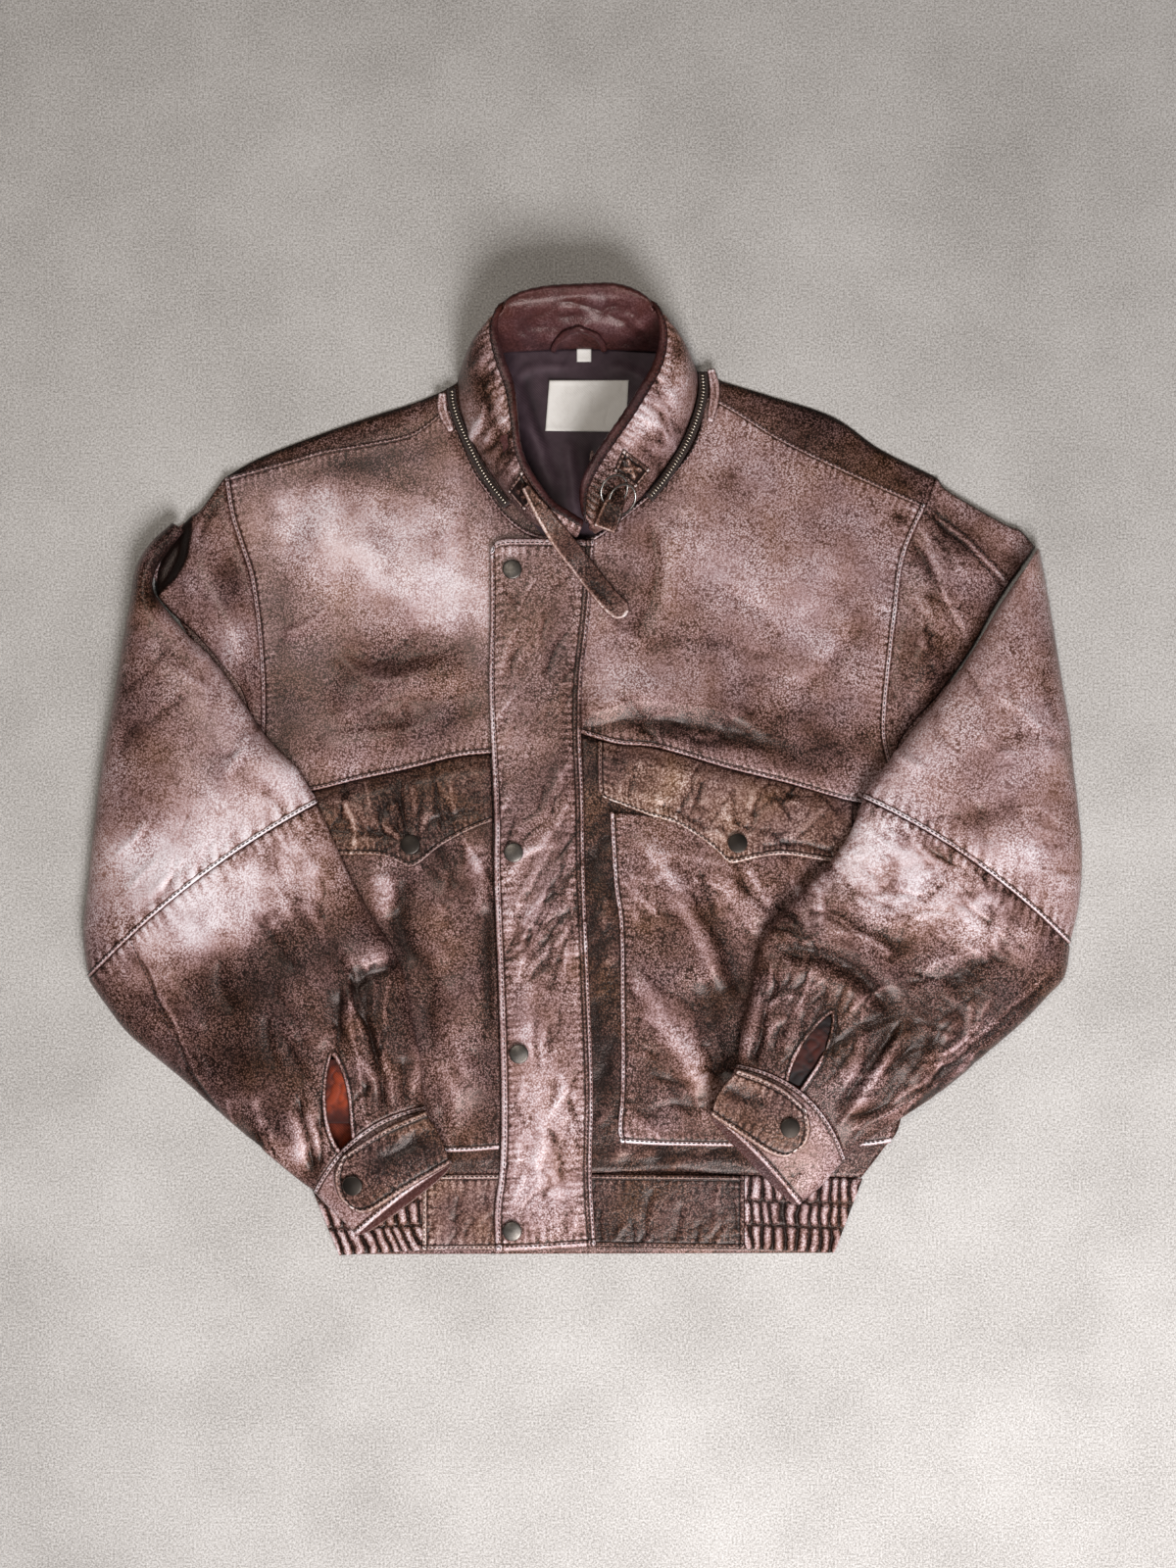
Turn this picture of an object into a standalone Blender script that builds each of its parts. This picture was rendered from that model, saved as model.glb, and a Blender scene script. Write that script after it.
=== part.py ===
"""A worn leather blouson, laid flat on its back with its sleeves folded over the front.

Sizes are millimetres until a mesh is made. +Y points to the collar, +Z up, and the wearer's right is at -X.
Outlines are read from straight above, at READ_HEIGHT over the surface that the jacket lies on. A point at
another height is brought nearer to or further from the line of sight by true_place(), which also moves the
middle of the jacket's box to the origin.
"""

import math

import bmesh
import bpy
import numpy as np
from mathutils import Matrix, Vector

# Cloth
LEATHER = 2.0
BACK_LEATHER = 2.2
BAND_LEATHER = 2.4
SATIN = 1.0
SEAM_GAP = 0.35
LAYER_GAP = 0.4

# Where the outlines are read from
EYE_X = 5.5
EYE_Y = -11.0
EYE_HEIGHT = 1370.0
READ_HEIGHT = 20.0
ORIGIN = (1.6, -6.2, 0.0)

# Middle of each layer's wall, from the floor up
BACK_MID = BACK_LEATHER / 2
LINING_MID = 3.1
FRONT_MID = 5.0
BAND_MID = 5.4
POCKET_MID = 7.5
FLAP_RISE = 2.6
PLACKET_MID = 8.8
PLACKET_HUMP = 3.4

# What the sleeves lie on, and how high they stand
UNDER_SLEEVE_HIGH = 7.6
UNDER_SLEEVE_LOW = 12.6
CUFF_CROWN = 27.0
EDGE_SHARE = 0.10
CROWN_POWER = 0.75
HEAD_CROWN = 8.0

# Collar
COLLAR_BASE = 5.4
FACING_DEPTH = 3.4
FACING_LIFT = 0.3

# Hardware
SNAP_RADIUS = 7.4
SNAP_RISE = 3.0
SNAP_ROUNDING = 1.3
SNAP_SIDES = 18
RING_RADIUS = 11.4
RING_WIRE = 1.0
RING_STEPS = 22

MM = 0.001
WELD = 0.00001

# Steps along the edges that two pieces share, so that both are cut into the same facets
ARMHOLE_STEPS = 9
YOKE_STEPS = 9
SIDE_STEPS = 5
NECK_STEPS = 4
SHOULDER_STEPS = 5

# Outlines of the body, read from above; RIGHT is the wearer's, at -X
ARMHOLE_RIGHT = [(-250, -22), (-241, 4), (-238, 31), (-238, 64), (-240, 96), (-243, 123), (-247, 147),
                 (-254, 168), (-261, 191), (-265, 217)]
ARMHOLE_LEFT = [(250, -28), (240, -12), (231, 7), (227, 31), (230, 72), (235, 115), (241, 158), (257, 197)]
ARMHOLE_LEFT_TOP = [(257, 197), (265, 217)]
SHOULDER_RIGHT = [(-265, 217), (-240, 224), (-215, 231), (-190, 238), (-160, 243), (-125, 251), (-100, 268)]
SHOULDER_LEFT = [(97, 277), (151, 246), (203, 221), (257, 197)]
NECK_RIGHT = [(-100, 268), (-95, 258), (-81, 225), (-70, 209), (-58, 192), (-38, 177), (-3, 169)]
NECK_LEFT = [(0, 170), (15, 172), (36, 184), (55, 198), (66, 211), (82, 236), (91, 257), (97, 277)]
YOKE_RIGHT = [(-250, -22), (-201, -16), (-168, -8), (-131, 0), (-95, 9), (-67, 12), (-3, 16)]
YOKE_LEFT = [(0, 27), (28, 19), (58, 16), (110, 1), (154, -10), (205, -24), (250, -28)]
SIDE_RIGHT = [(-228, -302), (-236, -262), (-238, -200), (-243, -100), (-246, -60), (-250, -22)]
SIDE_LEFT = [(221, -304), (235, -278), (241, -260), (243, -200), (246, -100), (248, -60), (250, -28)]
WAIST_RIGHT = [(-228, -302), (-118, -302), (-61, -301), (-3, -301)]
WAIST_LEFT = [(0, -301), (61, -299), (121, -302), (221, -304)]
BACK_SHOULDER_RIGHT = [(-265, 217), (-240, 231), (-200, 247), (-160, 261), (-120, 274), (-93, 287)]
BACK_SHOULDER_LEFT = [(93, 293), (140, 278), (188, 262), (223, 238), (265, 217)]
BACK_NECK = [(-93, 287), (-70, 305), (-30, 312), (0, 313), (30, 312), (70, 306), (93, 293)]

PLACKET_LEFT_EDGE = [(-63, -359), (-64, -329), (-60, -296), (-59, -245), (-61, -165), (-64, -84), (-64, -39),
                     (-66, 11), (-68, 61), (-67, 112), (-67, 164)]
PLACKET_RIGHT_EDGE = [(11, -355), (8, -301), (9, -239), (6, -157), (3, -84), (2, -23), (0, 28), (1, 70),
                      (5, 104), (8, 137), (10, 171)]
PLACKET_TOP = [(-67, 164), (-60, 171), (-40, 172), (10, 171)]
PLACKET_HEM = [(-63, -359), (-30, -358), (11, -355)]

POCKET_RIGHT = {
    "left": [(-225, -278), (-230, -200), (-234, -100), (-222, -44)],
    "right": [(-61, -283), (-60.5, -245), (-62.5, -165), (-65.5, -84), (-66, -36)],
    "bottom": [(-225, -278), (-200, -282), (-101, -285), (-61, -283)],
    "top": [(-222, -44), (-150, -36), (-66, -36)],
}
POCKET_LEFT = {
    "left": [(30, -278), (28, -266), (30, -239), (30, -177), (29, -116), (25, -84), (22, -32)],
    "right": [(231, -278), (235, -240), (236, -180), (236, -100), (222, -48)],
    "bottom": [(30, -278), (61, -280), (116, -281), (200, -281), (231, -278)],
    "top": [(22, -32), (120, -42), (222, -48)],
}
FLAP_RIGHT = {
    "left": [(-198, -64), (-200, -40), (-200, -17)],
    "right": [(-66, -39), (-67, -14), (-68, 11)],
    "bottom": [(-198, -64), (-176, -64), (-156, -64), (-143, -66), (-134, -70), (-127, -73), (-119, -69),
               (-107, -59), (-92, -50), (-77, -43), (-66, -39)],
    "top": [(-200, -17), (-168, -9), (-131, -1), (-95, 8), (-68, 11)],
}
FLAP_LEFT = {
    "left": [(18, -21), (14, -16), (13, 0), (13, 21)],
    "right": [(202, -70), (202, -48), (202, -24.5)],
    "bottom": [(18, -21), (51, -34), (73, -41), (95, -55), (105, -64), (113, -70), (132, -66), (154, -64),
               (186, -69), (202, -70)],
    "top": [(13, 21), (28, 18.2), (58, 15), (110, 0), (154, -11), (202, -24.5)],
}

ELASTIC_RIGHT = [(-204, -303), (-118.3, -302.7), (-118.3, -358), (-180, -362)]
ELASTIC_LEFT = [(122.3, -303), (210, -305), (189, -360), (122.3, -357)]
BAND_RIGHT = [(-117.7, -302.4), (-3, -301.8), (-3, -357), (-117.7, -358)]
BAND_LEFT = [(0, -301.8), (121.7, -303), (121.7, -357), (0, -355)]
BAND_BACK = [(-196, -302.8), (206, -304.5), (186, -360), (-178, -361)]

# Sleeves: pairs across the sleeve, outer edge first, then the crown of that ring and its bow
HEAD_RIGHT = {
    "left": [(-252, -19), (-246, 30), (-252, 58), (-268, 79), (-286, 100), (-307, 119), (-316, 133),
             (-314, 152), (-301, 176)],
    "top": [(-301, 176), (-290, 188), (-282, 194), (-265.6, 217)],
}
HEAD_LEFT = {
    "right": [(252, -25), (235, 15), (268, 58), (290, 89), (306, 118), (318, 137), (338, 166)],
    "top": [(274, 207), (315, 183), (327, 178), (338, 166)],
}
PLATE_RIGHT = {
    "left": [(-252.5, -22), (-262, 30), (-282, 80), (-304, 120), (-322, 150)],
    "top": [(-322, 150), (-311, 171), (-297, 182), (-282, 192), (-266, 215)],
}
PLATE_LEFT = {
    "right": [(252.5, -28), (262, 30), (282, 80), (306, 120), (328, 150)],
    "top": [(275, 205), (314, 180), (328, 150)],
}
UPPER_RIGHT = [
    ((-304, 183), (-296, 178), 17, 0), ((-321, 167), (-310, 160), 21, 0), ((-331, 149), (-318, 146), 23, 0),
    ((-335, 126), (-318, 130), 24, 0), ((-341, 92), (-298, 104), 27, 2), ((-347, 55), (-266, 70), 30, 3),
    ((-355, 12), (-235, 24), 32, 5), ((-361, -34), (-212, 0), 33, 7), ((-366, -82), (-203, -14), 33, 9),
    ((-370, -122), (-199, -20), 33, 9), ((-366, -155), (-197, -25), 33, 9)]
LOWER_RIGHT = [
    ((-366, -156.7), (-196.6, -26.6), 33, 9), ((-354, -174), (-183, -57), 33, 10),
    ((-337, -196), (-170, -86), 33, 11), ((-315, -215), (-156, -111), 32, 12),
    ((-292, -234), (-141, -133), 31, 13), ((-270, -254), (-133, -152), 30, 13),
    ((-247, -274), (-128, -178), 29, 13), ((-225, -293), (-121, -212), 28, 13),
    ((-209, -306), (-118, -238), 27, 13), ((-199, -313), (-116.5, -250), 27, 13)]
CUFF_EDGE_RIGHT = [
    ((-198.4, -314.2), (-116.2, -251.3), 27, 13), ((-183, -330), (-105, -276), 27, 9),
    ((-166, -346), (-97, -294), 26, 2)]
UPPER_LEFT = [
    ((341, 164), (322, 135), 24, 0), ((346, 138), (309, 114), 26, 1), ((352, 104), (292, 86), 29, 2),
    ((358, 66), (269, 54), 31, 3), ((365, 24), (240, 18), 33, 5), ((369, -20), (222, -5), 33, 6),
    ((373, -62), (215, -14), 33, 7), ((371, -98), (212, -18), 33, 8), ((364, -130), (211, -21), 33, 9)]
LOWER_LEFT = [
    ((364.2, -131.7), (210.8, -22.6), 33, 9), ((360, -154), (200, -50), 33, 9),
    ((348, -168), (184, -72), 33, 10), ((330, -187), (160, -98), 33, 11),
    ((307, -207), (140, -121), 32, 12), ((285, -226), (132, -142), 31, 13),
    ((262, -244), (127, -169), 30, 14), ((235, -262), (121, -195), 29, 15),
    ((212, -277), (118.5, -211), 28, 16), ((197, -288), (117.5, -219), 27, 16)]
CUFF_EDGE_LEFT = [
    ((196.4, -289.3), (117.2, -220.2), 27, 16), ((181, -308), (107, -240), 27, 10),
    ((162, -324), (97, -257), 26, 3)]
SLIT_RIGHT = {"across": (0.60, 0.38), "wide": 17.0, "top": 0.66}
SLIT_LEFT = {"across": (0.62, 0.60), "wide": 15.0, "top": 0.64}

SLIT_LINING_RIGHT = {
    "left": [(-200, -264), (-187, -216)], "right": [(-159, -264), (-170, -216)],
    "bottom": [(-200, -264), (-159, -264)], "top": [(-187, -216), (-170, -216)],
}
SLIT_LINING_LEFT = {
    "left": [(138, -226), (176, -182)], "right": [(172, -240), (198, -186)],
    "bottom": [(138, -226), (172, -240)], "top": [(176, -182), (198, -186)],
}
TAB_RIGHT = {
    "left": [(-171, -327), (-180, -318), (-183, -303), (-177, -289)],
    "right": [(-97, -294), (-106, -272), (-116, -255)],
    "bottom": [(-171, -327), (-158, -330), (-130, -313), (-97, -294)],
    "top": [(-177, -289), (-166, -281), (-144, -267), (-116, -255)],
}
TAB_LEFT = {
    "left": [(97, -258), (104, -240), (118, -224)],
    "right": [(160, -284), (168, -278), (171, -267), (168, -254)],
    "bottom": [(97, -258), (120, -273), (140, -286), (152, -289), (160, -284)],
    "top": [(118, -224), (135, -230), (152, -239), (168, -254)],
}

# Edge of the stack that lies under each sleeve, as the reach from the middle at each Y
STACK_Y = [-365, -320, -305, -278, -200, -100, -22, 30, 80, 120, 150, 180]
STACK_RIGHT = [183, 206, 226, 237, 242, 249, 256, 265, 284, 306, 324, 324]
STACK_LEFT = [190, 212, 227, 243, 250, 253, 257, 265, 284, 308, 330, 330]

# Collar: foot of the outer leather, its upper edge, and the height of that edge
COLLAR_STATIONS = [
    ((-4, 175.5), (1, 183), 34), ((-20, 178.5), (-10, 190), 38), ((-35, 184), (-23, 199), 42),
    ((-50, 198), (-37, 218), 44), ((-62, 214), (-46, 238), 45), ((-73, 231), (-49, 262), 46),
    ((-84, 253), (-52, 285), 46), ((-90, 275), (-59, 305), 46), ((-90, 294), (-64, 324), 46),
    ((-81, 307), (-63, 338), 45), ((-60, 313), (-53, 350), 44), ((-30, 315), (-29, 357), 43),
    ((0, 316), (0, 359), 43), ((30, 315), (28, 359), 43), ((60, 313), (50, 350), 44),
    ((78, 308), (60, 336), 45), ((86, 296), (61, 318), 45), ((86, 279), (56, 300), 46),
    ((81, 261), (46, 283), 46), ((73, 242), (34, 264), 46), ((60, 222), (20, 244), 45),
    ((47, 205), (9, 227), 44), ((33, 191), (2, 210), 42), ((20, 181), (2, 195), 38),
    ((11, 177), (5, 186), 34)]
COLLAR_BULGE = 5.0
COLLAR_COLUMNS = 32
COLLAR_ROWS = 3
FINE = 10
PATCH_CLEARANCE = 0.5
BACK_COLLAR = slice(117, 224)
ZIP_RIGHT = [(-96.5, 284), (-95.3, 272), (-89.5, 255), (-76.8, 228), (-66.6, 211.5), (-54.6, 196.5)]
ZIP_LEFT = [(91, 296), (91.5, 280), (86, 259), (77, 239), (64, 218), (51, 202)]
ZIP_WIDTH = 6.0
ZIP_MID = 6.6
TAB_ZIP_RIGHT = [(-103, 280), (-103, 268), (-96.5, 252)]
TAB_ZIP_LEFT = [(97, 298), (100, 282), (96.5, 259)]
TAB_ZIP_WIDTH = 6.0

LINING = {
    "left": [(-22, 166), (-56, 212), (-80, 265), (-78, 312)],
    "right": [(22, 166), (56, 212), (80, 265), (78, 312)],
    "bottom": [(-22, 166), (22, 166)],
    "top": [(-78, 312), (0, 313), (78, 312)],
}
LABEL = [(-26.5, 252), (34, 251), (36, 290), (-23.5, 290)]
SIZE_TAG = [(-3, 301), (7, 301), (7, 307), (-3, 307)]
HANGER = [(-20, 313), (-13, 322), (-2, 328), (9, 325), (18, 313)]
HANGER_RADIUS = 1.4

DIAMOND = [(41, 210), (51.5, 223), (32, 238), (25, 222)]
ANCHOR = [(-42, 193), (-33, 205), (-44, 222), (-54, 207)]
RING_CENTRES = [(25, 208), (31, 201)]
RING_LIFTS = [4.9, 7.5]
LOOP_PATH = [(26.5, 206, 4.6, 6), (26.3, 203, 7.5, 6.5), (25.8, 199, 11.5, 6.5), (24, 195, 11.6, 11.5),
             (22.5, 190, 10.2, 14.5), (20, 184, 8.5, 14.5), (18, 179, 6, 14.5)]
STRAP_PATH = [(-41, 210), (-33, 198), (-22, 182), (-12, 168), (3, 149), (18, 130), (27, 121), (34, 116)]
STRAP_WIDTH = 15.5
STRAP_LIFT = 1.9
OVER_ANCHOR = 6.2
TIP_LIFT = 0.5
STRAP_STEPS = 14
LOOP_STEPS = 11
DRAPE_FALL = 1.5
DRAPE_REACH = 5.0

SNAPS_ON_PLACKET = [(-51, 149), (-50, -62), (-46, -212), (-51, -344)]
SNAP_ON_FLAP_RIGHT = (-127, -56)
SNAP_ON_FLAP_LEFT = (117, -55)
SNAP_ON_TAB_RIGHT = (-170, -310)
SNAP_ON_TAB_LEFT = (156, -267)

# Largest folds: where a ridge runs, how wide and how high it is
FOLDS_UPPER_RIGHT = [([(-200, 150), (-140, 142)], 38, 5.0), ([(-190, 45), (-95, 75)], 16, 2.5),
                     ([(-170, 20), (-90, 40)], 14, 2.0)]
FOLDS_UPPER_LEFT = [([(60, 190), (190, 130)], 45, 4.0), ([(25, 37), (75, 33), (130, 18)], 11, 4.5),
                    ([(40, 72), (110, 60)], 18, 2.5)]
FOLDS_POCKET_LEFT = [([(52, -72), (75, -105), (98, -148), (110, -174)], 13, 7.0),
                     ([(42, -150), (62, -188), (84, -222), (92, -240)], 11, 5.0),
                     ([(100, -80), (125, -105)], 9, 3.0)]
FOLDS_POCKET_RIGHT = [([(-150, -85), (-141, -105)], 10, 3.5), ([(-95, -95), (-110, -150)], 14, 4.0),
                      ([(-90, -180), (-85, -255)], 16, 4.0)]

BROWN = (0.20, 0.115, 0.085, 1.0)
DARK_BROWN = (0.10, 0.058, 0.045, 1.0)
BURGUNDY = (0.11, 0.045, 0.038, 1.0)
SATIN_DARK = (0.03, 0.022, 0.027, 1.0)
SATIN_RUST = (0.22, 0.055, 0.02, 1.0)
LABEL_WHITE = (0.75, 0.73, 0.70, 1.0)
STEEL = (0.30, 0.29, 0.28, 1.0)
ZIP_BROWN = (0.06, 0.035, 0.03, 1.0)


def empty_scene():
    for item in list(bpy.data.objects):
        bpy.data.objects.remove(item, do_unlink=True)


def true_place(points):
    """Points read from above brought to where they are at their own height, in metres."""
    placed = np.array(points, dtype=float)
    reach = (EYE_HEIGHT - placed[..., 2]) / (EYE_HEIGHT - READ_HEIGHT)
    placed[..., 0] = EYE_X + (placed[..., 0] - EYE_X) * reach
    placed[..., 1] = EYE_Y + (placed[..., 1] - EYE_Y) * reach
    return (placed - ORIGIN) * MM


def spline(points, count):
    """A smooth line through the points, cut into count equal lengths."""
    rough = np.array(points, dtype=float)
    if len(rough) > 2:
        padded = np.vstack([2 * rough[0] - rough[1], rough, 2 * rough[-1] - rough[-2]])
        steps = np.linspace(0, 1, 24, endpoint=False)[:, None]
        fine = []
        for a, b, c, d in zip(padded[:-3], padded[1:-2], padded[2:-1], padded[3:]):
            fine.append(0.5 * (2 * b + (c - a) * steps + (2 * a - 5 * b + 4 * c - d) * steps ** 2
                               + (3 * b - a - 3 * c + d) * steps ** 3))
        fine = np.vstack(fine + [rough[-1:]])
    else:
        fine = rough
    lengths = np.concatenate([[0], np.cumsum(np.linalg.norm(np.diff(fine, axis=0), axis=1))])
    wanted = np.linspace(0, lengths[-1], count + 1)
    return np.stack([np.interp(wanted, lengths, fine[:, k]) for k in range(fine.shape[1])], axis=1)


def chain(*runs):
    """Runs that meet end to end, as one line."""
    return np.vstack([runs[0]] + [run[1:] for run in runs[1:]])


def patch(left, right, bottom, top):
    """A plan filled between four edges; left and right run up, bottom and top run to +X."""
    across = np.linspace(0, 1, len(bottom))[None, :, None]
    up = np.linspace(0, 1, len(left))[:, None, None]
    edges = (1 - up) * bottom[None] + up * top[None] + (1 - across) * left[:, None] + across * right[:, None]
    corners = ((1 - up) * (1 - across) * bottom[0] + (1 - up) * across * bottom[-1]
               + up * (1 - across) * top[0] + up * across * top[-1])
    return edges - corners


def shrink(plan, gap):
    """The plan with its border drawn in by gap, so that it clears what it is sewn to."""
    drawn = plan.copy()
    for line, inner in ((drawn[0], plan[1]), (drawn[-1], plan[-2]), (drawn[:, 0], plan[:, 1]),
                        (drawn[:, -1], plan[:, -2])):
        pull = inner - line
        line += pull * np.minimum(gap / np.maximum(np.linalg.norm(pull, axis=1, keepdims=True), 0.01), 0.4)
    return drawn


def quad_plan(corners, across, up):
    """The plan of a four-cornered piece; the corners run round from one at -X."""
    a, b, c, d = (np.array(corner, dtype=float) for corner in corners)
    lower, upper = ((a, b), (d, c)) if a[1] < d[1] else ((d, c), (a, b))
    return patch(spline([lower[0], upper[0]], up), spline([lower[1], upper[1]], up),
                 spline([lower[0], lower[1]], across), spline([upper[0], upper[1]], across))


def edged_plan(edges, across, up):
    return patch(spline(edges["left"], up), spline(edges["right"], up),
                 spline(edges["bottom"], across), spline(edges["top"], across))


def ridge(x, y, path, width, rise):
    """Height of a soft fold along a path, fading out to its sides and ends."""
    nearest = np.full(np.shape(x), 1e9)
    for (ax, ay), (bx, by) in zip(path[:-1], path[1:]):
        span = (bx - ax) ** 2 + (by - ay) ** 2
        along = np.clip(((x - ax) * (bx - ax) + (y - ay) * (by - ay)) / span, 0, 1)
        nearest = np.minimum(nearest, np.hypot(x - ax - along * (bx - ax), y - ay - along * (by - ay)))
    return rise * np.exp(-(nearest / width) ** 2)


def folds(x, y, ridges):
    return sum(ridge(x, y, path, width, rise) for path, width, rise in ridges)


def ease(value):
    held = np.clip(value, 0, 1)
    return held * held * (3 - 2 * held)


def under_sleeve(x, y):
    """Top of what a sleeve lies on: the stack of panels, and the floor beyond its edge."""
    edge = np.where(x < 0, np.interp(y, STACK_Y, STACK_RIGHT), np.interp(y, STACK_Y, STACK_LEFT))
    stack = UNDER_SLEEVE_HIGH + (UNDER_SLEEVE_LOW - UNDER_SLEEVE_HIGH) * ease((25 - y) / 30)
    return stack * ease((edge + 17 - np.abs(x)) / 13)


def material(name, colour, roughness, metallic=0.0):
    made = bpy.data.materials.get(name)
    if made is None:
        made = bpy.data.materials.new(name)
        made.use_nodes = True
        shader = made.node_tree.nodes["Principled BSDF"]
        shader.inputs["Base Color"].default_value = colour
        shader.inputs["Roughness"].default_value = roughness
        shader.inputs["Metallic"].default_value = metallic
        made.diffuse_color = colour
    return made


def leather(name="leather_brown", colour=BROWN):
    return material(name, colour, 0.55)


def add_object(name, mesh, finish):
    """Put a mesh into the jacket's collection under a maker's name."""
    item = bpy.data.objects.new(name, mesh)
    JACKET.objects.link(item)
    mesh.materials.append(finish)
    return item


def cloth(name, places, wall, finish, even=True):
    """A walled cloth piece from a grid of places at the middle of its wall.

    An even wall keeps its thickness over a fold. A twisted piece is cleaner without it.
    """
    rows, columns = places.shape[:2]
    placed = true_place(places)
    form = bmesh.new()
    bmesh.ops.create_grid(form, x_segments=columns - 1, y_segments=rows - 1, size=1.0)
    for vertex in form.verts:
        column = round((vertex.co.x + 1) / 2 * (columns - 1))
        row = round((vertex.co.y + 1) / 2 * (rows - 1))
        vertex.co = placed[row, column]
    bmesh.ops.remove_doubles(form, verts=form.verts, dist=WELD)
    bmesh.ops.recalc_face_normals(form, faces=form.faces)
    mesh = bpy.data.meshes.new(name)
    form.to_mesh(mesh)
    form.free()
    item = add_object(name, mesh, finish)
    shell = item.modifiers.new("wall", "SOLIDIFY")
    shell.thickness = wall * MM
    shell.offset = 0.0
    shell.use_even_offset = even
    shell.use_quality_normals = True
    return item


def lift(plan, height):
    """Add a height to each place of a plan."""
    x, y = plan[..., 0], plan[..., 1]
    z = height(x, y) if callable(height) else height
    return np.dstack([x, y, np.broadcast_to(z, x.shape)])


class Surface:
    """A finely sampled surface that smaller pieces are laid on."""

    def __init__(self, places):
        self.points = places.reshape(-1, 3)
        across = np.gradient(places, axis=1)
        up = np.gradient(places, axis=0)
        normals = np.cross(across, up)
        normals /= np.maximum(np.linalg.norm(normals, axis=2, keepdims=True), 1e-9)
        normals *= np.sign(normals[..., 2:3] + 1e-9)
        self.normals = normals.reshape(-1, 3)

    def over(self, x, y, rise):
        """The place that lies rise above the surface where it is seen at x and y."""
        near = np.hypot(self.points[:, 0] - x, self.points[:, 1] - y)
        chosen = np.argsort(near)[:4]
        weight = 1 / (near[chosen] + 0.05)
        weight = weight[:, None] / weight.sum()
        normal = (self.normals[chosen] * weight).sum(axis=0)
        normal /= np.linalg.norm(normal)
        height = (self.points[chosen, 2:] * weight).sum()
        return np.array([x, y, height]) + normal * rise, normal

    def cover(self, plan, rise):
        """A plan laid on the surface, rise above it all over."""
        rises = np.broadcast_to(rise, plan.shape[:2])
        laid = [[self.over(*plan[r, c], rises[r, c])[0] for c in range(plan.shape[1])]
                for r in range(plan.shape[0])]
        return np.array(laid)


def snap_cap(name, place, normal):
    """A domed snap cap with a rolled rim, standing on the leather."""
    form = bmesh.new()
    bmesh.ops.create_cone(form, cap_ends=True, segments=SNAP_SIDES, radius1=SNAP_RADIUS * MM,
                          radius2=SNAP_RADIUS * MM, depth=SNAP_RISE * MM)
    bmesh.ops.translate(form, verts=form.verts, vec=(0, 0, SNAP_RISE / 2 * MM))
    upper = [edge for edge in form.edges if all(vertex.co.z > SNAP_RISE / 2 * MM for vertex in edge.verts)]
    bmesh.ops.bevel(form, geom=upper, offset=SNAP_ROUNDING * MM, segments=2, affect="EDGES", profile=0.5)
    turn = Vector((0, 0, 1)).rotation_difference(Vector(normal)).to_matrix().to_4x4()
    form.transform(Matrix.Translation(Vector(true_place(place))) @ turn)
    mesh = bpy.data.meshes.new(name)
    form.to_mesh(mesh)
    form.free()
    mesh.shade_smooth()
    mesh.set_sharp_from_angle(angle=math.radians(40))
    return add_object(name, mesh, material("snap_metal", STEEL, 0.32, 1.0))


def wire(name, places, radius, finish, closed=False):
    """A round wire or cord along a line of places."""
    line = bpy.data.curves.new(name, "CURVE")
    line.dimensions = "3D"
    line.bevel_depth = radius * MM
    line.bevel_resolution = 2
    line.use_fill_caps = not closed
    run = line.splines.new("POLY")
    placed = true_place(places)
    run.points.add(len(placed) - 1)
    for point, place in zip(run.points, placed):
        point.co = (*place, 1.0)
    run.use_cyclic_u = closed
    item = bpy.data.objects.new(name, line)
    JACKET.objects.link(item)
    line.materials.append(finish)
    return item


def ribbon(path, widths, count, across=1):
    """The plan of a strip along a path, with its width at each step."""
    line = spline(path, count)
    run = np.gradient(line[:, :2], axis=0)
    side = np.stack([-run[:, 1], run[:, 0]], axis=1)
    side /= np.linalg.norm(side, axis=1, keepdims=True)
    half = np.broadcast_to(np.asarray(widths, dtype=float), (count + 1,)) / 2
    steps = np.linspace(-1, 1, across + 1)
    places = line[:, None, :2] + side[:, None] * half[:, None, None] * steps[None, :, None]
    if line.shape[1] == 2:
        return places
    return np.dstack([places, np.repeat(line[:, 2:], across + 1, axis=1)])


def front_height(ridges):
    return lambda x, y: FRONT_MID + folds(x, y, ridges)


def pocket_height(ridges):
    return lambda x, y: POCKET_MID + folds(x, y, ridges)


def flap_height(ridges, seam):
    """A flap leaves its seam flat on the panel and rises on to the pocket under it."""
    seam_x, seam_y = zip(*seam)

    def height(x, y):
        below = np.interp(x, seam_x, seam_y) - y
        return POCKET_MID + (FLAP_RISE + folds(x, y, ridges)) * ease(below / 16)
    return height


def placket_height(x, y):
    """The placket rides over the zip, and higher where it passes the flap and the pocket's mouth."""
    hump = np.exp(-((y + 25) / 62) ** 2) * PLACKET_HUMP * ease((12 - x) / 30)
    return PLACKET_MID + hump


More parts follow.
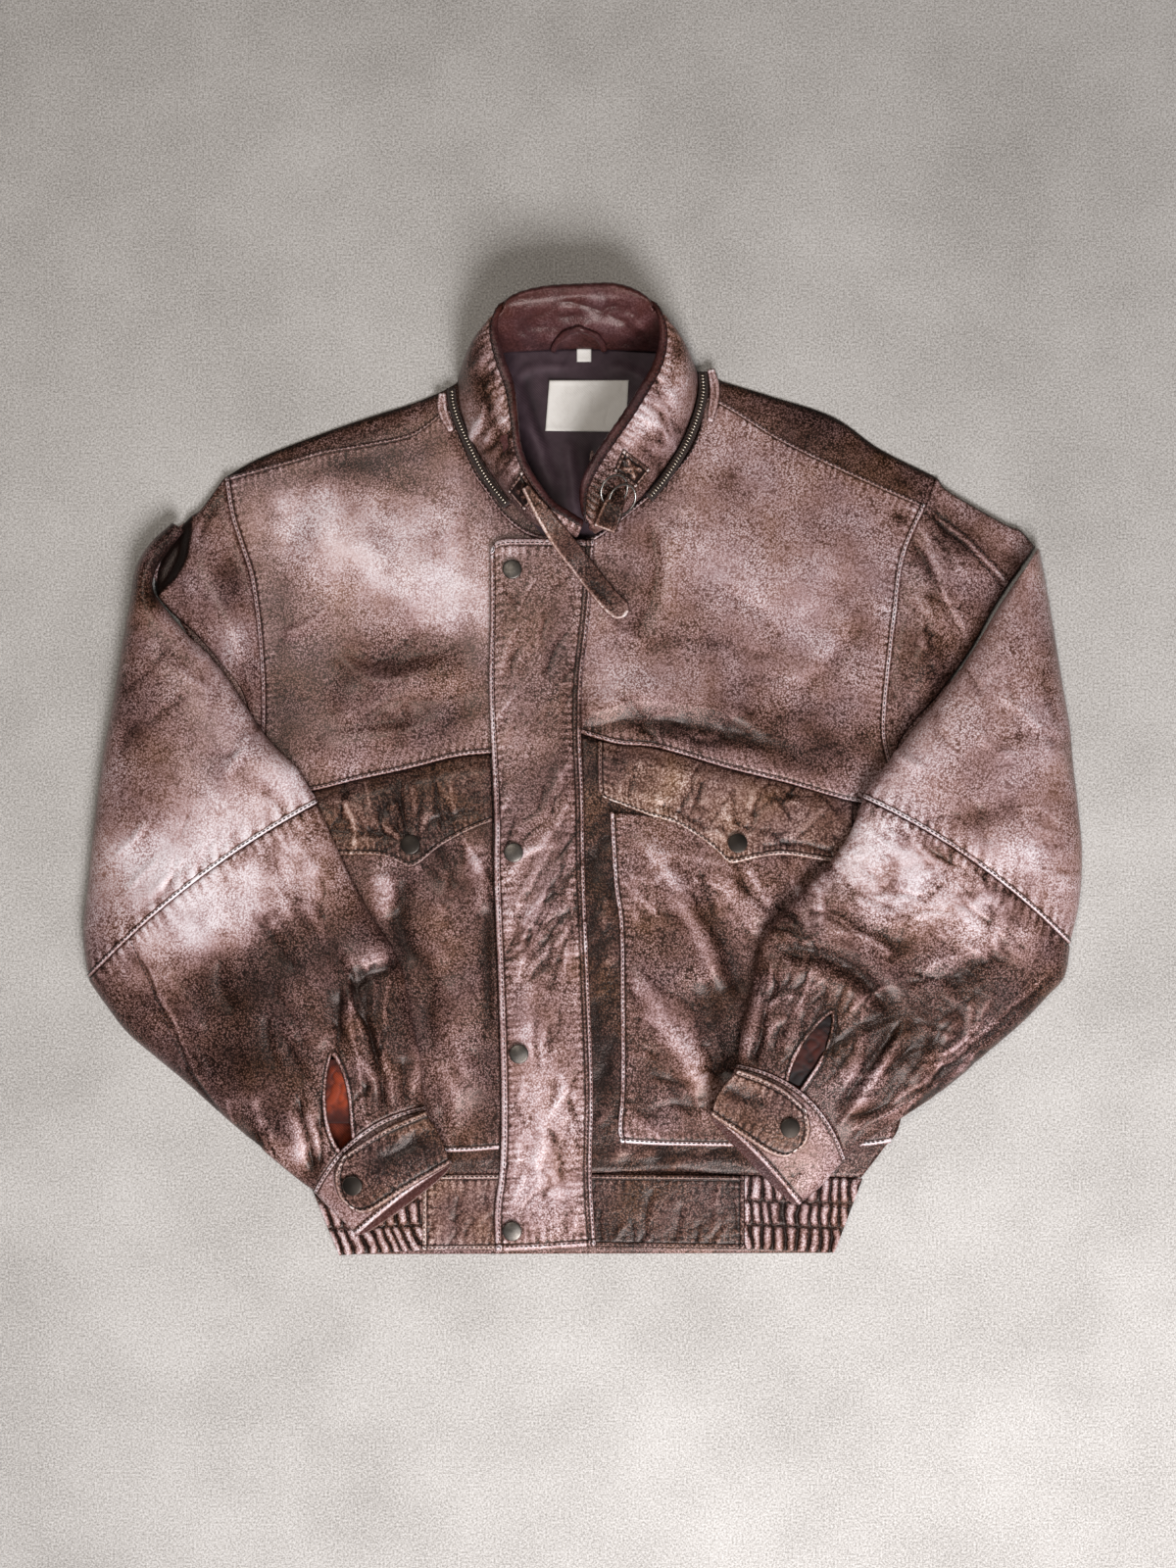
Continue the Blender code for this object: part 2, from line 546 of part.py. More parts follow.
def make_body():
    """Back, fronts, pockets, flaps, placket and waistband."""
    back_top = chain(spline(BACK_SHOULDER_RIGHT, 3), spline(BACK_NECK, 3), spline(BACK_SHOULDER_LEFT, 3))
    back_bottom = spline([SIDE_RIGHT[0], SIDE_LEFT[0]], 9)
    back_left = chain(spline(SIDE_RIGHT, SIDE_STEPS + 1), spline(ARMHOLE_RIGHT, ARMHOLE_STEPS))
    back_right = chain(spline(SIDE_LEFT, SIDE_STEPS), spline(ARMHOLE_LEFT, ARMHOLE_STEPS),
                       spline(ARMHOLE_LEFT_TOP, 1))
    plan = shrink(patch(back_left, back_right, back_bottom, back_top), SEAM_GAP)
    cloth("back", lift(plan, BACK_MID), BACK_LEATHER, leather())

    plan = patch(spline(ARMHOLE_RIGHT, ARMHOLE_STEPS), spline([(-3, 16), (-3, 169)], ARMHOLE_STEPS),
                 spline(YOKE_RIGHT, YOKE_STEPS),
                 chain(spline(SHOULDER_RIGHT, SHOULDER_STEPS), spline(NECK_RIGHT, NECK_STEPS)))
    hide = leather()
    cloth("front_upper_right", lift(shrink(plan, SEAM_GAP), front_height(FOLDS_UPPER_RIGHT)), LEATHER, hide)
    plan = patch(spline([(0, 27), (0, 170)], ARMHOLE_STEPS), spline(ARMHOLE_LEFT, ARMHOLE_STEPS),
                 spline(YOKE_LEFT, YOKE_STEPS),
                 chain(spline(NECK_LEFT, NECK_STEPS), spline(SHOULDER_LEFT, SHOULDER_STEPS)))
    cloth("front_upper_left", lift(shrink(plan, SEAM_GAP), front_height(FOLDS_UPPER_LEFT)), LEATHER, hide)

    plan = patch(spline(SIDE_RIGHT, SIDE_STEPS), spline([(-3, -301), (-3, 16)], SIDE_STEPS),
                 spline(WAIST_RIGHT, YOKE_STEPS), spline(YOKE_RIGHT, YOKE_STEPS))
    cloth("front_lower_right", lift(shrink(plan, SEAM_GAP), FRONT_MID), LEATHER, hide)
    plan = patch(spline([(0, -301), (0, 27)], SIDE_STEPS), spline(SIDE_LEFT, SIDE_STEPS),
                 spline(WAIST_LEFT, YOKE_STEPS), spline(YOKE_LEFT, YOKE_STEPS))
    cloth("front_lower_left", lift(shrink(plan, SEAM_GAP), FRONT_MID), LEATHER, hide)

    dark = leather("leather_dark", DARK_BROWN)
    for side, pocket, flap, ridges, seam in (
            ("right", POCKET_RIGHT, FLAP_RIGHT, FOLDS_POCKET_RIGHT, YOKE_RIGHT),
            ("left", POCKET_LEFT, FLAP_LEFT, FOLDS_POCKET_LEFT, YOKE_LEFT)):
        plan = shrink(edged_plan(pocket, 9, 10), SEAM_GAP)
        cloth("pocket_" + side, lift(plan, pocket_height(ridges)), LEATHER, hide)
        plan = shrink(edged_plan(flap, 9, 4), SEAM_GAP)
        cloth("flap_" + side, lift(plan, flap_height(ridges, seam)), LEATHER, dark)

    plan = patch(spline(PLACKET_LEFT_EDGE, 18), spline(PLACKET_RIGHT_EDGE, 18), spline(PLACKET_HEM, 3),
                 spline(PLACKET_TOP, 3))
    cloth("placket", lift(plan, placket_height), LEATHER, leather())

    cloth("waistband_back", lift(quad_plan(BAND_BACK, 6, 1), BACK_MID), BACK_LEATHER, leather())
    cloth("waistband_right", lift(quad_plan(BAND_RIGHT, 4, 1), BAND_MID), BAND_LEATHER, dark)
    cloth("waistband_left", lift(quad_plan(BAND_LEFT, 4, 1), BAND_MID), BAND_LEATHER, dark)
    for side, corners in (("right", ELASTIC_RIGHT), ("left", ELASTIC_LEFT)):
        plan = quad_plan(corners, 16, 2)
        waves = np.where(np.arange(17) % 2 == 0, 0.0, 2.4)
        places = lift(plan, BAND_MID - 0.4)
        places[..., 2] += waves[None, :]
        cloth("waist_elastic_" + side, places, LEATHER, dark)


def sleeve_rings(stations, rows, columns, slit=None, lengthen=0.0):
    """Rings along a sleeve that lies flat: a flat underside, and a crown between its two edges.

    Each ring starts on its upper side, at the slit if there is one, and runs round over the outer edge.
    """
    flat = np.array([(*outer, *inner, crown, bow) for outer, inner, crown, bow in stations], dtype=float)
    lines = spline(flat, rows)
    rings = np.zeros((rows + 1, columns + 1, 3))
    middle_axis = np.gradient((lines[:, 0:2] + lines[:, 2:4]) / 2, axis=0)
    for row, (ox, oy, ix, iy, crown, bow) in enumerate(lines):
        outer, inner = np.array([ox, oy]), np.array([ix, iy])
        chord = inner - outer
        reach = np.linalg.norm(chord)
        up_sleeve = np.array([-chord[1], chord[0]]) / reach
        if up_sleeve @ middle_axis[row] > 0:
            up_sleeve = -up_sleeve
        part = row / rows
        start = math.pi / 2
        half_slit = 0.0
        if slit:
            down = max(0.0, (part - slit["top"]) / (1 - slit["top"]))
            start = math.acos(1 - 2 * (slit["across"][0] * (1 - down) + slit["across"][1] * down))
            half_slit = slit["wide"] * down / reach
        angles = np.linspace(start - half_slit, start - 2 * math.pi + half_slit, columns + 1)
        share = (1 - np.cos(angles)) / 2
        plan = outer + chord * share[:, None] + up_sleeve * (bow * 4 * share * (1 - share))[:, None]
        below = np.sin(angles) < 0
        if lengthen:
            plan = plan - up_sleeve * (lengthen * part * np.clip(-np.sin(angles), 0, 1))[:, None]
        floor = under_sleeve(plan[:, 0], plan[:, 1]) + LEATHER / 2
        top = np.maximum(crown, floor + 6)
        height = np.abs(np.sin(angles))
        above = EDGE_SHARE + (1 - EDGE_SHARE) * height ** CROWN_POWER
        rise = np.where(below, EDGE_SHARE * (1 - height), above)
        rings[row, :, :2] = plan
        rings[row, :, 2] = floor + (top - floor) * rise
    if not slit:
        rings[:, -1] = rings[:, 0]
    else:
        shut = np.arange(rows + 1) / rows <= slit["top"]
        rings[shut, -1] = rings[shut, 0]
    return rings


def upper_side(stations, inset=0.0):
    """A fine sampling of the upper side of a sleeve or cuff."""
    rings = sleeve_rings(stations, 24, 96)
    return Surface(rings[:, [k % 97 for k in range(-24, 25)]] + np.array([0, 0, inset]))


def head_height(plan):
    """A sleeve head swells between the armhole seam and the fold, and sinks under the fold."""
    rows, columns = plan.shape[:2]
    across = np.linspace(0, 1, columns)[None, :]
    up = np.linspace(0, 1, rows)[:, None]
    swell = np.sin(math.pi * across) ** 2.2 * ease((up - 0.28) / 0.25) * ease((1 - up) / 0.22 + 0.12)
    return FRONT_MID + HEAD_CROWN * swell


def make_sleeve(side, sleeve):
    """One sleeve: head, its under layer, upper and lower tube, cuff and tab."""
    hide = leather()
    plan = shrink(sleeve["head"], SEAM_GAP)
    cloth("sleeve_head_" + side, lift(plan, head_height(plan)), LEATHER, hide)
    cloth("sleeve_back_" + side, lift(shrink(sleeve["plate"], SEAM_GAP), BACK_MID), BACK_LEATHER, hide)
    cloth("sleeve_upper_" + side, sleeve_rings(sleeve["upper"], 9, 13), LEATHER, hide)
    cloth("sleeve_lower_" + side, sleeve_rings(sleeve["lower"], 10, 14, slit=sleeve["slit"]), LEATHER, hide)
    under_slit = upper_side(sleeve["lower"])
    depth = (LEATHER + SATIN) / 2 + LAYER_GAP + PATCH_CLEARANCE
    places = under_slit.cover(edged_plan(sleeve["lining"], 3, 4), -depth)
    cloth("sleeve_lining_" + side, places, SATIN, material("satin_rust", SATIN_RUST, 0.35))
    cloth("cuff_" + side, sleeve_rings(sleeve["cuff"], 3, 14, lengthen=7.0), LEATHER, hide)
    tab_ground = upper_side(sleeve["cuff"])
    places = tab_ground.cover(edged_plan(sleeve["tab"], 7, 4), LEATHER + LAYER_GAP + 0.3)
    places[..., 2] = np.maximum(places[..., 2], CUFF_CROWN + 0.5)
    cloth("cuff_tab_" + side, places, LEATHER, leather("leather_dark", DARK_BROWN))
    place, normal = Surface(places).over(*sleeve["snap"], LEATHER / 2 + LAYER_GAP)
    snap_cap("snap_cuff_" + side, place, normal)


def make_sleeves():
    seam = spline(ARMHOLE_RIGHT, ARMHOLE_STEPS) - (SEAM_GAP, 0)
    head = patch(spline(HEAD_RIGHT["left"], ARMHOLE_STEPS), seam, spline([HEAD_RIGHT["left"][0], seam[0]], 6),
                 spline(HEAD_RIGHT["top"][:-1] + [tuple(seam[-1])], 6))
    plate = patch(spline(PLATE_RIGHT["left"], ARMHOLE_STEPS), seam,
                  spline([PLATE_RIGHT["left"][0], seam[0]], 2),
                  spline(PLATE_RIGHT["top"][:-1] + [tuple(seam[-1])], 2))
    make_sleeve("right", {"head": head, "plate": plate, "upper": UPPER_RIGHT, "lower": LOWER_RIGHT,
                          "slit": SLIT_RIGHT, "lining": SLIT_LINING_RIGHT, "cuff": CUFF_EDGE_RIGHT,
                          "tab": TAB_RIGHT, "snap": SNAP_ON_TAB_RIGHT})
    seam = chain(spline(ARMHOLE_LEFT, ARMHOLE_STEPS), spline(ARMHOLE_LEFT_TOP, 1)) + (SEAM_GAP, 0)
    head = patch(seam, spline(HEAD_LEFT["right"], ARMHOLE_STEPS + 1),
                 spline([seam[0], HEAD_LEFT["right"][0]], 6), spline([tuple(seam[-1])] + HEAD_LEFT["top"], 6))
    plate = patch(seam, spline(PLATE_LEFT["right"], ARMHOLE_STEPS + 1),
                  spline([seam[0], PLATE_LEFT["right"][0]], 2),
                  spline([tuple(seam[-1])] + PLATE_LEFT["top"], 2))
    make_sleeve("left", {"head": head, "plate": plate, "upper": UPPER_LEFT, "lower": LOWER_LEFT,
                         "slit": SLIT_LEFT, "lining": SLIT_LINING_LEFT, "cuff": CUFF_EDGE_LEFT,
                         "tab": TAB_LEFT, "snap": SNAP_ON_TAB_LEFT})


def collar_rows(columns, rows):
    """Rings up the collar from its foot to its upper edge, bulging outwards between them."""
    flat = np.array([(*base, *edge, height) for base, edge, height in COLLAR_STATIONS], dtype=float)
    lines = spline(flat, columns)
    base, edge, height = lines[:, 0:2], lines[:, 2:4], lines[:, 4]
    run = np.gradient(base, axis=0)
    outward = np.stack([-run[:, 1], run[:, 0]], axis=1)
    outward /= np.linalg.norm(outward, axis=1, keepdims=True)
    outward *= -np.sign(np.sum(outward * (np.array([0, 250]) - base), axis=1, keepdims=True))
    places = np.zeros((rows + 1, columns + 1, 3))
    for row in range(rows + 1):
        part = row / rows
        bulge = COLLAR_BULGE * math.sin(math.pi * part)
        places[row, :, :2] = base * (1 - part) + edge * part + outward * bulge
        places[row, :, 2] = COLLAR_BASE + (height - COLLAR_BASE) * math.sin(part * math.pi / 2) ** 0.9
    return places


def moved_out(places, rise):
    """A grid moved along its own normals; a positive rise is away from the neck's middle."""
    normals = np.cross(np.gradient(places, axis=0), np.gradient(places, axis=1))
    normals /= np.linalg.norm(normals, axis=2, keepdims=True)
    return places + normals * rise


def make_collar():
    outer = collar_rows(COLLAR_COLUMNS, COLLAR_ROWS)
    foot = np.linspace(1, 0, COLLAR_ROWS + 1)[:, None, None]
    facing = moved_out(outer, -FACING_DEPTH) + foot * (0, 0, FACING_LIFT)
    cloth("collar_outer", outer, LEATHER, leather(), even=False)
    cloth("collar_facing", facing, LEATHER, leather("leather_burgundy", BURGUNDY), even=False)


def make_neck():
    satin = material("satin_dark", SATIN_DARK, 0.35)
    white = material("satin_white", LABEL_WHITE, 0.6)
    cloth("lining", lift(edged_plan(LINING, 6, 6), LINING_MID), SATIN, satin)
    cloth("label", lift(quad_plan(LABEL, 4, 3), LINING_MID + SATIN + LAYER_GAP), SATIN, white)
    cloth("size_tag", lift(quad_plan(SIZE_TAG, 2, 2), LINING_MID + SATIN + LAYER_GAP), SATIN, white)

    fine = collar_rows(FINE * COLLAR_COLUMNS, FINE * COLLAR_ROWS)
    outer = Surface(fine)
    inner = Surface(moved_out(fine, -FACING_DEPTH)[:, BACK_COLLAR])
    dark = leather("leather_dark", DARK_BROWN)
    on_wall = LEATHER + LAYER_GAP
    on_curve = on_wall + PATCH_CLEARANCE
    loop = [inner.over(x, y, LEATHER / 2 + HANGER_RADIUS + LAYER_GAP)[0] for x, y in spline(HANGER, 14)]
    wire("hanger_loop", np.array(loop), HANGER_RADIUS, leather("leather_burgundy", BURGUNDY))

    tape = material("zip_tape", ZIP_BROWN, 0.7)
    for side, path, tab in (("right", ZIP_RIGHT, TAB_ZIP_RIGHT), ("left", ZIP_LEFT, TAB_ZIP_LEFT)):
        cloth("neck_zip_" + side, lift(ribbon(path, ZIP_WIDTH, 8), ZIP_MID), 1.6, tape)
        widths = TAB_ZIP_WIDTH * np.array([0.8, 1, 1, 1, 0.7])
        places = lift(ribbon(tab, widths, 4, 2), FRONT_MID + on_curve)
        cloth("zip_end_tab_" + side, places, LEATHER, leather())

    diamond = patch(spline([DIAMOND[0], DIAMOND[3]], 3), spline([DIAMOND[1], DIAMOND[2]], 3),
                    spline([DIAMOND[0], DIAMOND[1]], 3), spline([DIAMOND[3], DIAMOND[2]], 3))
    cloth("collar_diamond", outer.cover(diamond, on_curve), LEATHER, dark)
    anchor = patch(spline([ANCHOR[0], ANCHOR[3]], 3), spline([ANCHOR[1], ANCHOR[2]], 3),
                   spline([ANCHOR[0], ANCHOR[1]], 3), spline([ANCHOR[3], ANCHOR[2]], 3))
    cloth("strap_anchor", outer.cover(anchor, on_curve), LEATHER, dark)

    steel = material("ring_steel", STEEL, 0.3, 1.0)
    ring_place, ring_normal = outer.over(*RING_CENTRES[0], 0)
    turn = Vector((0, 0, 1)).rotation_difference(Vector(ring_normal)).to_matrix()
    for number, (centre, rise) in enumerate(zip(RING_CENTRES, RING_LIFTS), start=1):
        across = np.array([centre[0] - ring_place[0], centre[1] - ring_place[1]])
        slope = -(ring_normal[:2] @ across) / ring_normal[2]
        middle = np.array([*centre, ring_place[2] + slope + rise / ring_normal[2]])
        angles = np.linspace(0, 2 * math.pi, RING_STEPS, endpoint=False)
        ring = [middle + np.array(turn @ Vector((math.cos(a), math.sin(a), 0))) * RING_RADIUS for a in angles]
        wire("ring_%d" % number, np.array(ring), RING_WIRE, steel, closed=True)


def ground_at_throat(collar, x, y):
    """Top of what the throat strap hangs over: the front, the placket and the collar's slope."""
    ground = FRONT_MID + LEATHER / 2
    edge_x, edge_y = zip(*PLACKET_RIGHT_EDGE)
    if x < np.interp(y, edge_y, edge_x) and y < PLACKET_TOP[-1][1]:
        ground = placket_height(x, y) + LEATHER / 2
    away = np.hypot(collar.points[:, 0] - x, collar.points[:, 1] - y)
    slope = collar.points[:, 2] + LEATHER / 2 - DRAPE_FALL * away
    return max(ground, slope.max())


def draped(collar, plan, rise):
    """A plan hung over the collar and what is below it, clear of them by rise."""
    around = [(dx, dy) for dx in (-DRAPE_REACH, 0, DRAPE_REACH) for dy in (-DRAPE_REACH, 0, DRAPE_REACH)]
    heights = [[max(ground_at_throat(collar, x + dx, y + dy) for dx, dy in around) for x, y in row]
               for row in plan]
    return np.dstack([plan, np.array(heights) + LEATHER / 2 + rise])


def make_straps():
    dark = leather("leather_dark", DARK_BROWN)
    collar = Surface(collar_rows(120, 16))
    widths = np.full(STRAP_STEPS + 1, STRAP_WIDTH)
    widths[-2:] = (0.86 * STRAP_WIDTH, 0.5 * STRAP_WIDTH)
    rises = np.interp(np.arange(STRAP_STEPS + 1), [0, 5, 10, STRAP_STEPS],
                      [OVER_ANCHOR, STRAP_LIFT, STRAP_LIFT, TIP_LIFT])
    strap = draped(collar, ribbon(STRAP_PATH, widths, STRAP_STEPS, 2), rises[:, None])
    cloth("throat_strap", strap, LEATHER, dark)

    foot, normal = collar.over(*RING_CENTRES[0], 0)
    line = spline(LOOP_PATH, LOOP_STEPS)
    plan = ribbon(line[:, :2], line[:, 3], LOOP_STEPS, 2)
    slope = -(plan - foot[:2]) @ normal[:2] / normal[2]
    on_rings = foot[2] + slope + line[:, 2:3] / normal[2]
    hanging = np.maximum(draped(collar, plan, STRAP_LIFT)[..., 2], on_rings)
    fall = ease(np.linspace(-0.8, 1.6, LOOP_STEPS + 1))[:, None]
    cloth("strap_loop", np.dstack([plan, on_rings * (1 - fall) + hanging * fall]), LEATHER, dark)


def make_snaps():
    for number, (x, y) in enumerate(SNAPS_ON_PLACKET, start=1):
        place = np.array([x, y, placket_height(x, y) + LEATHER / 2 + LAYER_GAP])
        snap_cap("snap_placket_%d" % number, place, (0, 0, 1))
    for side, (x, y), ridges, seam in (
            ("right", SNAP_ON_FLAP_RIGHT, FOLDS_POCKET_RIGHT, YOKE_RIGHT),
            ("left", SNAP_ON_FLAP_LEFT, FOLDS_POCKET_LEFT, YOKE_LEFT)):
        height = flap_height(ridges, seam)(np.array(x), np.array(y))
        place = np.array([x, y, height + LEATHER / 2 + LAYER_GAP])
        snap_cap("snap_flap_" + side, place, (0, 0, 1))


empty_scene()
JACKET = bpy.data.collections.new("leather_jacket")
bpy.context.scene.collection.children.link(JACKET)
make_body()
make_sleeves()
make_collar()
make_neck()
make_straps()
make_snaps()
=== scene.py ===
"""Looks of a worn leather blouson, laid flat on its back with its sleeves folded over the front.

Sizes are millimetres until a mesh is made. +Y points to the collar, +Z up, and the wearer's right is at -X.
Outlines are read from straight above, as the model's own are, and Sight brings them to their real places.
"""

import itertools
import logging
import math
from collections.abc import Callable, Mapping, Sequence
from dataclasses import dataclass, field, replace
from enum import Enum

import bmesh
import bpy
import numpy as np
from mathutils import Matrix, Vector
from mathutils.bvhtree import BVHTree


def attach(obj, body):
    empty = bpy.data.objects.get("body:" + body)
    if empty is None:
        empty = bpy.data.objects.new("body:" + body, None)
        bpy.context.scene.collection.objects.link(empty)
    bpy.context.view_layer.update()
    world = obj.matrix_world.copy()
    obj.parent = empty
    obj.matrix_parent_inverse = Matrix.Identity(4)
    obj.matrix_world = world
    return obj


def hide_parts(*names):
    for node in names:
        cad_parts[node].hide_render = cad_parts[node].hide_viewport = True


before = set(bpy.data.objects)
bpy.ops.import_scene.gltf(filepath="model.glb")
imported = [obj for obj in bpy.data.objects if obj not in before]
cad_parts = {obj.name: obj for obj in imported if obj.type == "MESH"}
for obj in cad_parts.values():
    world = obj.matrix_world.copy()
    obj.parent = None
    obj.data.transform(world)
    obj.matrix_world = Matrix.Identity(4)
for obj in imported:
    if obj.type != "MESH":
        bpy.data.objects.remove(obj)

MM = 0.001
BODY = "root"

# The narrowest strip that can be sewn, the height of stitches on the leather, and where seams start and end
SEWN_WIDTH = 10.2
STITCH_RISE = 0.05
SEAM_ENDS = slice(3, -3)

# The least height of an outer side over the floor, and how far a rim bulges as a share of the wall
LOWEST = 0.6
RIM_BULGE = 0.35

# How soon creases fade out at their ends, as shares of their length
CREASE_TAPER = 0.22
CREASE_START = 0.15

# How far apart the swells of each kind of wear are, and how wide a stitched groove and the painted shade
# along an edge are
SWAY_CELL = 26
SWELL_CELL = 42
PATCH_CELL = 55
BLOTCH_CELL = 15
GROOVE_WIDTH = 0.85
EDGE_SHADE_WIDTH = 0.6

# How often heights read from a CAD node are smoothed
SOFTENINGS = 14

LOG = logging.getLogger("leather_jacket")

Line = Sequence[tuple[float, ...]]
Height = Callable[[np.ndarray, np.ndarray], np.ndarray]


# Where things are seen and placed


def surface_of(item: bpy.types.Object) -> BVHTree:
    """Take a piece's surface, to look for places on it.

    Args:
        item: The piece.

    Returns:
        Its faces, ready for ray casts.
    """
    mesh = item.data
    return BVHTree.FromPolygons([vertex.co for vertex in mesh.vertices],
                                [polygon.vertices for polygon in mesh.polygons])


@dataclass(frozen=True)
class Sight:
    """The eye that the outlines are read from, straight above the jacket.

    An outline's x and y are those of the point seen at read_height. A place at another height is brought
    nearer to or further from the line of sight, and the jacket's middle is moved to the origin.
    """

    eye: tuple[float, float] = (5.5, -11.0)
    height: float = 1370.0
    read_height: float = 20.0
    middle: tuple[float, float] = (1.6, -6.2)

    def place(self, places: np.ndarray) -> np.ndarray:
        """Bring places that were read from above to the row frame.

        Args:
            places: An array whose last axis is x, y as read, and the real height.

        Returns:
            The same places in metres, in the row frame.
        """
        placed = np.array(places, dtype=float)
        reach = (self.height - placed[..., 2:]) / (self.height - self.read_height)
        placed[..., :2] = self.eye + (placed[..., :2] - self.eye) * reach - self.middle
        return placed * MM

    def seen(self, item: bpy.types.Object, plan: np.ndarray) -> tuple[np.ndarray, np.ndarray]:
        """Find how high a piece's upper side is where it is seen from above, and how steep it is there.

        Args:
            item: The piece.
            plan: A grid of x and y as read.

        Returns:
            The grid of heights in millimetres, and of how far the surface faces up, from 0.3 to 1. A point
            beside the piece takes the nearest values in its row.
        """
        surface = surface_of(item)
        start = self.place(np.array([*self.eye, self.height]))
        floor = self.place(np.dstack([plan, np.zeros(plan.shape[:2])]))
        values = np.full((*plan.shape[:2], 2), np.nan)
        for spot in np.ndindex(plan.shape[:2]):
            found, normal = surface.ray_cast(start.tolist(), (floor[spot] - start).tolist())[:2]
            if found is not None:
                values[spot] = found.z / MM, max(0.3, abs(normal.z))
        for row in values:
            known = np.flatnonzero(~np.isnan(row[:, 0]))
            if len(known):
                for axis in (0, 1):
                    row[:, axis] = np.interp(np.arange(len(row)), known, row[known, axis])
        filled = np.flatnonzero(~np.isnan(values[:, 0, 0]))
        for axis, column in itertools.product((0, 1), range(values.shape[1])):
            values[:, column, axis] = np.interp(np.arange(len(values)), filled, values[filled, column, axis])
        return values[..., 0], values[..., 1]

    def height_of(self, node: str, plan: np.ndarray) -> np.ndarray:
        """The heights in millimetres of a CAD node's upper side where it is seen from above."""
        return self.seen(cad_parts[node], plan)[0]


SIGHT = Sight()


def ease(value: np.ndarray) -> np.ndarray:
    """Rise smoothly from 0 to 1 as value does."""
    held = np.clip(value, 0, 1)
    return held * held * (3 - 2 * held)


def smooth_line(points: Line, shares: np.ndarray) -> np.ndarray:
    """Sample a smooth line through given points.

    Args:
        points: The points that the line goes through.
        shares: Where to sample it, as shares of its length.

    Returns:
        One row of coordinates for each share.
    """
    rough = np.array(points, dtype=float)
    fine = rough
    if len(rough) > 2:
        padded = np.vstack([2 * rough[0] - rough[1], rough, 2 * rough[-1] - rough[-2]])
        steps = np.linspace(0, 1, 24, endpoint=False)[:, None]
        runs = [0.5 * (2 * b + (c - a) * steps + (2 * a - 5 * b + 4 * c - d) * steps ** 2
                       + (3 * b - a - 3 * c + d) * steps ** 3)
                for a, b, c, d in zip(padded[:-3], padded[1:-2], padded[2:-1], padded[3:])]
        fine = np.vstack(runs + [rough[-1:]])
    lengths = lengths_along(fine)
    return np.stack([np.interp(np.asarray(shares) * lengths[-1], lengths, fine[:, k])
                     for k in range(fine.shape[1])], axis=1)


def lengths_along(line: np.ndarray) -> np.ndarray:
    """Distance of each point of a line from its start, along the line's first axis."""
    steps = np.linalg.norm(np.diff(line, axis=0), axis=-1)
    return np.concatenate([np.zeros((1, *steps.shape[1:])), np.cumsum(steps, axis=0)])


def graded(length: float, step: float, fine: tuple[bool, bool]) -> np.ndarray:
    """Shares of a length that lie closer together near finished edges.

    Args:
        length: The length that is shared out.
        step: The distance between places far from an edge.
        fine: Whether the start and the end are finished edges.

    Returns:
        Rising shares from 0 to 1.
    """
    fine_step, border = 0.7, 6.0
    close = min(fine_step, step)
    places = [0.0]
    while places[-1] < length:
        near = [away for away, wanted in zip((places[-1], length - places[-1]), fine) if wanted]
        far = ease(np.array((min(near, default=length) - border) / border))
        places.append(places[-1] + close + (step - close) * float(far))
    shares = np.array(places)
    return shares / shares[-1]


def fill(left: np.ndarray, right: np.ndarray, bottom: np.ndarray, top: np.ndarray,
         up: np.ndarray, across: np.ndarray) -> np.ndarray:
    """Fill a plan between four edges that meet at their corners.

    Args:
        left: The edge at -X, running up.
        right: The edge at +X, running up.
        bottom: The lower edge, running to +X.
        top: The upper edge, running to +X.
        up: The shares at which left and right are sampled.
        across: The shares at which bottom and top are sampled.

    Returns:
        A grid of x and y, rows running up.
    """
    u, v = up[:, None, None], across[None, :, None]
    sides = (1 - u) * bottom[None] + u * top[None] + (1 - v) * left[:, None] + v * right[:, None]
    corners = ((1 - u) * ((1 - v) * bottom[0] + v * bottom[-1]) + u * ((1 - v) * top[0] + v * top[-1]))
    return sides - corners


def gradient_noise(places: np.ndarray, cell: float | Sequence[float], seed: int) -> np.ndarray:
    """Smooth noise that repeats nowhere on the jacket.

    Args:
        places: Places in millimetres, x, y and z on the last axis.
        cell: The size of one swell, or one size for each axis.
        seed: Which noise it is.

    Returns:
        Values from about -1 to 1.
    """
    table = np.random.default_rng(seed)
    order = table.permutation(256)
    slopes = table.normal(size=(256, 3))
    slopes /= np.linalg.norm(slopes, axis=1, keepdims=True)
    at = places / np.asarray(cell, dtype=float)
    base = np.floor(at).astype(int)
    within = at - base
    fade = within ** 3 * (within * (within * 6 - 15) + 10)
    total = np.zeros(places.shape[:-1])
    for corner in itertools.product((0, 1), repeat=3):
        node = base + corner
        pick = order[(order[(order[node[..., 0] & 255] + node[..., 1]) & 255] + node[..., 2]) & 255]
        share = np.prod(np.where(np.array(corner) == 1, fade, 1 - fade), axis=-1)
        total += share * (slopes[pick] * (within - corner)).sum(axis=-1)
    return 1.6 * total


def turned(x: np.ndarray, y: np.ndarray, degrees: float) -> tuple[np.ndarray, np.ndarray]:
    """Coordinates along and across a direction that lies degrees from +X."""
    angle = math.radians(degrees)
    return (x * math.cos(angle) + y * math.sin(angle), y * math.cos(angle) - x * math.sin(angle))


# How the leather has creased and worn


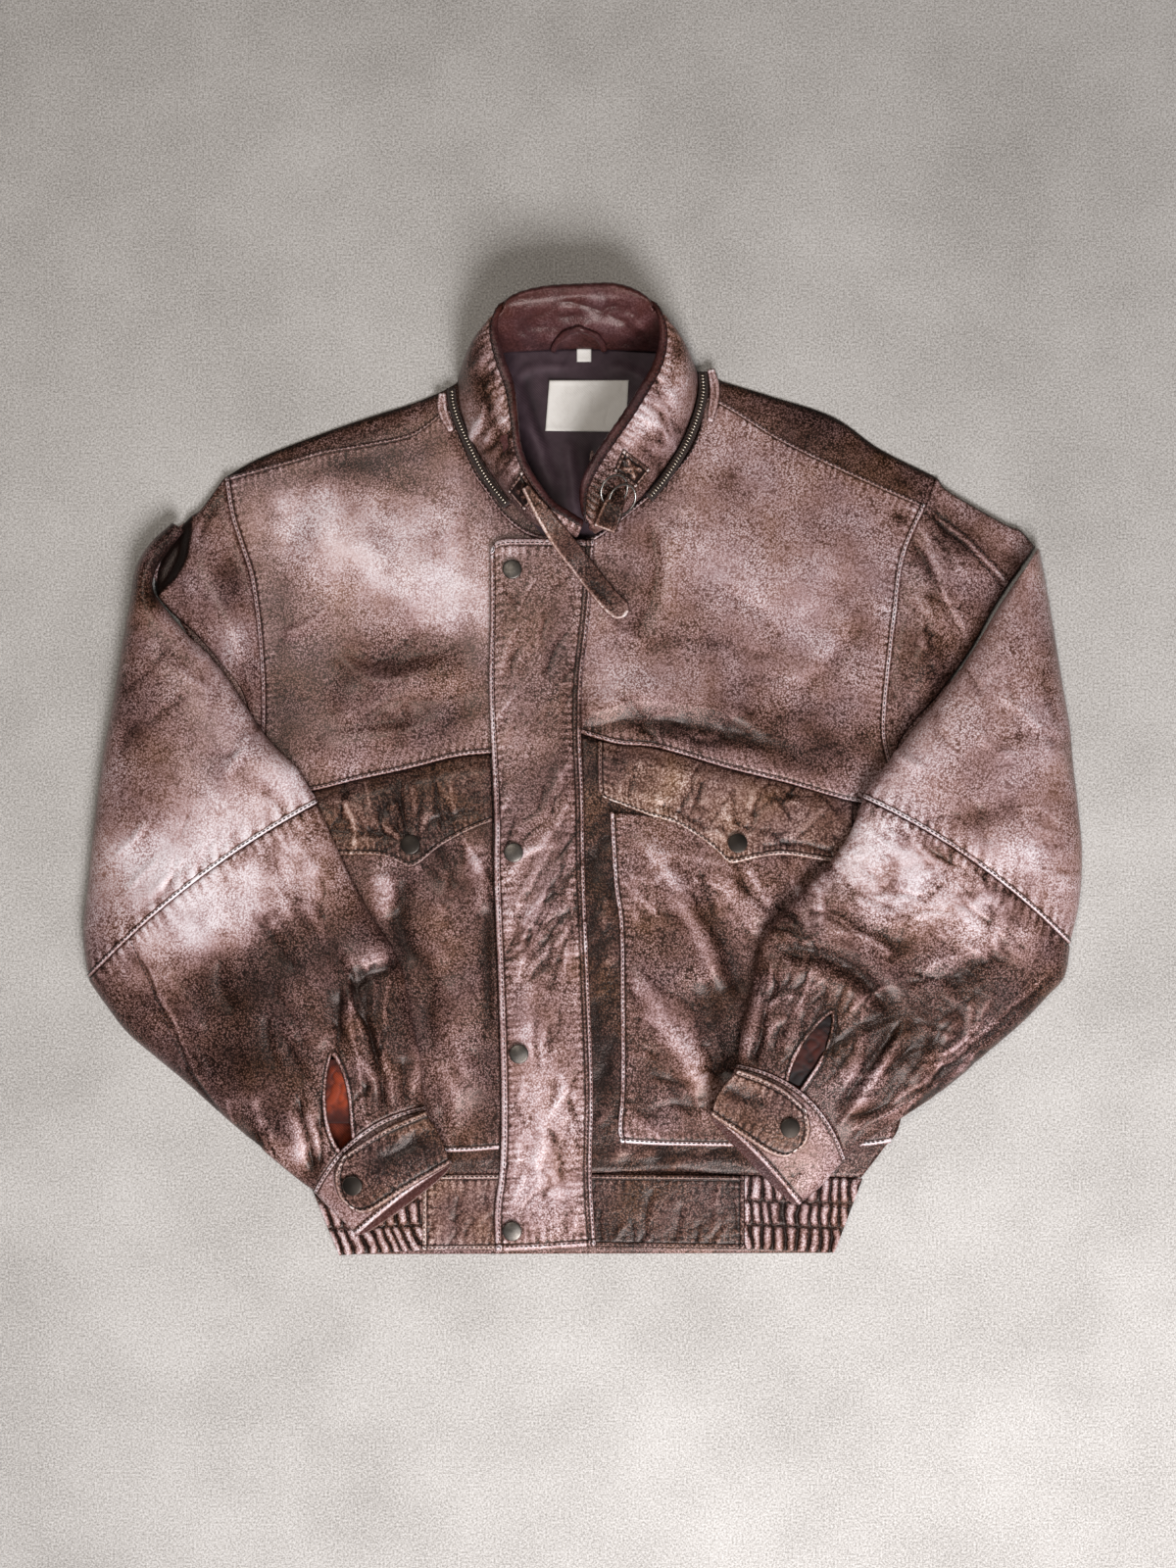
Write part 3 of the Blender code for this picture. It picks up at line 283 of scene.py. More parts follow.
@dataclass(frozen=True)
class Crease:
    """One fold of the leather: a ridge, or a trough where its rise is negative.

    lean above 0 makes the side to the left of the path the steep one. Its wear value paints the fold too:
    lighter where positive and darker where negative, as painted light on ridges and painted shade in
    troughs, over the wear.
    """

    path: Line
    width: float
    rise: float
    wear_and_light: float = 0.0
    lean: float = 0.0

    def form(self, x: np.ndarray, y: np.ndarray) -> np.ndarray:
        """Work out the crease's form.

        Args:
            x: The x of each point.
            y: The y of each point.

        Returns:
            How far each point is lifted, as a share of the crease's rise.
        """
        run = smooth_line(self.path, np.linspace(0, 1, 9 + 6 * len(self.path)))[:, :2]
        lengths = lengths_along(run)
        best = np.full(x.shape, 1e9)
        side, along = np.zeros(x.shape), np.zeros(x.shape)
        for (ax, ay), (bx, by), start in zip(run[:-1], run[1:], lengths[:-1]):
            span = math.hypot(bx - ax, by - ay)
            ux, uy = (bx - ax) / span, (by - ay) / span
            forward = np.clip((x - ax) * ux + (y - ay) * uy, 0, span)
            away = np.hypot(x - ax - forward * ux, y - ay - forward * uy)
            nearer = away < best
            best = np.where(nearer, away, best)
            side = np.where(nearer, np.sign((y - ay) * ux - (x - ax) * uy), side)
            along = np.where(nearer, (start + forward) / lengths[-1], along)
        width = self.width * (1 - self.lean * side)
        ends = ease(along / CREASE_TAPER + CREASE_START) * ease((1 - along) / CREASE_TAPER + CREASE_START)
        return np.exp(-(best / width) ** 2) * ends


@dataclass(frozen=True)
class WearAndLightSpot:
    """A soft-edged spot painted paler, and darker where its value is negative: some spots are wear, some are
    painted highlights and sheen, and some are painted shadow in folds and hollows.

    crinkle is the height of the fine wrinkles in it, cell their size and stretch how long they are.
    """

    x: float
    y: float
    reach: tuple[float, float]
    turn: float = 0.0
    wear_and_light: float = 0.0
    crinkle: float = 0.0
    cell: float = 7.0
    stretch: float = 2.0

    def share(self, x: np.ndarray, y: np.ndarray) -> np.ndarray:
        """How much of the rub each point has, from 0 to 1."""
        along, across = turned(x - self.x, y - self.y, self.turn)
        return np.exp(-(along / self.reach[0]) ** 2 - (across / self.reach[1]) ** 2)


@dataclass(frozen=True)
class Folds:
    """A patch of fine creases that run about one way, set by a fixed seed: two troughs to each ridge, the
    troughs painted darker and the ridges lighter as painted shade and light.
    """

    x: float
    y: float
    reach: tuple[float, float]
    turn: float
    count: int
    long: float = 28.0
    wear_and_light: float = 0.4
    width: float = 1.7
    spread: float = 16.0

    def creases(self) -> list[Crease]:
        """Lay the patch's creases out, each a little bent."""
        chance = np.random.default_rng(abs(round(self.x * 7 + self.y * 13)))
        made = []
        for number in range(self.count):
            middle = np.array([self.x, self.y]) + chance.uniform(-1, 1, 2) * self.reach
            angle = math.radians(self.turn + chance.normal(0, self.spread))
            ahead = np.array([math.cos(angle), math.sin(angle)]) * self.long * chance.uniform(0.25, 0.7)
            bend = np.array([-ahead[1], ahead[0]]) * chance.normal(0, 0.22)
            path = tuple(tuple(middle + ahead * step + bend * (1 - step * step)) for step in (-1, 0, 1))
            sign = 1 if number % 3 == 2 else -1
            width = self.width * chance.uniform(0.7, 1.5)
            made.append(Crease(path, width, 0.34 * width * sign, wear_and_light=self.wear_and_light * sign))
        return made


def many(kind: type, *rows: tuple) -> tuple:
    """One crease, spot or patch of folds for each row of its values, in the order of its fields."""
    return tuple(kind(*row) for row in rows)


@dataclass(frozen=True)
class Relief:
    """All that use has done to one piece: its creases, its spots, and the wrinkles it has all over. Light
    and shade
    are painted into its wear too: pale highlights and sheen, dark shadow in folds, and troughs darker than
    ridges.

    cracks is the strength of the crisp little fold lines that are too fine for the mesh, drawn as painted
    shade.
    """

    creases: Sequence[Crease] = ()
    wear_and_light_spots: Sequence[WearAndLightSpot] = ()
    folds: Sequence[Folds] = ()
    wrinkle: float = 0.2
    cell: float = 11.0
    stretch: float = 1.0
    turn: float = 0.0
    swell: float = 0.4
    wear_and_light: float = 0.0
    cracks: float = 0.15
    seed: int = 1

    def crackle(self, places: np.ndarray, cell: float, stretch: float, turn: float) -> np.ndarray:
        """Work out wrinkles: sharp little valleys between soft swells.

        Args:
            places: Places in millimetres.
            cell: The size of one swell.
            stretch: How many times longer than wide the swells are.
            turn: The way they run, in degrees from +X.

        Returns:
            Values from -1 to 0.4.
        """
        along, across = turned(places[..., 0], places[..., 1], turn)
        laid = np.stack([along / stretch, across, places[..., 2]], axis=-1)
        bent = laid + 0.35 * cell * gradient_noise(laid, 2.3 * cell, self.seed + 7)[..., None]
        return 0.4 - 1.4 * (1 - np.minimum(1, 2.6 * np.abs(gradient_noise(bent, cell, self.seed)))) ** 2

    def shape(self, places: np.ndarray) -> tuple[np.ndarray, np.ndarray]:
        """Work out what the wear does to a piece, and the light and shade painted on it.

        Args:
            places: Places of the smooth piece, as read from above.

        Returns:
            How far each place is lifted, in millimetres, and its wear with painted light and shade, from
            about -1 to 1.
        """
        sway = 2.2 * np.stack([gradient_noise(places, SWAY_CELL, self.seed + k) for k in (11, 12)], axis=-1)
        x, y = places[..., 0] + sway[..., 0], places[..., 1] + sway[..., 1]
        lift = self.swell * gradient_noise(places, SWELL_CELL, self.seed + 1)
        wrinkles = self.crackle(places, self.cell, self.stretch, self.turn)
        patchy = 0.55 + 0.45 * gradient_noise(places, PATCH_CELL, self.seed + 3)
        lift += self.wrinkle * patchy * wrinkles
        # Painted shade and light: wrinkle valleys are painted darker and their swells lighter.
        wear_and_light = self.wear_and_light + 0.35 * patchy * wrinkles * min(1.0, self.wrinkle / 0.5)
        patches = 0.85 + 0.55 * gradient_noise(places, BLOTCH_CELL, self.seed + 5)
        # The spots paint wear, painted highlights and sheen, and painted shadow.
        for wear_and_light_spot in self.wear_and_light_spots:
            share = wear_and_light_spot.share(x, y) * patches
            wear_and_light += wear_and_light_spot.wear_and_light * share
            if wear_and_light_spot.crinkle:
                fine = self.crackle(places, wear_and_light_spot.cell, wear_and_light_spot.stretch, wear_and_light_spot.turn)
                lift += wear_and_light_spot.crinkle * share * fine
                # The crinkles' valleys are painted darker and their swells lighter.
                wear_and_light += 0.45 * share * fine
        for crease in itertools.chain(self.creases, *(patch.creases() for patch in self.folds)):
            form = crease.form(x, y)
            lift += crease.rise * form
            # Each crease paints its ridge lighter and its trough darker.
            wear_and_light += crease.wear_and_light * form
        return lift, np.where(wear_and_light > 0, 0.82 * np.tanh(wear_and_light / 0.82), 0.9 * np.tanh(wear_and_light / 0.9))


@dataclass(frozen=True)
class Edge:
    """How one border of a piece is finished.

    The wall falls by drop over the width roll, a turned-in bead stands beside it, and a line of stitches
    sinks in at stitch_at from the border. Puckers run inwards from the seam. The border and the stitch
    grooves are darkened with painted shade, and the puckers' crests are painted lighter and their troughs
    darker.
    """

    drop: float = 0.8
    roll: float = 1.6
    bead: float = 0.0
    bead_at: float = 1.5
    bead_width: float = 1.1
    stitch_at: float = 0.0
    second_stitch_at: float = 0.0
    groove: float = 0.3
    wear_and_light: float = 0.0
    pucker: float = 0.0
    pitch: float = 5.5
    reach: float = 7.0

    def shape(self, depth: np.ndarray, along: np.ndarray) -> tuple[np.ndarray, np.ndarray, np.ndarray]:
        """Work out the border's form.

        Args:
            depth: How far each place is from the border.
            along: How far it is along the border.

        Returns:
            How far each place is lifted, its wear with the painted light and shade of its puckers, and its
            painted shade along the border and in the stitch grooves.
        """
        rounding = np.sqrt(np.clip(1 - (1 - np.clip(depth / self.roll, 0, 1)) ** 2, 0, 1))
        lift = self.drop * (rounding - 1)
        bead = np.exp(-((depth - self.bead_at) / self.bead_width) ** 4)
        lift += self.bead * bead
        wear_and_light = self.wear_and_light * bead
        # Painted shade along the border, where the wall rolls down into the seam, and in each stitch groove.
        shade = 0.5 * np.exp(-(depth / EDGE_SHADE_WIDTH) ** 2)
        for line in (self.stitch_at, self.second_stitch_at):
            if line:
                groove = np.exp(-((depth - line) / GROOVE_WIDTH) ** 2)
                lift -= self.groove * groove
                shade = shade + 0.9 * groove
        # Painted light and shade on the puckers: crests lighter, troughs darker.
        if self.pucker:
            start = max(self.stitch_at, self.second_stitch_at)
            wander = 1.4 * np.sin(along / 9.1) + 0.9 * np.sin(along / 4.7 + 2)
            wave = np.sin(2 * math.pi * along / self.pitch + wander)
            inward = ease((depth - start) / 1.2) * np.exp(-np.maximum(depth - start, 0) / self.reach)
            lift += self.pucker * wave * inward
            wear_and_light += 0.4 * wave * inward
        return lift, wear_and_light, shade


TUCKED = Edge(drop=1.6, roll=3.0)
PIPED = Edge(drop=0.9, roll=0.9, bead=0.5, bead_at=1.3, bead_width=1.2, stitch_at=3.1, wear_and_light=0.45,
             pucker=0.22, reach=6.0)
ROLLED = Edge(drop=1.0, roll=1.2, bead=0.6, bead_at=2.1, bead_width=1.9, stitch_at=4.8, wear_and_light=0.42,
              pucker=0.12)
WELTED = Edge(drop=0.9, roll=0.9, bead=0.6, bead_at=1.4, bead_width=1.3, stitch_at=3.2, wear_and_light=0.55,
              pucker=0.5, pitch=4.2, reach=6.0)


# Finishes


def linear(colour: str) -> tuple[float, float, float, float]:
    """Turn an sRGB hex colour to the linear one that Blender's sockets take."""
    parts = [int(colour[k:k + 2], 16) / 255 for k in (1, 3, 5)]
    return (*(v / 12.92 if v <= 0.04045 else ((v + 0.055) / 1.055) ** 2.4 for v in parts), 1.0)


def set_inputs(node: bpy.types.Node, inputs: Mapping[str | int, object]) -> None:
    """Give a node's sockets their values, or link them where the value is another node's output.

    Args:
        node: The node.
        inputs: Its sockets by name or number.
    """
    for socket, value in inputs.items():
        if isinstance(value, bpy.types.NodeSocket):
            node.id_data.links.new(value, node.inputs[socket])
        else:
            node.inputs[socket].default_value = value


def add_node(tree: bpy.types.NodeTree, kind: str, settings: Mapping[str, object] = {},
             inputs: Mapping[str | int, object] = {}) -> bpy.types.Node:
    """Add a node to a tree.

    Args:
        tree: The tree that the node goes in.
        kind: The node's type.
        settings: Its properties by name.
        inputs: Its sockets by name or number, each a value, or another node's output to link.

    Returns:
        The new node.
    """
    node = tree.nodes.new(kind)
    for name, value in settings.items():
        setattr(node, name, value)
    set_inputs(node, inputs)
    return node


def new_material(name: str, colour: str) -> tuple[bpy.types.Material, bpy.types.NodeTree, bpy.types.Node,
                                                  bpy.types.NodeSocket]:
    """Start a material.

    Args:
        name: What it is called.
        colour: The hex colour that it has outside of renders.

    Returns:
        The material, its tree, its Principled BSDF, and its Object coordinates.
    """
    material = bpy.data.materials.new(name)
    material.use_nodes = True
    material.diffuse_color = linear(colour)
    tree = material.node_tree
    where = add_node(tree, "ShaderNodeTexCoord").outputs["Object"]
    return material, tree, tree.nodes["Principled BSDF"], where


def tone_ramp(tree: bpy.types.NodeTree, tones: Sequence[tuple[float, str]],
              source: bpy.types.NodeSocket) -> bpy.types.NodeSocket:
    """Add a colour ramp.

    Args:
        tree: The tree that it goes in.
        tones: Its stops, each a place from 0 to 1 and a hex colour.
        source: The value that is looked up in it.

    Returns:
        Its colour.
    """
    node = add_node(tree, "ShaderNodeValToRGB", inputs={"Fac": source})
    while len(node.color_ramp.elements) < len(tones):
        node.color_ramp.elements.new(0.5)
    for element, (place, colour) in zip(node.color_ramp.elements, tones):
        element.position = place
        element.color = linear(colour)
    return node.outputs["Color"]


def sum_of(tree: bpy.types.NodeTree, start: float,
           shares: Sequence[tuple[bpy.types.NodeSocket, float]]) -> bpy.types.NodeSocket:
    """Add up sockets.

    Args:
        tree: The tree that they are in.
        start: The value to start from.
        shares: Each socket, with the share of it that is added.

    Returns:
        The sum.
    """
    total: bpy.types.NodeSocket | float = start
    for socket, share in shares:
        total = add_node(tree, "ShaderNodeMath", {"operation": "MULTIPLY_ADD"},
                         {0: socket, 1: share, 2: total}).outputs[0]
    return total


def noise_of(tree: bpy.types.NodeTree, where: bpy.types.NodeSocket, size: float, detail: float = 2.0,
             roughness: float = 0.5) -> bpy.types.NodeSocket:
    """Add noise.

    Args:
        tree: The tree that it goes in.
        where: The coordinates that it is read at.
        size: How far apart its swells are, in millimetres.
        detail: How many finer layers it has.
        roughness: How strong those are.

    Returns:
        Its value, from 0 to 1.
    """
    return add_node(tree, "ShaderNodeTexNoise", inputs={
        "Vector": where, "Scale": 1 / (size * MM), "Detail": detail, "Roughness": roughness}).outputs["Fac"]


def warped(tree: bpy.types.NodeTree, where: bpy.types.NodeSocket, size: float, detail: float,
           reach: float) -> bpy.types.NodeSocket:
    """Bend coordinates by noise, so that what is read at them isn't regular.

    Args:
        tree: The tree that they are in.
        where: The coordinates.
        size: How far apart the noise's swells are, in millimetres.
        detail: How many finer layers it has.
        reach: How far the coordinates are moved, in millimetres.

    Returns:
        The bent coordinates.
    """
    noise = add_node(tree, "ShaderNodeTexNoise", inputs={
        "Vector": where, "Scale": 1 / (size * MM), "Detail": detail}).outputs["Color"]
    return add_node(tree, "ShaderNodeVectorMath", {"operation": "MULTIPLY_ADD"},
                    {0: noise, 1: (reach * MM,) * 3, 2: where}).outputs[0]


def product_of(tree: bpy.types.NodeTree, first: bpy.types.NodeSocket,
               second: bpy.types.NodeSocket | float) -> bpy.types.NodeSocket:
    """A socket times another one or a number."""
    return add_node(tree, "ShaderNodeMath", {"operation": "MULTIPLY"}, {0: first, 1: second}).outputs[0]


def mapped(tree: bpy.types.NodeTree, value: bpy.types.NodeSocket, given: tuple[float, float],
           wanted: tuple[float, float]) -> bpy.types.NodeSocket:
    """A socket's value brought from the given range to the wanted one."""
    return add_node(tree, "ShaderNodeMapRange", inputs={
        "Value": value, "From Min": given[0], "From Max": given[1], "To Min": wanted[0],
        "To Max": wanted[1]}).outputs[0]


def attribute_of(tree: bpy.types.NodeTree, name: str) -> bpy.types.NodeSocket:
    """The values of a mesh's attribute."""
    return add_node(tree, "ShaderNodeAttribute", {"attribute_name": name}).outputs["Fac"]


def bump_of(tree: bpy.types.NodeTree, strength: float, depth: float,
            height: bpy.types.NodeSocket) -> bpy.types.NodeSocket:
    """The normals of a bump that is depth millimetres high."""
    return add_node(tree, "ShaderNodeBump", inputs={
        "Strength": strength, "Distance": depth * MM, "Height": height}).outputs[0]


def threads_of(tree: bpy.types.NodeTree, where: bpy.types.NodeSocket, spacing: float,
               distortion: float) -> bpy.types.NodeSocket:
    """Slanting bands of thread, spacing millimetres apart."""
    return add_node(tree, "ShaderNodeTexWave", {"bands_direction": "DIAGONAL"}, {
        "Vector": where, "Scale": 0.3 / (spacing * MM), "Distortion": distortion}).outputs["Fac"]


@dataclass(frozen=True)
class Leather:
    """Waxed aniline leather, dyed through and long worn.

    Its pores stay dark, its crests are rubbed to a pale pinkish tan, and the wax leaves a low, uneven sheen.
    Its fine creases are darkened with painted shade, and painted highlights and shade come in through its
    mesh's attributes. pebble is the size of its grain in millimetres; mottle, grain and cracks are
    strengths.
    """

    name: str
    tones: Sequence[tuple[float, str]]
    base: float = 0.5
    pebble: float = 1.35
    grain: float = 1.0
    mottle: float = 1.0
    cracks: float = 1.0
    sheen: tuple[float, float] = (0.35, 0.3)

    def make(self) -> bpy.types.Material:
        """Make the material: tone comes from wear with painted highlights, mottling, grain, painted shade
        and painted crease lines, and colour from the tone.
        """
        material, tree, shader, where = new_material(self.name, self.tones[2][1])
        bent = warped(tree, where, 3 * self.pebble, 1.0, 1.8 * self.pebble)
        cells = add_node(tree, "ShaderNodeTexVoronoi", {"feature": "F1"}, {
            "Vector": bent, "Scale": 1 / (self.pebble * MM)}).outputs["Distance"]
        pores = noise_of(tree, bent, 0.8 * self.pebble, 2.0, 0.6)
        blotches = noise_of(tree, where, 7, 2, 0.5)
        clouds = noise_of(tree, where, 24, 2, 0.5)
        mottle = noise_of(tree, where, 75, 3, 0.5)
        folded = warped(tree, where, 13, 3.0, 17)
        plates = add_node(tree, "ShaderNodeTexVoronoi", {"feature": "DISTANCE_TO_EDGE"}, {
            "Vector": folded, "Scale": 1 / (7 * MM)}).outputs["Distance"]
        lines = mapped(tree, plates, (0.0, 0.13), (1.0, 0.0))
        cracked = mapped(tree, noise_of(tree, where, 34, 2, 0.5), (0.4, 0.62), (0.1, self.cracks))
        crack = product_of(tree, lines, product_of(tree, cracked, attribute_of(tree, "cracks")))
        wear_and_light, shade = attribute_of(tree, "wear_and_light"), attribute_of(tree, "shade")
        patchy = sum_of(tree, 0.2, [(clouds, 1.6), (wear_and_light, -0.45)])
        pits = mapped(tree, cells, (0.2, 0.8), (0.4, -0.8))
        grain = product_of(tree, pits, patchy)
        start = self.base - 0.5 * (0.78 * self.mottle + 0.1 * self.grain)
        # The shade attribute and the crack lines darken the tone as painted shade; the wear attribute also
        # carries painted highlights.
        tone = sum_of(tree, start, [(wear_and_light, 0.55), (mottle, 0.42 * self.mottle), (clouds, 0.26 * self.mottle),
                                    (blotches, 0.1 * self.mottle), (shade, -0.6), (pores, 0.1 * self.grain),
                                    (grain, 0.36 * self.grain), (crack, -0.34)])
        warmth = noise_of(tree, where, 42, 3, 0.55)
        colour = add_node(tree, "ShaderNodeHueSaturation", inputs={
            "Hue": sum_of(tree, 0.462, [(warmth, 0.07)]), "Saturation": sum_of(tree, 0.54, [(warmth, 0.8)]),
            "Color": tone_ramp(tree, self.tones, tone)}).outputs[0]
        rough = mapped(tree, tone, (0.0, 0.45), self.sheen)
        height = sum_of(tree, 0.0, [(grain, 0.4), (pores, 0.35), (blotches, 1.0), (crack, -1.4)])
        set_inputs(shader, {
            "Base Color": colour, "Roughness": rough, "Normal": bump_of(tree, 0.8, 0.26, height),
            "Specular IOR Level": 0.34, "Specular Tint": linear("#d9c6bd"), "Coat Weight": 0.08,
            "Coat Roughness": 0.26})
        return material


@dataclass(frozen=True)
class Satin:
    """Woven satin: long floats give a soft gleam that changes with the fold, and fine ribs of thread.

    thread is the spacing of its ribs in millimetres, drawn three times as wide as real so that it shows.
    """

    name: str
    tones: Sequence[tuple[float, str]]
    thread: float = 0.9
    roughness: float = 0.36
    sheen: float = 0.25

    def make(self) -> bpy.types.Material:
        """Make the material: slubs along the threads vary its tone, painted shade darkens it, and painted
        light on its folds lightens it.
        """
        material, tree, shader, where = new_material(self.name, self.tones[1][1])
        ribs = threads_of(tree, where, self.thread, 0.6)
        slubs = noise_of(tree, where, 9, 5, 0.65)
        shade, wear_and_light = attribute_of(tree, "shade"), attribute_of(tree, "wear_and_light")
        tone = sum_of(tree, 0.2, [(ribs, 0.15), (slubs, 0.5), (shade, -0.6), (wear_and_light, 0.6)])
        height = sum_of(tree, 0.0, [(ribs, 0.6), (slubs, 1.0)])
        set_inputs(shader, {
            "Normal": bump_of(tree, 0.35, 0.12, height), "Base Color": tone_ramp(tree, self.tones, tone),
            "Roughness": self.roughness, "Sheen Weight": self.sheen, "Specular IOR Level": 0.22})
        return material


@dataclass(frozen=True)
class Metal:
    """Plated brass or steel, handled for years: bright on its crests, dull and brown elsewhere."""

    name: str
    tones: Sequence[tuple[float, str]]
    rough: tuple[float, float] = (0.22, 0.45)

    def make(self) -> bpy.types.Material:
        """Make the material: tarnish dulls it in patches, with fine handling marks."""
        material, tree, shader, where = new_material(self.name, self.tones[1][1])
        tarnish = noise_of(tree, where, 5, 5, 0.6)
        marks = noise_of(tree, where, 0.7, 3, 0.6)
        tone = sum_of(tree, -0.1, [(tarnish, 0.8), (marks, 0.4), (attribute_of(tree, "wear_and_light"), 1.0)])
        set_inputs(shader, {
            "Roughness": mapped(tree, tone, (0.0, 1.0), self.rough[::-1]),
            "Normal": bump_of(tree, 0.25, 0.05, marks), "Base Color": tone_ramp(tree, self.tones, tone),
            "Metallic": 1.0})
        return material


@dataclass(frozen=True)
class Thread:
    """Waxed polyester thread or woven tape: dull, dark, with the twist of its yarn just showing."""

    name: str
    tones: Sequence[tuple[float, str]]
    twist: float = 0.8
    roughness: float = 0.62

    def make(self) -> bpy.types.Material:
        """Make the material: bands of twist in two tones."""
        material, tree, shader, where = new_material(self.name, self.tones[0][1])
        bands = threads_of(tree, where, self.twist, 1.0)
        set_inputs(shader, {
            "Normal": bump_of(tree, 0.5, 0.15, bands), "Base Color": tone_ramp(tree, self.tones, bands),
            "Roughness": self.roughness})
        return material


@dataclass(frozen=True)
class Screed:
    """A plain pale floor of trowelled cement: matt, with faint clouds and fine grit."""

    name: str = "pale_screed"
    tones: Sequence[tuple[float, str]] = ((0.2, "#8f8b86"), (0.5, "#b9b5b0"), (0.8, "#d6d3cf"))

    def make(self) -> bpy.types.Material:
        """Make the material: clouds a hand wide, and grit of a millimetre or two."""
        material, tree, shader, where = new_material(self.name, self.tones[1][1])
        clouds = noise_of(tree, where, 130, 5, 0.6)
        grit = noise_of(tree, where, 1.5, 3, 0.7)
        tone = sum_of(tree, -0.7, [(clouds, 0.5), (grit, 1.9)])
        set_inputs(shader, {
            "Normal": bump_of(tree, 0.5, 0.4, grit), "Base Color": tone_ramp(tree, self.tones, tone),
            "Roughness": 0.85})
        return material


BROWN_TONES = ((0.0, "#170c08"), (0.17, "#2f1d16"), (0.34, "#53382f"), (0.5, "#7f5d55"), (0.66, "#aa8986"),
               (0.82, "#cdb9ba"), (1.0, "#ebe2e5"))
DARK_TONES = ((0.0, "#130a08"), (0.2, "#291a15"), (0.38, "#4b3228"), (0.55, "#715045"), (0.72, "#9c7c71"),
              (0.87, "#c2a9a0"), (1.0, "#e4d5cf"))


class Finish(Enum):
    """The finishes of the jacket, by the record's material slot."""

    leather_brown = Leather("waxed_aniline_leather_brown", BROWN_TONES)
    leather_dark = Leather("waxed_aniline_leather_dark", DARK_TONES, base=0.45, pebble=1.5)
    leather_burgundy = Leather("glazed_lamb_leather_burgundy", (
        (0.0, "#120707"), (0.25, "#2b1413"), (0.5, "#4c2a29"), (0.7, "#745050"), (0.9, "#b0959a")),
        base=0.5, pebble=1.6, grain=0.35, mottle=0.7, sheen=(0.3, 0.34))
    satin_dark = Satin(
        "lining_satin_aubergine", ((0.1, "#1a1216"), (0.5, "#3b2b32"), (0.9, "#5c4a52")), roughness=0.55,
        sheen=0.1)
    satin_rust = Satin("sleeve_satin_rust", ((0.0, "#120504"), (0.4, "#481507"), (0.85, "#a33e16")),
                       roughness=0.6, sheen=0.0)
    satin_white = Satin("label_satin_white", ((0.1, "#c9c4bd"), (0.5, "#eeeae4"), (0.9, "#faf8f4")),
                        roughness=0.5)
    zip_tape = Thread("zip_tape_twill_brown", ((0.2, "#170c0a"), (0.8, "#34221d")), twist=1.1)
    zip_teeth = Metal("zip_teeth_aged_brass", ((0.1, "#6e6256"), (0.5, "#ab9f90"), (0.9, "#e6ddd0")))
    thread = Thread("bonded_thread_dark_brown", ((0.2, "#140a08"), (0.8, "#2c1a16")))
    snap_metal = Metal("snap_antique_nickel", ((0.1, "#332e2a"), (0.45, "#55504b"), (0.9, "#85807b")),
                       rough=(0.34, 0.5))
    ring_steel = Metal("ring_nickelled_steel", ((0.1, "#5a5651"), (0.5, "#96928d"), (0.9, "#d0cdc8")))

    def material(self) -> bpy.types.Material:
        """The finish's material, made the first time it is asked for."""
        return bpy.data.materials.get(self.value.name) or self.value.make()


# Cloth and sewing


def new_object(name: str, mesh: bpy.types.Mesh, finish: Finish) -> bpy.types.Object:
    """Put a finished mesh into the scene, on the jacket's body, with its finish's material.

    Args:
        name: What the object is called.
        mesh: The mesh.
        finish: Its finish.

    Returns:
        The object.
    """
    item = bpy.data.objects.new(name, mesh)
    bpy.context.scene.collection.objects.link(item)
    if not mesh.materials:
        mesh.materials.append(finish.material())
    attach(item, BODY)
    return item


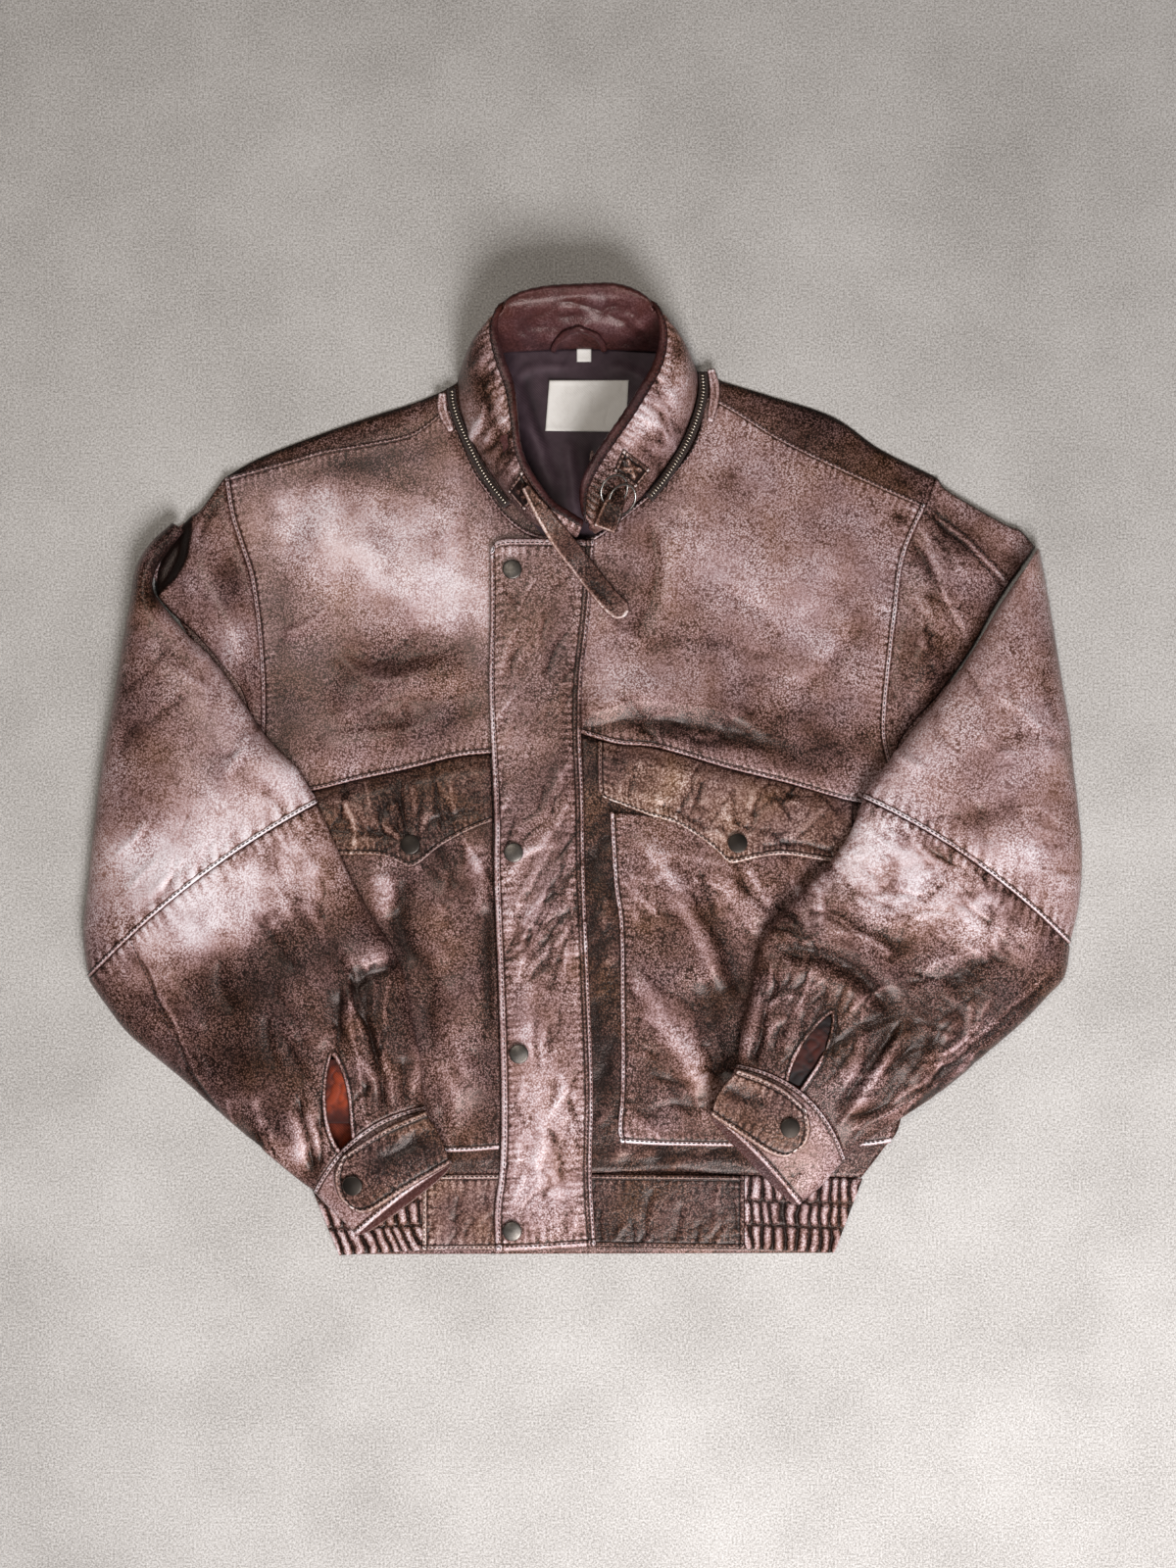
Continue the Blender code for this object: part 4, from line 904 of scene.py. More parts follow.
@dataclass
class Cloth:
    """A walled piece of cloth, as a grid of places at the middle of its wall.

    shut marks the rows whose last place is their first one, as all are on a tube.
    """

    name: str
    places: np.ndarray
    wall: float = 1.5
    wear_and_light: np.ndarray | float = 0.0
    shade: np.ndarray | float = 0.0
    shut: np.ndarray | None = None
    lined: Finish | None = None
    flip: bool = False
    cracks: float = 0.15

    def closed(self) -> np.ndarray:
        """Which rows are shut, one value for each."""
        return np.zeros(len(self.places), dtype=bool) if self.shut is None else self.shut

    def normals(self, placed: np.ndarray) -> np.ndarray:
        """Work out which way the piece faces.

        Args:
            placed: The placed grid.

        Returns:
            Its unit normals, pointing to the piece's outer side.
        """
        across = np.gradient(placed, axis=1)
        closed = self.closed()
        across[closed, 0] = across[closed, -1] = placed[closed, 1] - placed[closed, -2]
        normals = np.cross(across, np.gradient(placed, axis=0))
        normals /= np.maximum(np.linalg.norm(normals, axis=2, keepdims=True), 1e-12)
        return -normals if self.flip else normals

    def line(self, side: str, depth: float, rise: float = 0.0) -> np.ndarray:
        """A line on the piece's outer side at a given depth from one of its borders.

        Args:
            side: Which border: left, right, bottom or top.
            depth: How far in from the border.
            rise: How far above the outer side.

        Returns:
            Rows of placed coordinates and the normal there, six numbers each.
        """
        placed = SIGHT.place(self.places)
        normals = self.normals(placed)
        raised = placed + normals * (self.wall / 2 + rise) * MM
        raised[..., 2] = np.maximum(raised[..., 2], LOWEST * MM)
        both = np.concatenate([raised, normals], axis=2)
        if side in ("left", "right"):
            both = both.swapaxes(0, 1)
        if side in ("right", "top"):
            both = both[::-1]
        away = lengths_along(both[..., :3]) / MM
        picked = [[np.interp(depth, away[:, k], both[:, k, axis]) for axis in range(6)]
                  for k in range(both.shape[1])]
        return np.array(picked)

    def layers(self) -> list[np.ndarray]:
        """The placed grids of the piece's outer side, of its rim and of its inner side."""
        placed = SIGHT.place(self.places)
        normals = self.normals(placed)
        outward = np.zeros_like(placed)
        outward[0] += placed[0] - placed[1]
        outward[-1] += placed[-1] - placed[-2]
        sides = ~self.closed()
        outward[sides, 0] += placed[sides, 0] - placed[sides, 1]
        outward[sides, -1] += placed[sides, -1] - placed[sides, -2]
        outward /= np.maximum(np.linalg.norm(outward, axis=2, keepdims=True), 1e-12)
        half = normals * self.wall / 2 * MM
        layers = [placed + half, placed + outward * RIM_BULGE * self.wall * MM, placed - half]
        for layer, low in zip(layers, (normals[..., 2] > 0, 0.5, normals[..., 2] <= 0)):
            layer[..., 2] = np.maximum(layer[..., 2], LOWEST * MM * low)
        return layers

    def mesh(self, finish: Finish) -> bpy.types.Mesh:
        """Make the closed mesh: an outer side, an inner side, and a rounded rim along open borders.

        Args:
            finish: What the piece is made of.

        Returns:
            The mesh, with each place's wear and painted light, its painted shade, and how cracked it is.
        """
        layers = self.layers()
        rows, columns = layers[0].shape[:2]
        index = np.arange(rows * columns).reshape(rows, columns)
        index[self.closed(), -1] = index[self.closed(), 0]
        outer, rim, inner = (index + k * rows * columns for k in range(3))
        faces = np.stack([outer[:-1, :-1], outer[:-1, 1:], outer[1:, 1:], outer[1:, :-1]], axis=-1)
        faces = faces.reshape(-1, 4).tolist()
        outside = len(faces)
        faces += self.inner_faces(inner)
        inside = len(faces)
        faces += self.rim_faces((outer, rim, inner))
        step = -1 if self.flip else 1
        polygons = [list(dict.fromkeys(face))[::step] for face in faces]
        side = [outside <= number < inside for number, face in enumerate(polygons) if len(face) > 2]
        polygons = [face for face in polygons if len(face) > 2]
        used = np.unique(np.array(list(itertools.chain.from_iterable(polygons))))
        renamed = np.zeros(3 * rows * columns, dtype=int)
        renamed[used] = np.arange(len(used))
        points = np.vstack([layer.reshape(-1, 3) for layer in layers])[used]
        made = bpy.data.meshes.new(self.name)
        made.from_pydata(points.tolist(), [], [renamed[face].tolist() for face in polygons])
        made.materials.append(finish.material())
        if self.lined:
            made.materials.append(self.lined.material())
            made.polygons.foreach_set("material_index", np.array(side, dtype=np.int32))
        for name in ("wear_and_light", "shade", "cracks"):
            spread = np.tile(np.broadcast_to(getattr(self, name), (rows, columns)).ravel(), 3)[used]
            made.attributes.new(name, "FLOAT", "POINT").data.foreach_set("value", spread.astype(np.float32))
        made.update()
        made.shade_smooth()
        return made

    def rim_faces(self, layers: Sequence[np.ndarray]) -> list[list[int]]:
        """Join the outer side to the inner one along the open borders.

        Args:
            layers: The grids of numbers of the outer side's, the rim's and the inner side's places.

        Returns:
            The faces.
        """
        borders = [[layer[0, ::-1] for layer in layers], [layer[-1] for layer in layers]]
        for first, last in self.open_runs():
            borders.append([layer[first:last + 1, 0] for layer in layers])
            borders.append([layer[first:last + 1, -1][::-1] for layer in layers])
        return [face for border in borders for upper, lower in itertools.pairwise(border)
                for face in np.stack([upper[:-1], upper[1:], lower[1:], lower[:-1]], axis=-1).tolist()]

    def inner_faces(self, inner: np.ndarray) -> list[list[int]]:
        """Make the hidden side's faces: every other line of the grid will do there, but for the borders.

        Args:
            inner: The grid of numbers of the inner side's places.

        Returns:
            The faces.
        """
        rows, columns = inner.shape
        up = sorted({*range(0, rows - 1, 2), rows - 1})
        across = sorted({*range(0, columns - 1, 2), columns - 1})
        faces = []
        for (low, high), (left, right) in itertools.product(zip(up[:-1], up[1:]),
                                                            zip(across[:-1], across[1:])):
            bottom = inner[low, left:right + 1] if low == 0 else inner[low, [left, right]]
            top = inner[high, left:right + 1] if high == rows - 1 else inner[high, [left, right]]
            start = inner[low + 1:high, left] if left == 0 else inner[:0, 0]
            end = inner[low + 1:high, right] if right == columns - 1 else inner[:0, 0]
            faces.append(np.concatenate([bottom, end, top[::-1], start[::-1]])[::-1].tolist())
        return faces

    def open_runs(self) -> list[tuple[int, int]]:
        """Stretches of rows between which the side borders are open, as first and last row."""
        closed = self.closed()
        open_step = ~(closed[:-1] & closed[1:])
        starts = [k for k in range(len(open_step)) if open_step[k] and (k == 0 or not open_step[k - 1])]
        ends = [k + 1 for k in range(len(open_step))
                if open_step[k] and (k == len(open_step) - 1 or not open_step[k + 1])]
        return list(zip(starts, ends))

    def flat(self) -> tuple[float, float, float]:
        """What the piece was cut to, laid out flat: its width and length in metres, and its area.

        A strip that shows less than its seam allowance lets is taken as wide as it can be sewn.
        """
        placed = SIGHT.place(self.places)
        width = max(float(lengths_along(placed.swapaxes(0, 1))[-1].mean()), SEWN_WIDTH * MM)
        length = max(float(lengths_along(placed)[-1].mean()), SEWN_WIDTH * MM)
        crossed = np.cross(placed[1:, 1:] - placed[:-1, :-1], placed[1:, :-1] - placed[:-1, 1:])
        return width, length, min(float(np.linalg.norm(crossed, axis=2).sum()) / 2, width * length)

    def lay(self, finish: Finish, nodes: Sequence[str], held: str, rests_on: Sequence[str] = (),
            with_pieces: Sequence[bpy.types.Object] = ()) -> bpy.types.Object:
        """Make the piece in place of its CAD nodes, and log its faces and cut size.

        Args:
            finish: What it is made of.
            nodes: The CAD nodes that it stands for.
            rests_on: What it lies on; not used.
            with_pieces: Separate pieces on it; not used.

        Returns:
            The piece.
        """
        item = new_object(self.name, self.mesh(finish), finish)
        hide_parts(*nodes)
        width, length, area = self.flat()
        LOG.info("%s: %d faces, cut %.0f x %.0f mm", self.name, len(item.data.polygons), width / MM,
                 length / MM)
        return item


REPEAT_SIZES = ("Pitch", "Length", "Width", "Thickness")


@dataclass
class Repeat:
    """What is repeated along lines by Geometry Nodes: a stitch or a zip tooth.

    size is its length along the line, its width, and its thickness; pitch is the distance between two.
    """

    name: str
    size: tuple[float, float, float]
    pitch: float
    square: bool = False
    loosen: float = 0.06

    def tree(self, finish: Finish) -> bpy.types.NodeTree:
        """Build the Geometry Nodes tree, with its sizes as named inputs in metres.

        Args:
            finish: What the repeated pieces are made of.

        Returns:
            The tree.
        """
        tree = bpy.data.node_groups.new(self.name, "GeometryNodeTree")
        face = tree.interface
        face.new_socket("Lines", in_out="INPUT", socket_type="NodeSocketGeometry")
        for name in REPEAT_SIZES:
            face.new_socket(name, in_out="INPUT", socket_type="NodeSocketFloat")
        face.new_socket("Pieces", in_out="OUTPUT", socket_type="NodeSocketGeometry")
        given = add_node(tree, "NodeGroupInput").outputs
        curve = add_node(tree, "GeometryNodeMeshToCurve", inputs={"Mesh": given["Lines"]}).outputs[0]
        spots = add_node(tree, "GeometryNodeResampleCurve", {"mode": "LENGTH"}, {
            "Curve": curve, "Length": given["Pitch"]}).outputs[0]
        if self.square:
            unit = add_node(tree, "GeometryNodeMeshCube", inputs={"Size": (2.0, 2.0, 2.0)}).outputs["Mesh"]
        else:
            unit = add_node(tree, "GeometryNodeMeshUVSphere", inputs={
                "Segments": 6, "Rings": 4, "Radius": 1.0}).outputs["Mesh"]
            unit = add_node(tree, "GeometryNodeTransform", inputs={
                "Geometry": unit, "Rotation": (0.0, math.pi / 2, 0.0)}).outputs[0]
        half = {axis: product_of(tree, given[name], 0.5) for axis, name in enumerate(REPEAT_SIZES[1:])}
        scale = add_node(tree, "ShaderNodeCombineXYZ", inputs=half).outputs[0]
        lie = add_node(tree, "GeometryNodeInputNamedAttribute", {"data_type": "FLOAT_VECTOR"}, {
            "Name": "lie"}).outputs["Attribute"]
        tangent = add_node(tree, "GeometryNodeInputTangent").outputs[0]
        up = add_node(tree, "FunctionNodeAlignRotationToVector", {"axis": "Z"}, {"Vector": lie}).outputs[0]
        along = add_node(tree, "FunctionNodeAlignRotationToVector", {"axis": "X", "pivot_axis": "Z"}, {
            "Rotation": up, "Vector": tangent}).outputs[0]
        spread = add_node(tree, "FunctionNodeRandomValue", {"data_type": "FLOAT_VECTOR"}, {
            "Min": (-self.loosen,) * 3, "Max": (self.loosen,) * 3, "Seed": 3}).outputs[0]
        loose = add_node(tree, "FunctionNodeRotateRotation", {"rotation_space": "LOCAL"}, {
            "Rotation": along, "Rotate By": spread}).outputs[0]
        placed = add_node(tree, "GeometryNodeInstanceOnPoints", inputs={
            "Points": spots, "Instance": unit, "Rotation": loose, "Scale": scale}).outputs[0]
        real = add_node(tree, "GeometryNodeRealizeInstances", inputs={"Geometry": placed}).outputs[0]
        dressed = add_node(tree, "GeometryNodeSetMaterial", inputs={
            "Geometry": real, "Material": finish.material()}).outputs[0]
        add_node(tree, "NodeGroupOutput", inputs={"Pieces": dressed})
        return tree

    def run(self, name: str, lines: Sequence[np.ndarray], finish: Finish) -> bpy.types.Object:
        """Repeat the piece along lines.

        Args:
            name: The name of the piece that holds them all.
            lines: Each a row of places in metres and the normals there.
            finish: What they are made of.

        Returns:
            One plain mesh object with all of them.
        """
        points = np.vstack([line[:, :3] for line in lines])
        starts = np.cumsum([0] + [len(line) for line in lines])
        links = [(k, k + 1) for first, last in zip(starts[:-1], starts[1:]) for k in range(first, last - 1)]
        guide = bpy.data.meshes.new(name + "_guide")
        guide.from_pydata(points.tolist(), links, [])
        lie = np.vstack([line[:, 3:] for line in lines]).astype(np.float32)
        guide.attributes.new("lie", "FLOAT_VECTOR", "POINT").data.foreach_set("vector", lie.ravel())
        holder = bpy.data.objects.new(name + "_guide", guide)
        bpy.context.scene.collection.objects.link(holder)
        tree = bpy.data.node_groups.get(self.name) or self.tree(finish)
        repeat = holder.modifiers.new("repeat", "NODES")
        repeat.node_group = tree
        sockets = {item.name: item.identifier for item in tree.interface.items_tree
                   if item.in_out == "INPUT"}
        for socket, value in zip(REPEAT_SIZES, (self.pitch, *self.size)):
            repeat[sockets[socket]] = value * MM
        shown = holder.evaluated_get(bpy.context.evaluated_depsgraph_get())
        made = bpy.data.meshes.new_from_object(shown)
        made.name = name
        holder.modifiers.remove(repeat)
        bpy.data.objects.remove(holder)
        made.shade_smooth()
        return new_object(name, made, finish)


STITCH = Repeat("lockstitch", (2.6, 1.0, 0.7), 3.5)
TOOTH = Repeat("zip_tooth", (1.25, 3.6, 1.8), 2.4, square=True, loosen=0.02)


# Panels cut to an outline


SIDES = ("left", "right", "bottom", "top")


def softened(heights: np.ndarray, times: int) -> np.ndarray:
    """Smooth out the facets of a grid of heights.

    Args:
        heights: The heights.
        times: How often each place is drawn towards its neighbours.

    Returns:
        The smooth heights.
    """
    soft = heights.copy()
    for _ in range(times):
        padded = np.pad(soft, 1, mode="reflect", reflect_type="odd")
        soft = (padded[:-2, 1:-1] + padded[2:, 1:-1] + padded[1:-1, :-2] + padded[1:-1, 2:] + 4 * soft) / 8
    return soft


def drawn_in(plan: np.ndarray, gap: float) -> np.ndarray:
    """Move the borders of a plan in, clear of what they are sewn to.

    Args:
        plan: A grid of x and y.
        gap: How far its borders are moved.

    Returns:
        The new grid.
    """
    drawn = plan.copy()
    for line, inner in ((drawn[0], plan[1]), (drawn[-1], plan[-2]), (drawn[:, 0], plan[:, 1]),
                        (drawn[:, -1], plan[:, -2])):
        pull = inner - line
        line += pull * np.minimum(gap / np.maximum(np.linalg.norm(pull, axis=1, keepdims=True), 1e-6), 0.6)
    return drawn


def ribbon(path: Line, width: float | Sequence[float], step: float, across: int,
           round_end: float = 0.0) -> np.ndarray:
    """The plan of a strip along a path.

    Args:
        path: The strip's middle line.
        width: Its width, or its widths at even steps.
        step: The distance between rows.
        across: The places in a row.
        round_end: The radius that its far end is rounded to.

    Returns:
        A grid of x and y, rows running along the path and columns from its left-hand side to its right.
    """
    long = lengths_along(smooth_line(path, np.linspace(0, 1, 50)))[-1]
    shares = np.linspace(0, 1, max(3, round(long / step)))
    if round_end:
        shares = 1 - (1 - shares) ** 1.35
    line = smooth_line(path, shares)[:, :2]
    run = np.gradient(line, axis=0)
    side = np.stack([run[:, 1], -run[:, 0]], axis=1)
    side /= np.linalg.norm(side, axis=1, keepdims=True)
    widths = np.atleast_1d(width)
    half = np.interp(shares, np.linspace(0, 1, len(widths)), widths) / 2
    if round_end:
        into = np.clip(((shares - 1) * long + round_end) / round_end, 0, 0.985)
        half = half * np.sqrt(1 - into ** 2)
    return line[:, None] - side[:, None] * half[:, None, None] * np.linspace(1, -1, across)[None, :, None]


@dataclass
class Outline:
    """Four edges that meet at their corners: left and right run up, bottom and top run to +X."""

    left: Line
    right: Line
    bottom: Line
    top: Line

    def plan(self, step: float, borders: Mapping[str, Edge]) -> np.ndarray:
        """Fill the outline with a grid that is fine beside its stitched borders.

        Args:
            step: The distance between places away from the borders.
            borders: The borders that are finished, by side.

        Returns:
            A grid of x and y, rows running up.
        """
        probe = np.linspace(0, 1, 60)
        long = {side: lengths_along(smooth_line(getattr(self, side), probe))[-1] for side in SIDES}
        fine = {side: side in borders and borders[side].bead > 0 for side in SIDES}
        up = graded(max(long["left"], long["right"]), step, (fine["bottom"], fine["top"]))
        across = graded(max(long["bottom"], long["top"]), step, (fine["left"], fine["right"]))
        return fill(smooth_line(self.left, up), smooth_line(self.right, up),
                    smooth_line(self.bottom, across), smooth_line(self.top, across), up, across)


def straight(corners: Sequence[tuple[float, float]]) -> Outline:
    """The outline of a four-cornered piece: corners run from the lower left one to +X and round."""
    a, b, c, d = corners
    return Outline(left=(a, d), right=(b, c), bottom=(a, b), top=(d, c))


@dataclass
class Panel:
    """A piece of leather or cloth cut to an outline, creased by use, with its borders finished."""

    name: str
    outline: Outline | np.ndarray
    height: Height | np.ndarray | float | str
    relief: Relief = Relief()
    borders: Mapping[str, Edge] = field(default_factory=dict)
    step: float = 2.4
    wall: float = 1.5
    inset: float = 0.25
    fade: float = 6.0
    flip: bool = False

    def cloth(self) -> Cloth:
        """Shape the piece: a height given as a node's name is that of the CAD node's upper side."""
        if isinstance(self.outline, Outline):
            plan = drawn_in(self.outline.plan(self.step, self.borders), self.inset)
        else:
            plan = self.outline
        x, y = plan[..., 0], plan[..., 1]
        if isinstance(self.height, str):
            heights = softened(SIGHT.height_of(self.height, plan), SOFTENINGS) - self.wall / 2
        elif callable(self.height):
            heights = self.height(x, y)
        else:
            heights = np.zeros(x.shape) + self.height
        places = np.dstack([x, y, heights])
        lift, wear_and_light = self.relief.shape(places)
        row_run = lengths_along(plan.swapaxes(0, 1)).T
        column_run = lengths_along(plan)
        depths = {"left": row_run, "right": row_run[:, -1:] - row_run,
                  "bottom": column_run, "top": column_run[-1:] - column_run}
        along = {"left": column_run[:, :1], "right": column_run[:, -1:],
                 "bottom": row_run[:1], "top": row_run[-1:]}
        shade = np.zeros(x.shape)
        for side in SIDES:
            lift = lift * (0.25 + 0.75 * ease(depths[side] / self.fade))
        # Each border adds its wear, the painted light of its puckers, and painted shade along it.
        for side, edge in self.borders.items():
            raised, edge_wear_and_light, edge_shade = edge.shape(depths[side], np.broadcast_to(along[side], x.shape))
            lift, wear_and_light, shade = lift + raised, wear_and_light + edge_wear_and_light, shade + edge_shade
        places[..., 2] += lift
        return Cloth(self.name, places, self.wall, wear_and_light, shade, flip=self.flip, cracks=self.relief.cracks)


@dataclass
class Maker:
    """What the sub-assemblies share: each gathers the lines that it is sewn along."""

    seams: list[np.ndarray] = field(default_factory=list, init=False)

    def sew(self, cloth: Cloth, borders: Mapping[str, Edge]) -> None:
        """Gather the stitched lines along a piece's borders.

        Args:
            cloth: The piece.
            borders: How its borders are finished, by side.
        """
        for side, edge in borders.items():
            for depth in (edge.stitch_at, edge.second_stitch_at):
                if depth:
                    self.seams.append(cloth.line(side, depth, STITCH_RISE)[SEAM_ENDS])

    def panel(self, panel: Panel, finish: Finish, node: str, held: str = "laid",
              rests_on: Sequence[str] = ()) -> Cloth:
        """Make a panel in place of its CAD node, and gather its seams.

        Args:
            panel: The panel.
            finish: What it is made of.
            node: The CAD node.
            held: How the cloth is held.
            rests_on: What it lies on.

        Returns:
            The panel's cloth.
        """
        cloth = panel.cloth()
        self.sew(cloth, panel.borders)
        cloth.lay(finish, [node], held, rests_on)
        return cloth

    def finish_seams(self, name: str) -> None:
        """Put the stitches in along all the seams gathered."""
        item = STITCH.run(name, self.seams, Finish.thread)
        LOG.info("%s: %d seams, %d faces", name, len(self.seams), len(item.data.polygons))


# Heights of the layers, at the middle of each wall
BACK_MID = 1.1
LINING_MID = 3.1
FRONT_MID = 5.0
BAND_MID = 5.4
POCKET_MID = 7.5
FLAP_RISE = 2.6
PLACKET_MID = 8.8
PLACKET_HUMP = 3.4

# Lines that two pieces share
ARMHOLE_RIGHT = ((-250, -22), (-241, 4), (-238, 31), (-238, 64), (-240, 96), (-243, 123), (-247, 147),
                 (-254, 168), (-261, 191), (-265, 217))
ARMHOLE_LEFT = ((250, -28), (240, -12), (231, 7), (227, 31), (230, 72), (235, 115), (241, 158), (257, 197))
ARMHOLE_LEFT_WHOLE = ARMHOLE_LEFT + ((265, 217),)
YOKE_RIGHT = ((-250, -22), (-201, -16), (-168, -8), (-131, 0), (-95, 9), (-67, 12), (-3, 16))
YOKE_LEFT = ((0, 27), (28, 19), (58, 16), (110, 1), (154, -10), (205, -24), (250, -28))
SIDE_RIGHT = ((-204, -302), (-220, -284), (-232, -262), (-238, -200), (-243, -100), (-246, -60), (-250, -22))
SIDE_LEFT = ((209, -304), (225, -283), (238, -262), (243, -200), (246, -100), (248, -60), (250, -28))


def below(line: Line, x: np.ndarray, y: np.ndarray) -> np.ndarray:
    """How far each point is below a line that runs to +X."""
    line_x, line_y = zip(*line)
    return np.interp(x, line_x, line_y) - y


def placket_height(x: np.ndarray, y: np.ndarray) -> np.ndarray:
    """The placket rides over the zip, and higher where it passes the flap and the pocket's mouth."""
    return PLACKET_MID + np.exp(-((y + 25) / 62) ** 2) * PLACKET_HUMP * ease((12 - x) / 30)


@dataclass
class Body(Maker):
    """Back, chest panels and lower fronts: the stack that all else lies on."""

    back_step: float = 4.5
    back_wall: float = 2.0
    shoulder_right: Line = ((-265, 217), (-240, 224), (-215, 231), (-190, 238), (-160, 243), (-125, 251),
                            (-100, 268))
    shoulder_left: Line = ((97, 277), (151, 246), (203, 221), (257, 197))
    neck_right: Line = ((-100, 268), (-95, 258), (-81, 225), (-70, 209), (-58, 192), (-38, 177), (-3, 169))
    neck_left: Line = ((0, 170), (13, 175), (32, 189), (50, 204), (63, 214), (82, 236), (91, 257), (97, 277))
    back_top: Line = ((-265, 217), (-240, 231), (-200, 247), (-160, 261), (-120, 274), (-93, 287),
                      (-70, 305), (-30, 312), (0, 313), (30, 312), (70, 306), (93, 293), (140, 278),
                      (188, 262), (223, 238), (265, 217))
    back_roll: float = 2.6
    back_relief: Relief = Relief(wrinkle=0.3, cell=14, wear_and_light=-0.18, swell=0.2, seed=5)
    chest_right_relief: Relief = Relief(
        seed=21, cracks=0.05, wrinkle=0.12, cell=9, wear_and_light=0.02,
        folds=many(Folds,
            (-140, 60, (70, 60), 25, 7, 70, 0.14, 4.0), (-90, 160, (20, 40), 80, 6, 30, 0.15)),
        creases=many(Crease,
            (((-215, 178), (-170, 165), (-105, 132)), 34, 4.0),
            (((-190, 52), (-140, 66), (-85, 78)), 15, 2.6), (((-205, 10), (-150, 24), (-85, 48)), 13, 2.2),
            (((-97, 272), (-89, 252), (-77, 226), (-66, 208), (-54, 194), (-38, 182)), 6, -1.3, -0.3),
            (((-196, 76), (-130, 86), (-70, 104)), 14, -1.5, -0.04),
            (((-190, 190), (-190, 205), (-187, 220)), 3.0, -0.5, 0.15),
            (((-165, 30), (-120, 44), (-72, 62)), 7, -1.2, -0.12)),
        # The two big pale spots on the upper chest, and the two beside them, are painted sheen over the
        # wear.
        wear_and_light_spots=many(WearAndLightSpot,
            (-178, 176, (64, 38), -14, 0.95), (-98, 128, (50, 30), -28, 0.95),
            (-136, 146, (60, 26), -26, 0.3), (-120, 190, (50, 30), -20, 0.2),
            (-215, 198, (26, 10), 10, 0.25), (-168, 226, (70, 10), 12, -0.5),
            (-138, 214, (24, 12), -10, -0.45), (-95, 226, (12, 24), 0, 0.2),
            (-118, 80, (74, 20), 14, -0.22), (-98, 36, (46, 9), 24, -0.3), (-128, 54, (52, 8), 16, 0.2),
            (-224, 100, (10, 50), 0, -0.2), (-150, 8, (60, 10), 10, 0.16), (-222, 30, (14, 40), 0, -0.2)))
    chest_left_relief: Relief = Relief(
        seed=22, cracks=0.08, wrinkle=0.12, wear_and_light=0.26,
        folds=many(Folds, (80, 90, (60, 60), -20, 7, 60, 0.15, 3.5), (60, 30, (60, 14), -8, 10, 30, 0.3)),
        creases=many(Crease,
            (((60, 190), (120, 165), (190, 125)), 40, 3.0),
            (((-20, 40), (20, 47), (50, 54), (95, 46), (140, 28)), 11, 4.6, 0.05, -0.35),
            (((-24, 22), (12, 31), (40, 35), (70, 35), (98, 30), (134, 20), (176, 6)), 5.0, -1.5, -0.3),
            (((40, 84), (70, 96), (110, 92)), 5, -0.8, -0.15),
            (((150, 60), (176, 84), (200, 120)), 7, 1.2, 0.12),
            (((160, 52), (188, 78), (214, 112)), 5, -0.9, -0.12),
            (((30, 24), (100, 12), (160, -3), (215, -16)), 8, 1.8, 0.1),
            (((92, 292), (87, 258), (77, 237), (64, 216), (50, 200), (36, 188)), 6, -1.3, -0.3),
            (((48, 185), (58, 150), (48, 112), (40, 95)), 6, -1.6, -0.3),
            (((62, 182), (68, 150), (60, 120)), 8, 1.2, 0.1),
            (((62, 190), (80, 186), (98, 184)), 2.5, -0.7, 0.1),
            (((222, 120), (232, 117), (240, 115)), 3.0, -0.8, 0.2),
            (((212, 20), (222, 8), (232, 2)), 4, -1.0, -0.1)),
        # The dark spot along the yoke at (78, 32) is painted shadow under the fold, and the pale spots at
        # (74, 62) and (22, 62) are painted highlights on it.
        wear_and_light_spots=many(WearAndLightSpot,
            (130, 138, (50, 26), -20, 0.3), (190, 150, (34, 14), -32, 0.3), (78, 32, (90, 13), -6, -0.25),
            (120, 24, (110, 36), -12, -0.4), (74, 62, (52, 14), -6, 0.24), (22, 62, (9, 17), 0, 0.4),
            (30, 132, (18, 26), 0, -0.35), (112, 214, (14, 15), 0, -0.3), (238, 186, (10, 5), -30, -0.6),
            (210, 24, (34, 16), 0, -0.22), (60, 96, (34, 12), 0, -0.15), (52, 212, (10, 20), 20, -0.2)))
    lower_relief: Relief = Relief(
        seed=23, cracks=0.3, wrinkle=0.3, wear_and_light=-0.1,
        folds=many(Folds,
            (18, -150, (10, 140), 70, 26, 22, 0.4, 2.6), (70, -292, (60, 8), 8, 10, 40, 0.4, 2.2)),
        creases=many(Crease,
            (((34, -284), (60, -292), (100, -290), (140, -300)), 4, 1.4, 0.15),
            (((44, -298), (80, -287), (112, -283)), 3, -1.2, -0.3),
            (((-105, -296), (-86, -290), (-66, -292)), 4, 1.6, 0.25)),
        wear_and_light_spots=many(WearAndLightSpot,
            (16, -130, (11, 180), 0, -0.2, 0.5, 5, 1), (16, -200, (4, 60), 0, 0.15),
            (70, -290, (60, 9), 0, -0.05, 0.7, 7, 2.5), (180, -292, (40, 12), 0, 0.25),
            (-85, -292, (24, 9), 0, -0.1), (228, -288, (20, 12), 0, 0.05)))
    shoulder_seam: Edge = replace(PIPED, bead=0.35, bead_width=0.8, stitch_at=2.4, wear_and_light=0.5)

    def make(self) -> None:
        """Make the five pieces and sew them."""
        self.make_back()
        self.make_chest()
        self.make_lower()
        self.finish_seams("stitches_fronts")

    def make_back(self) -> None:
        """The back rolls over the shoulders' outline and comes up to the front's shoulder seams."""
        left = tuple(SIDE_RIGHT) + tuple(ARMHOLE_RIGHT[1:])
        right = tuple(SIDE_LEFT) + tuple(ARMHOLE_LEFT_WHOLE[1:])
        outline = Outline(left, right, (SIDE_RIGHT[0], SIDE_LEFT[0]), self.back_top)
        seam = self.shoulder_right + ((0, 285),) + self.shoulder_left

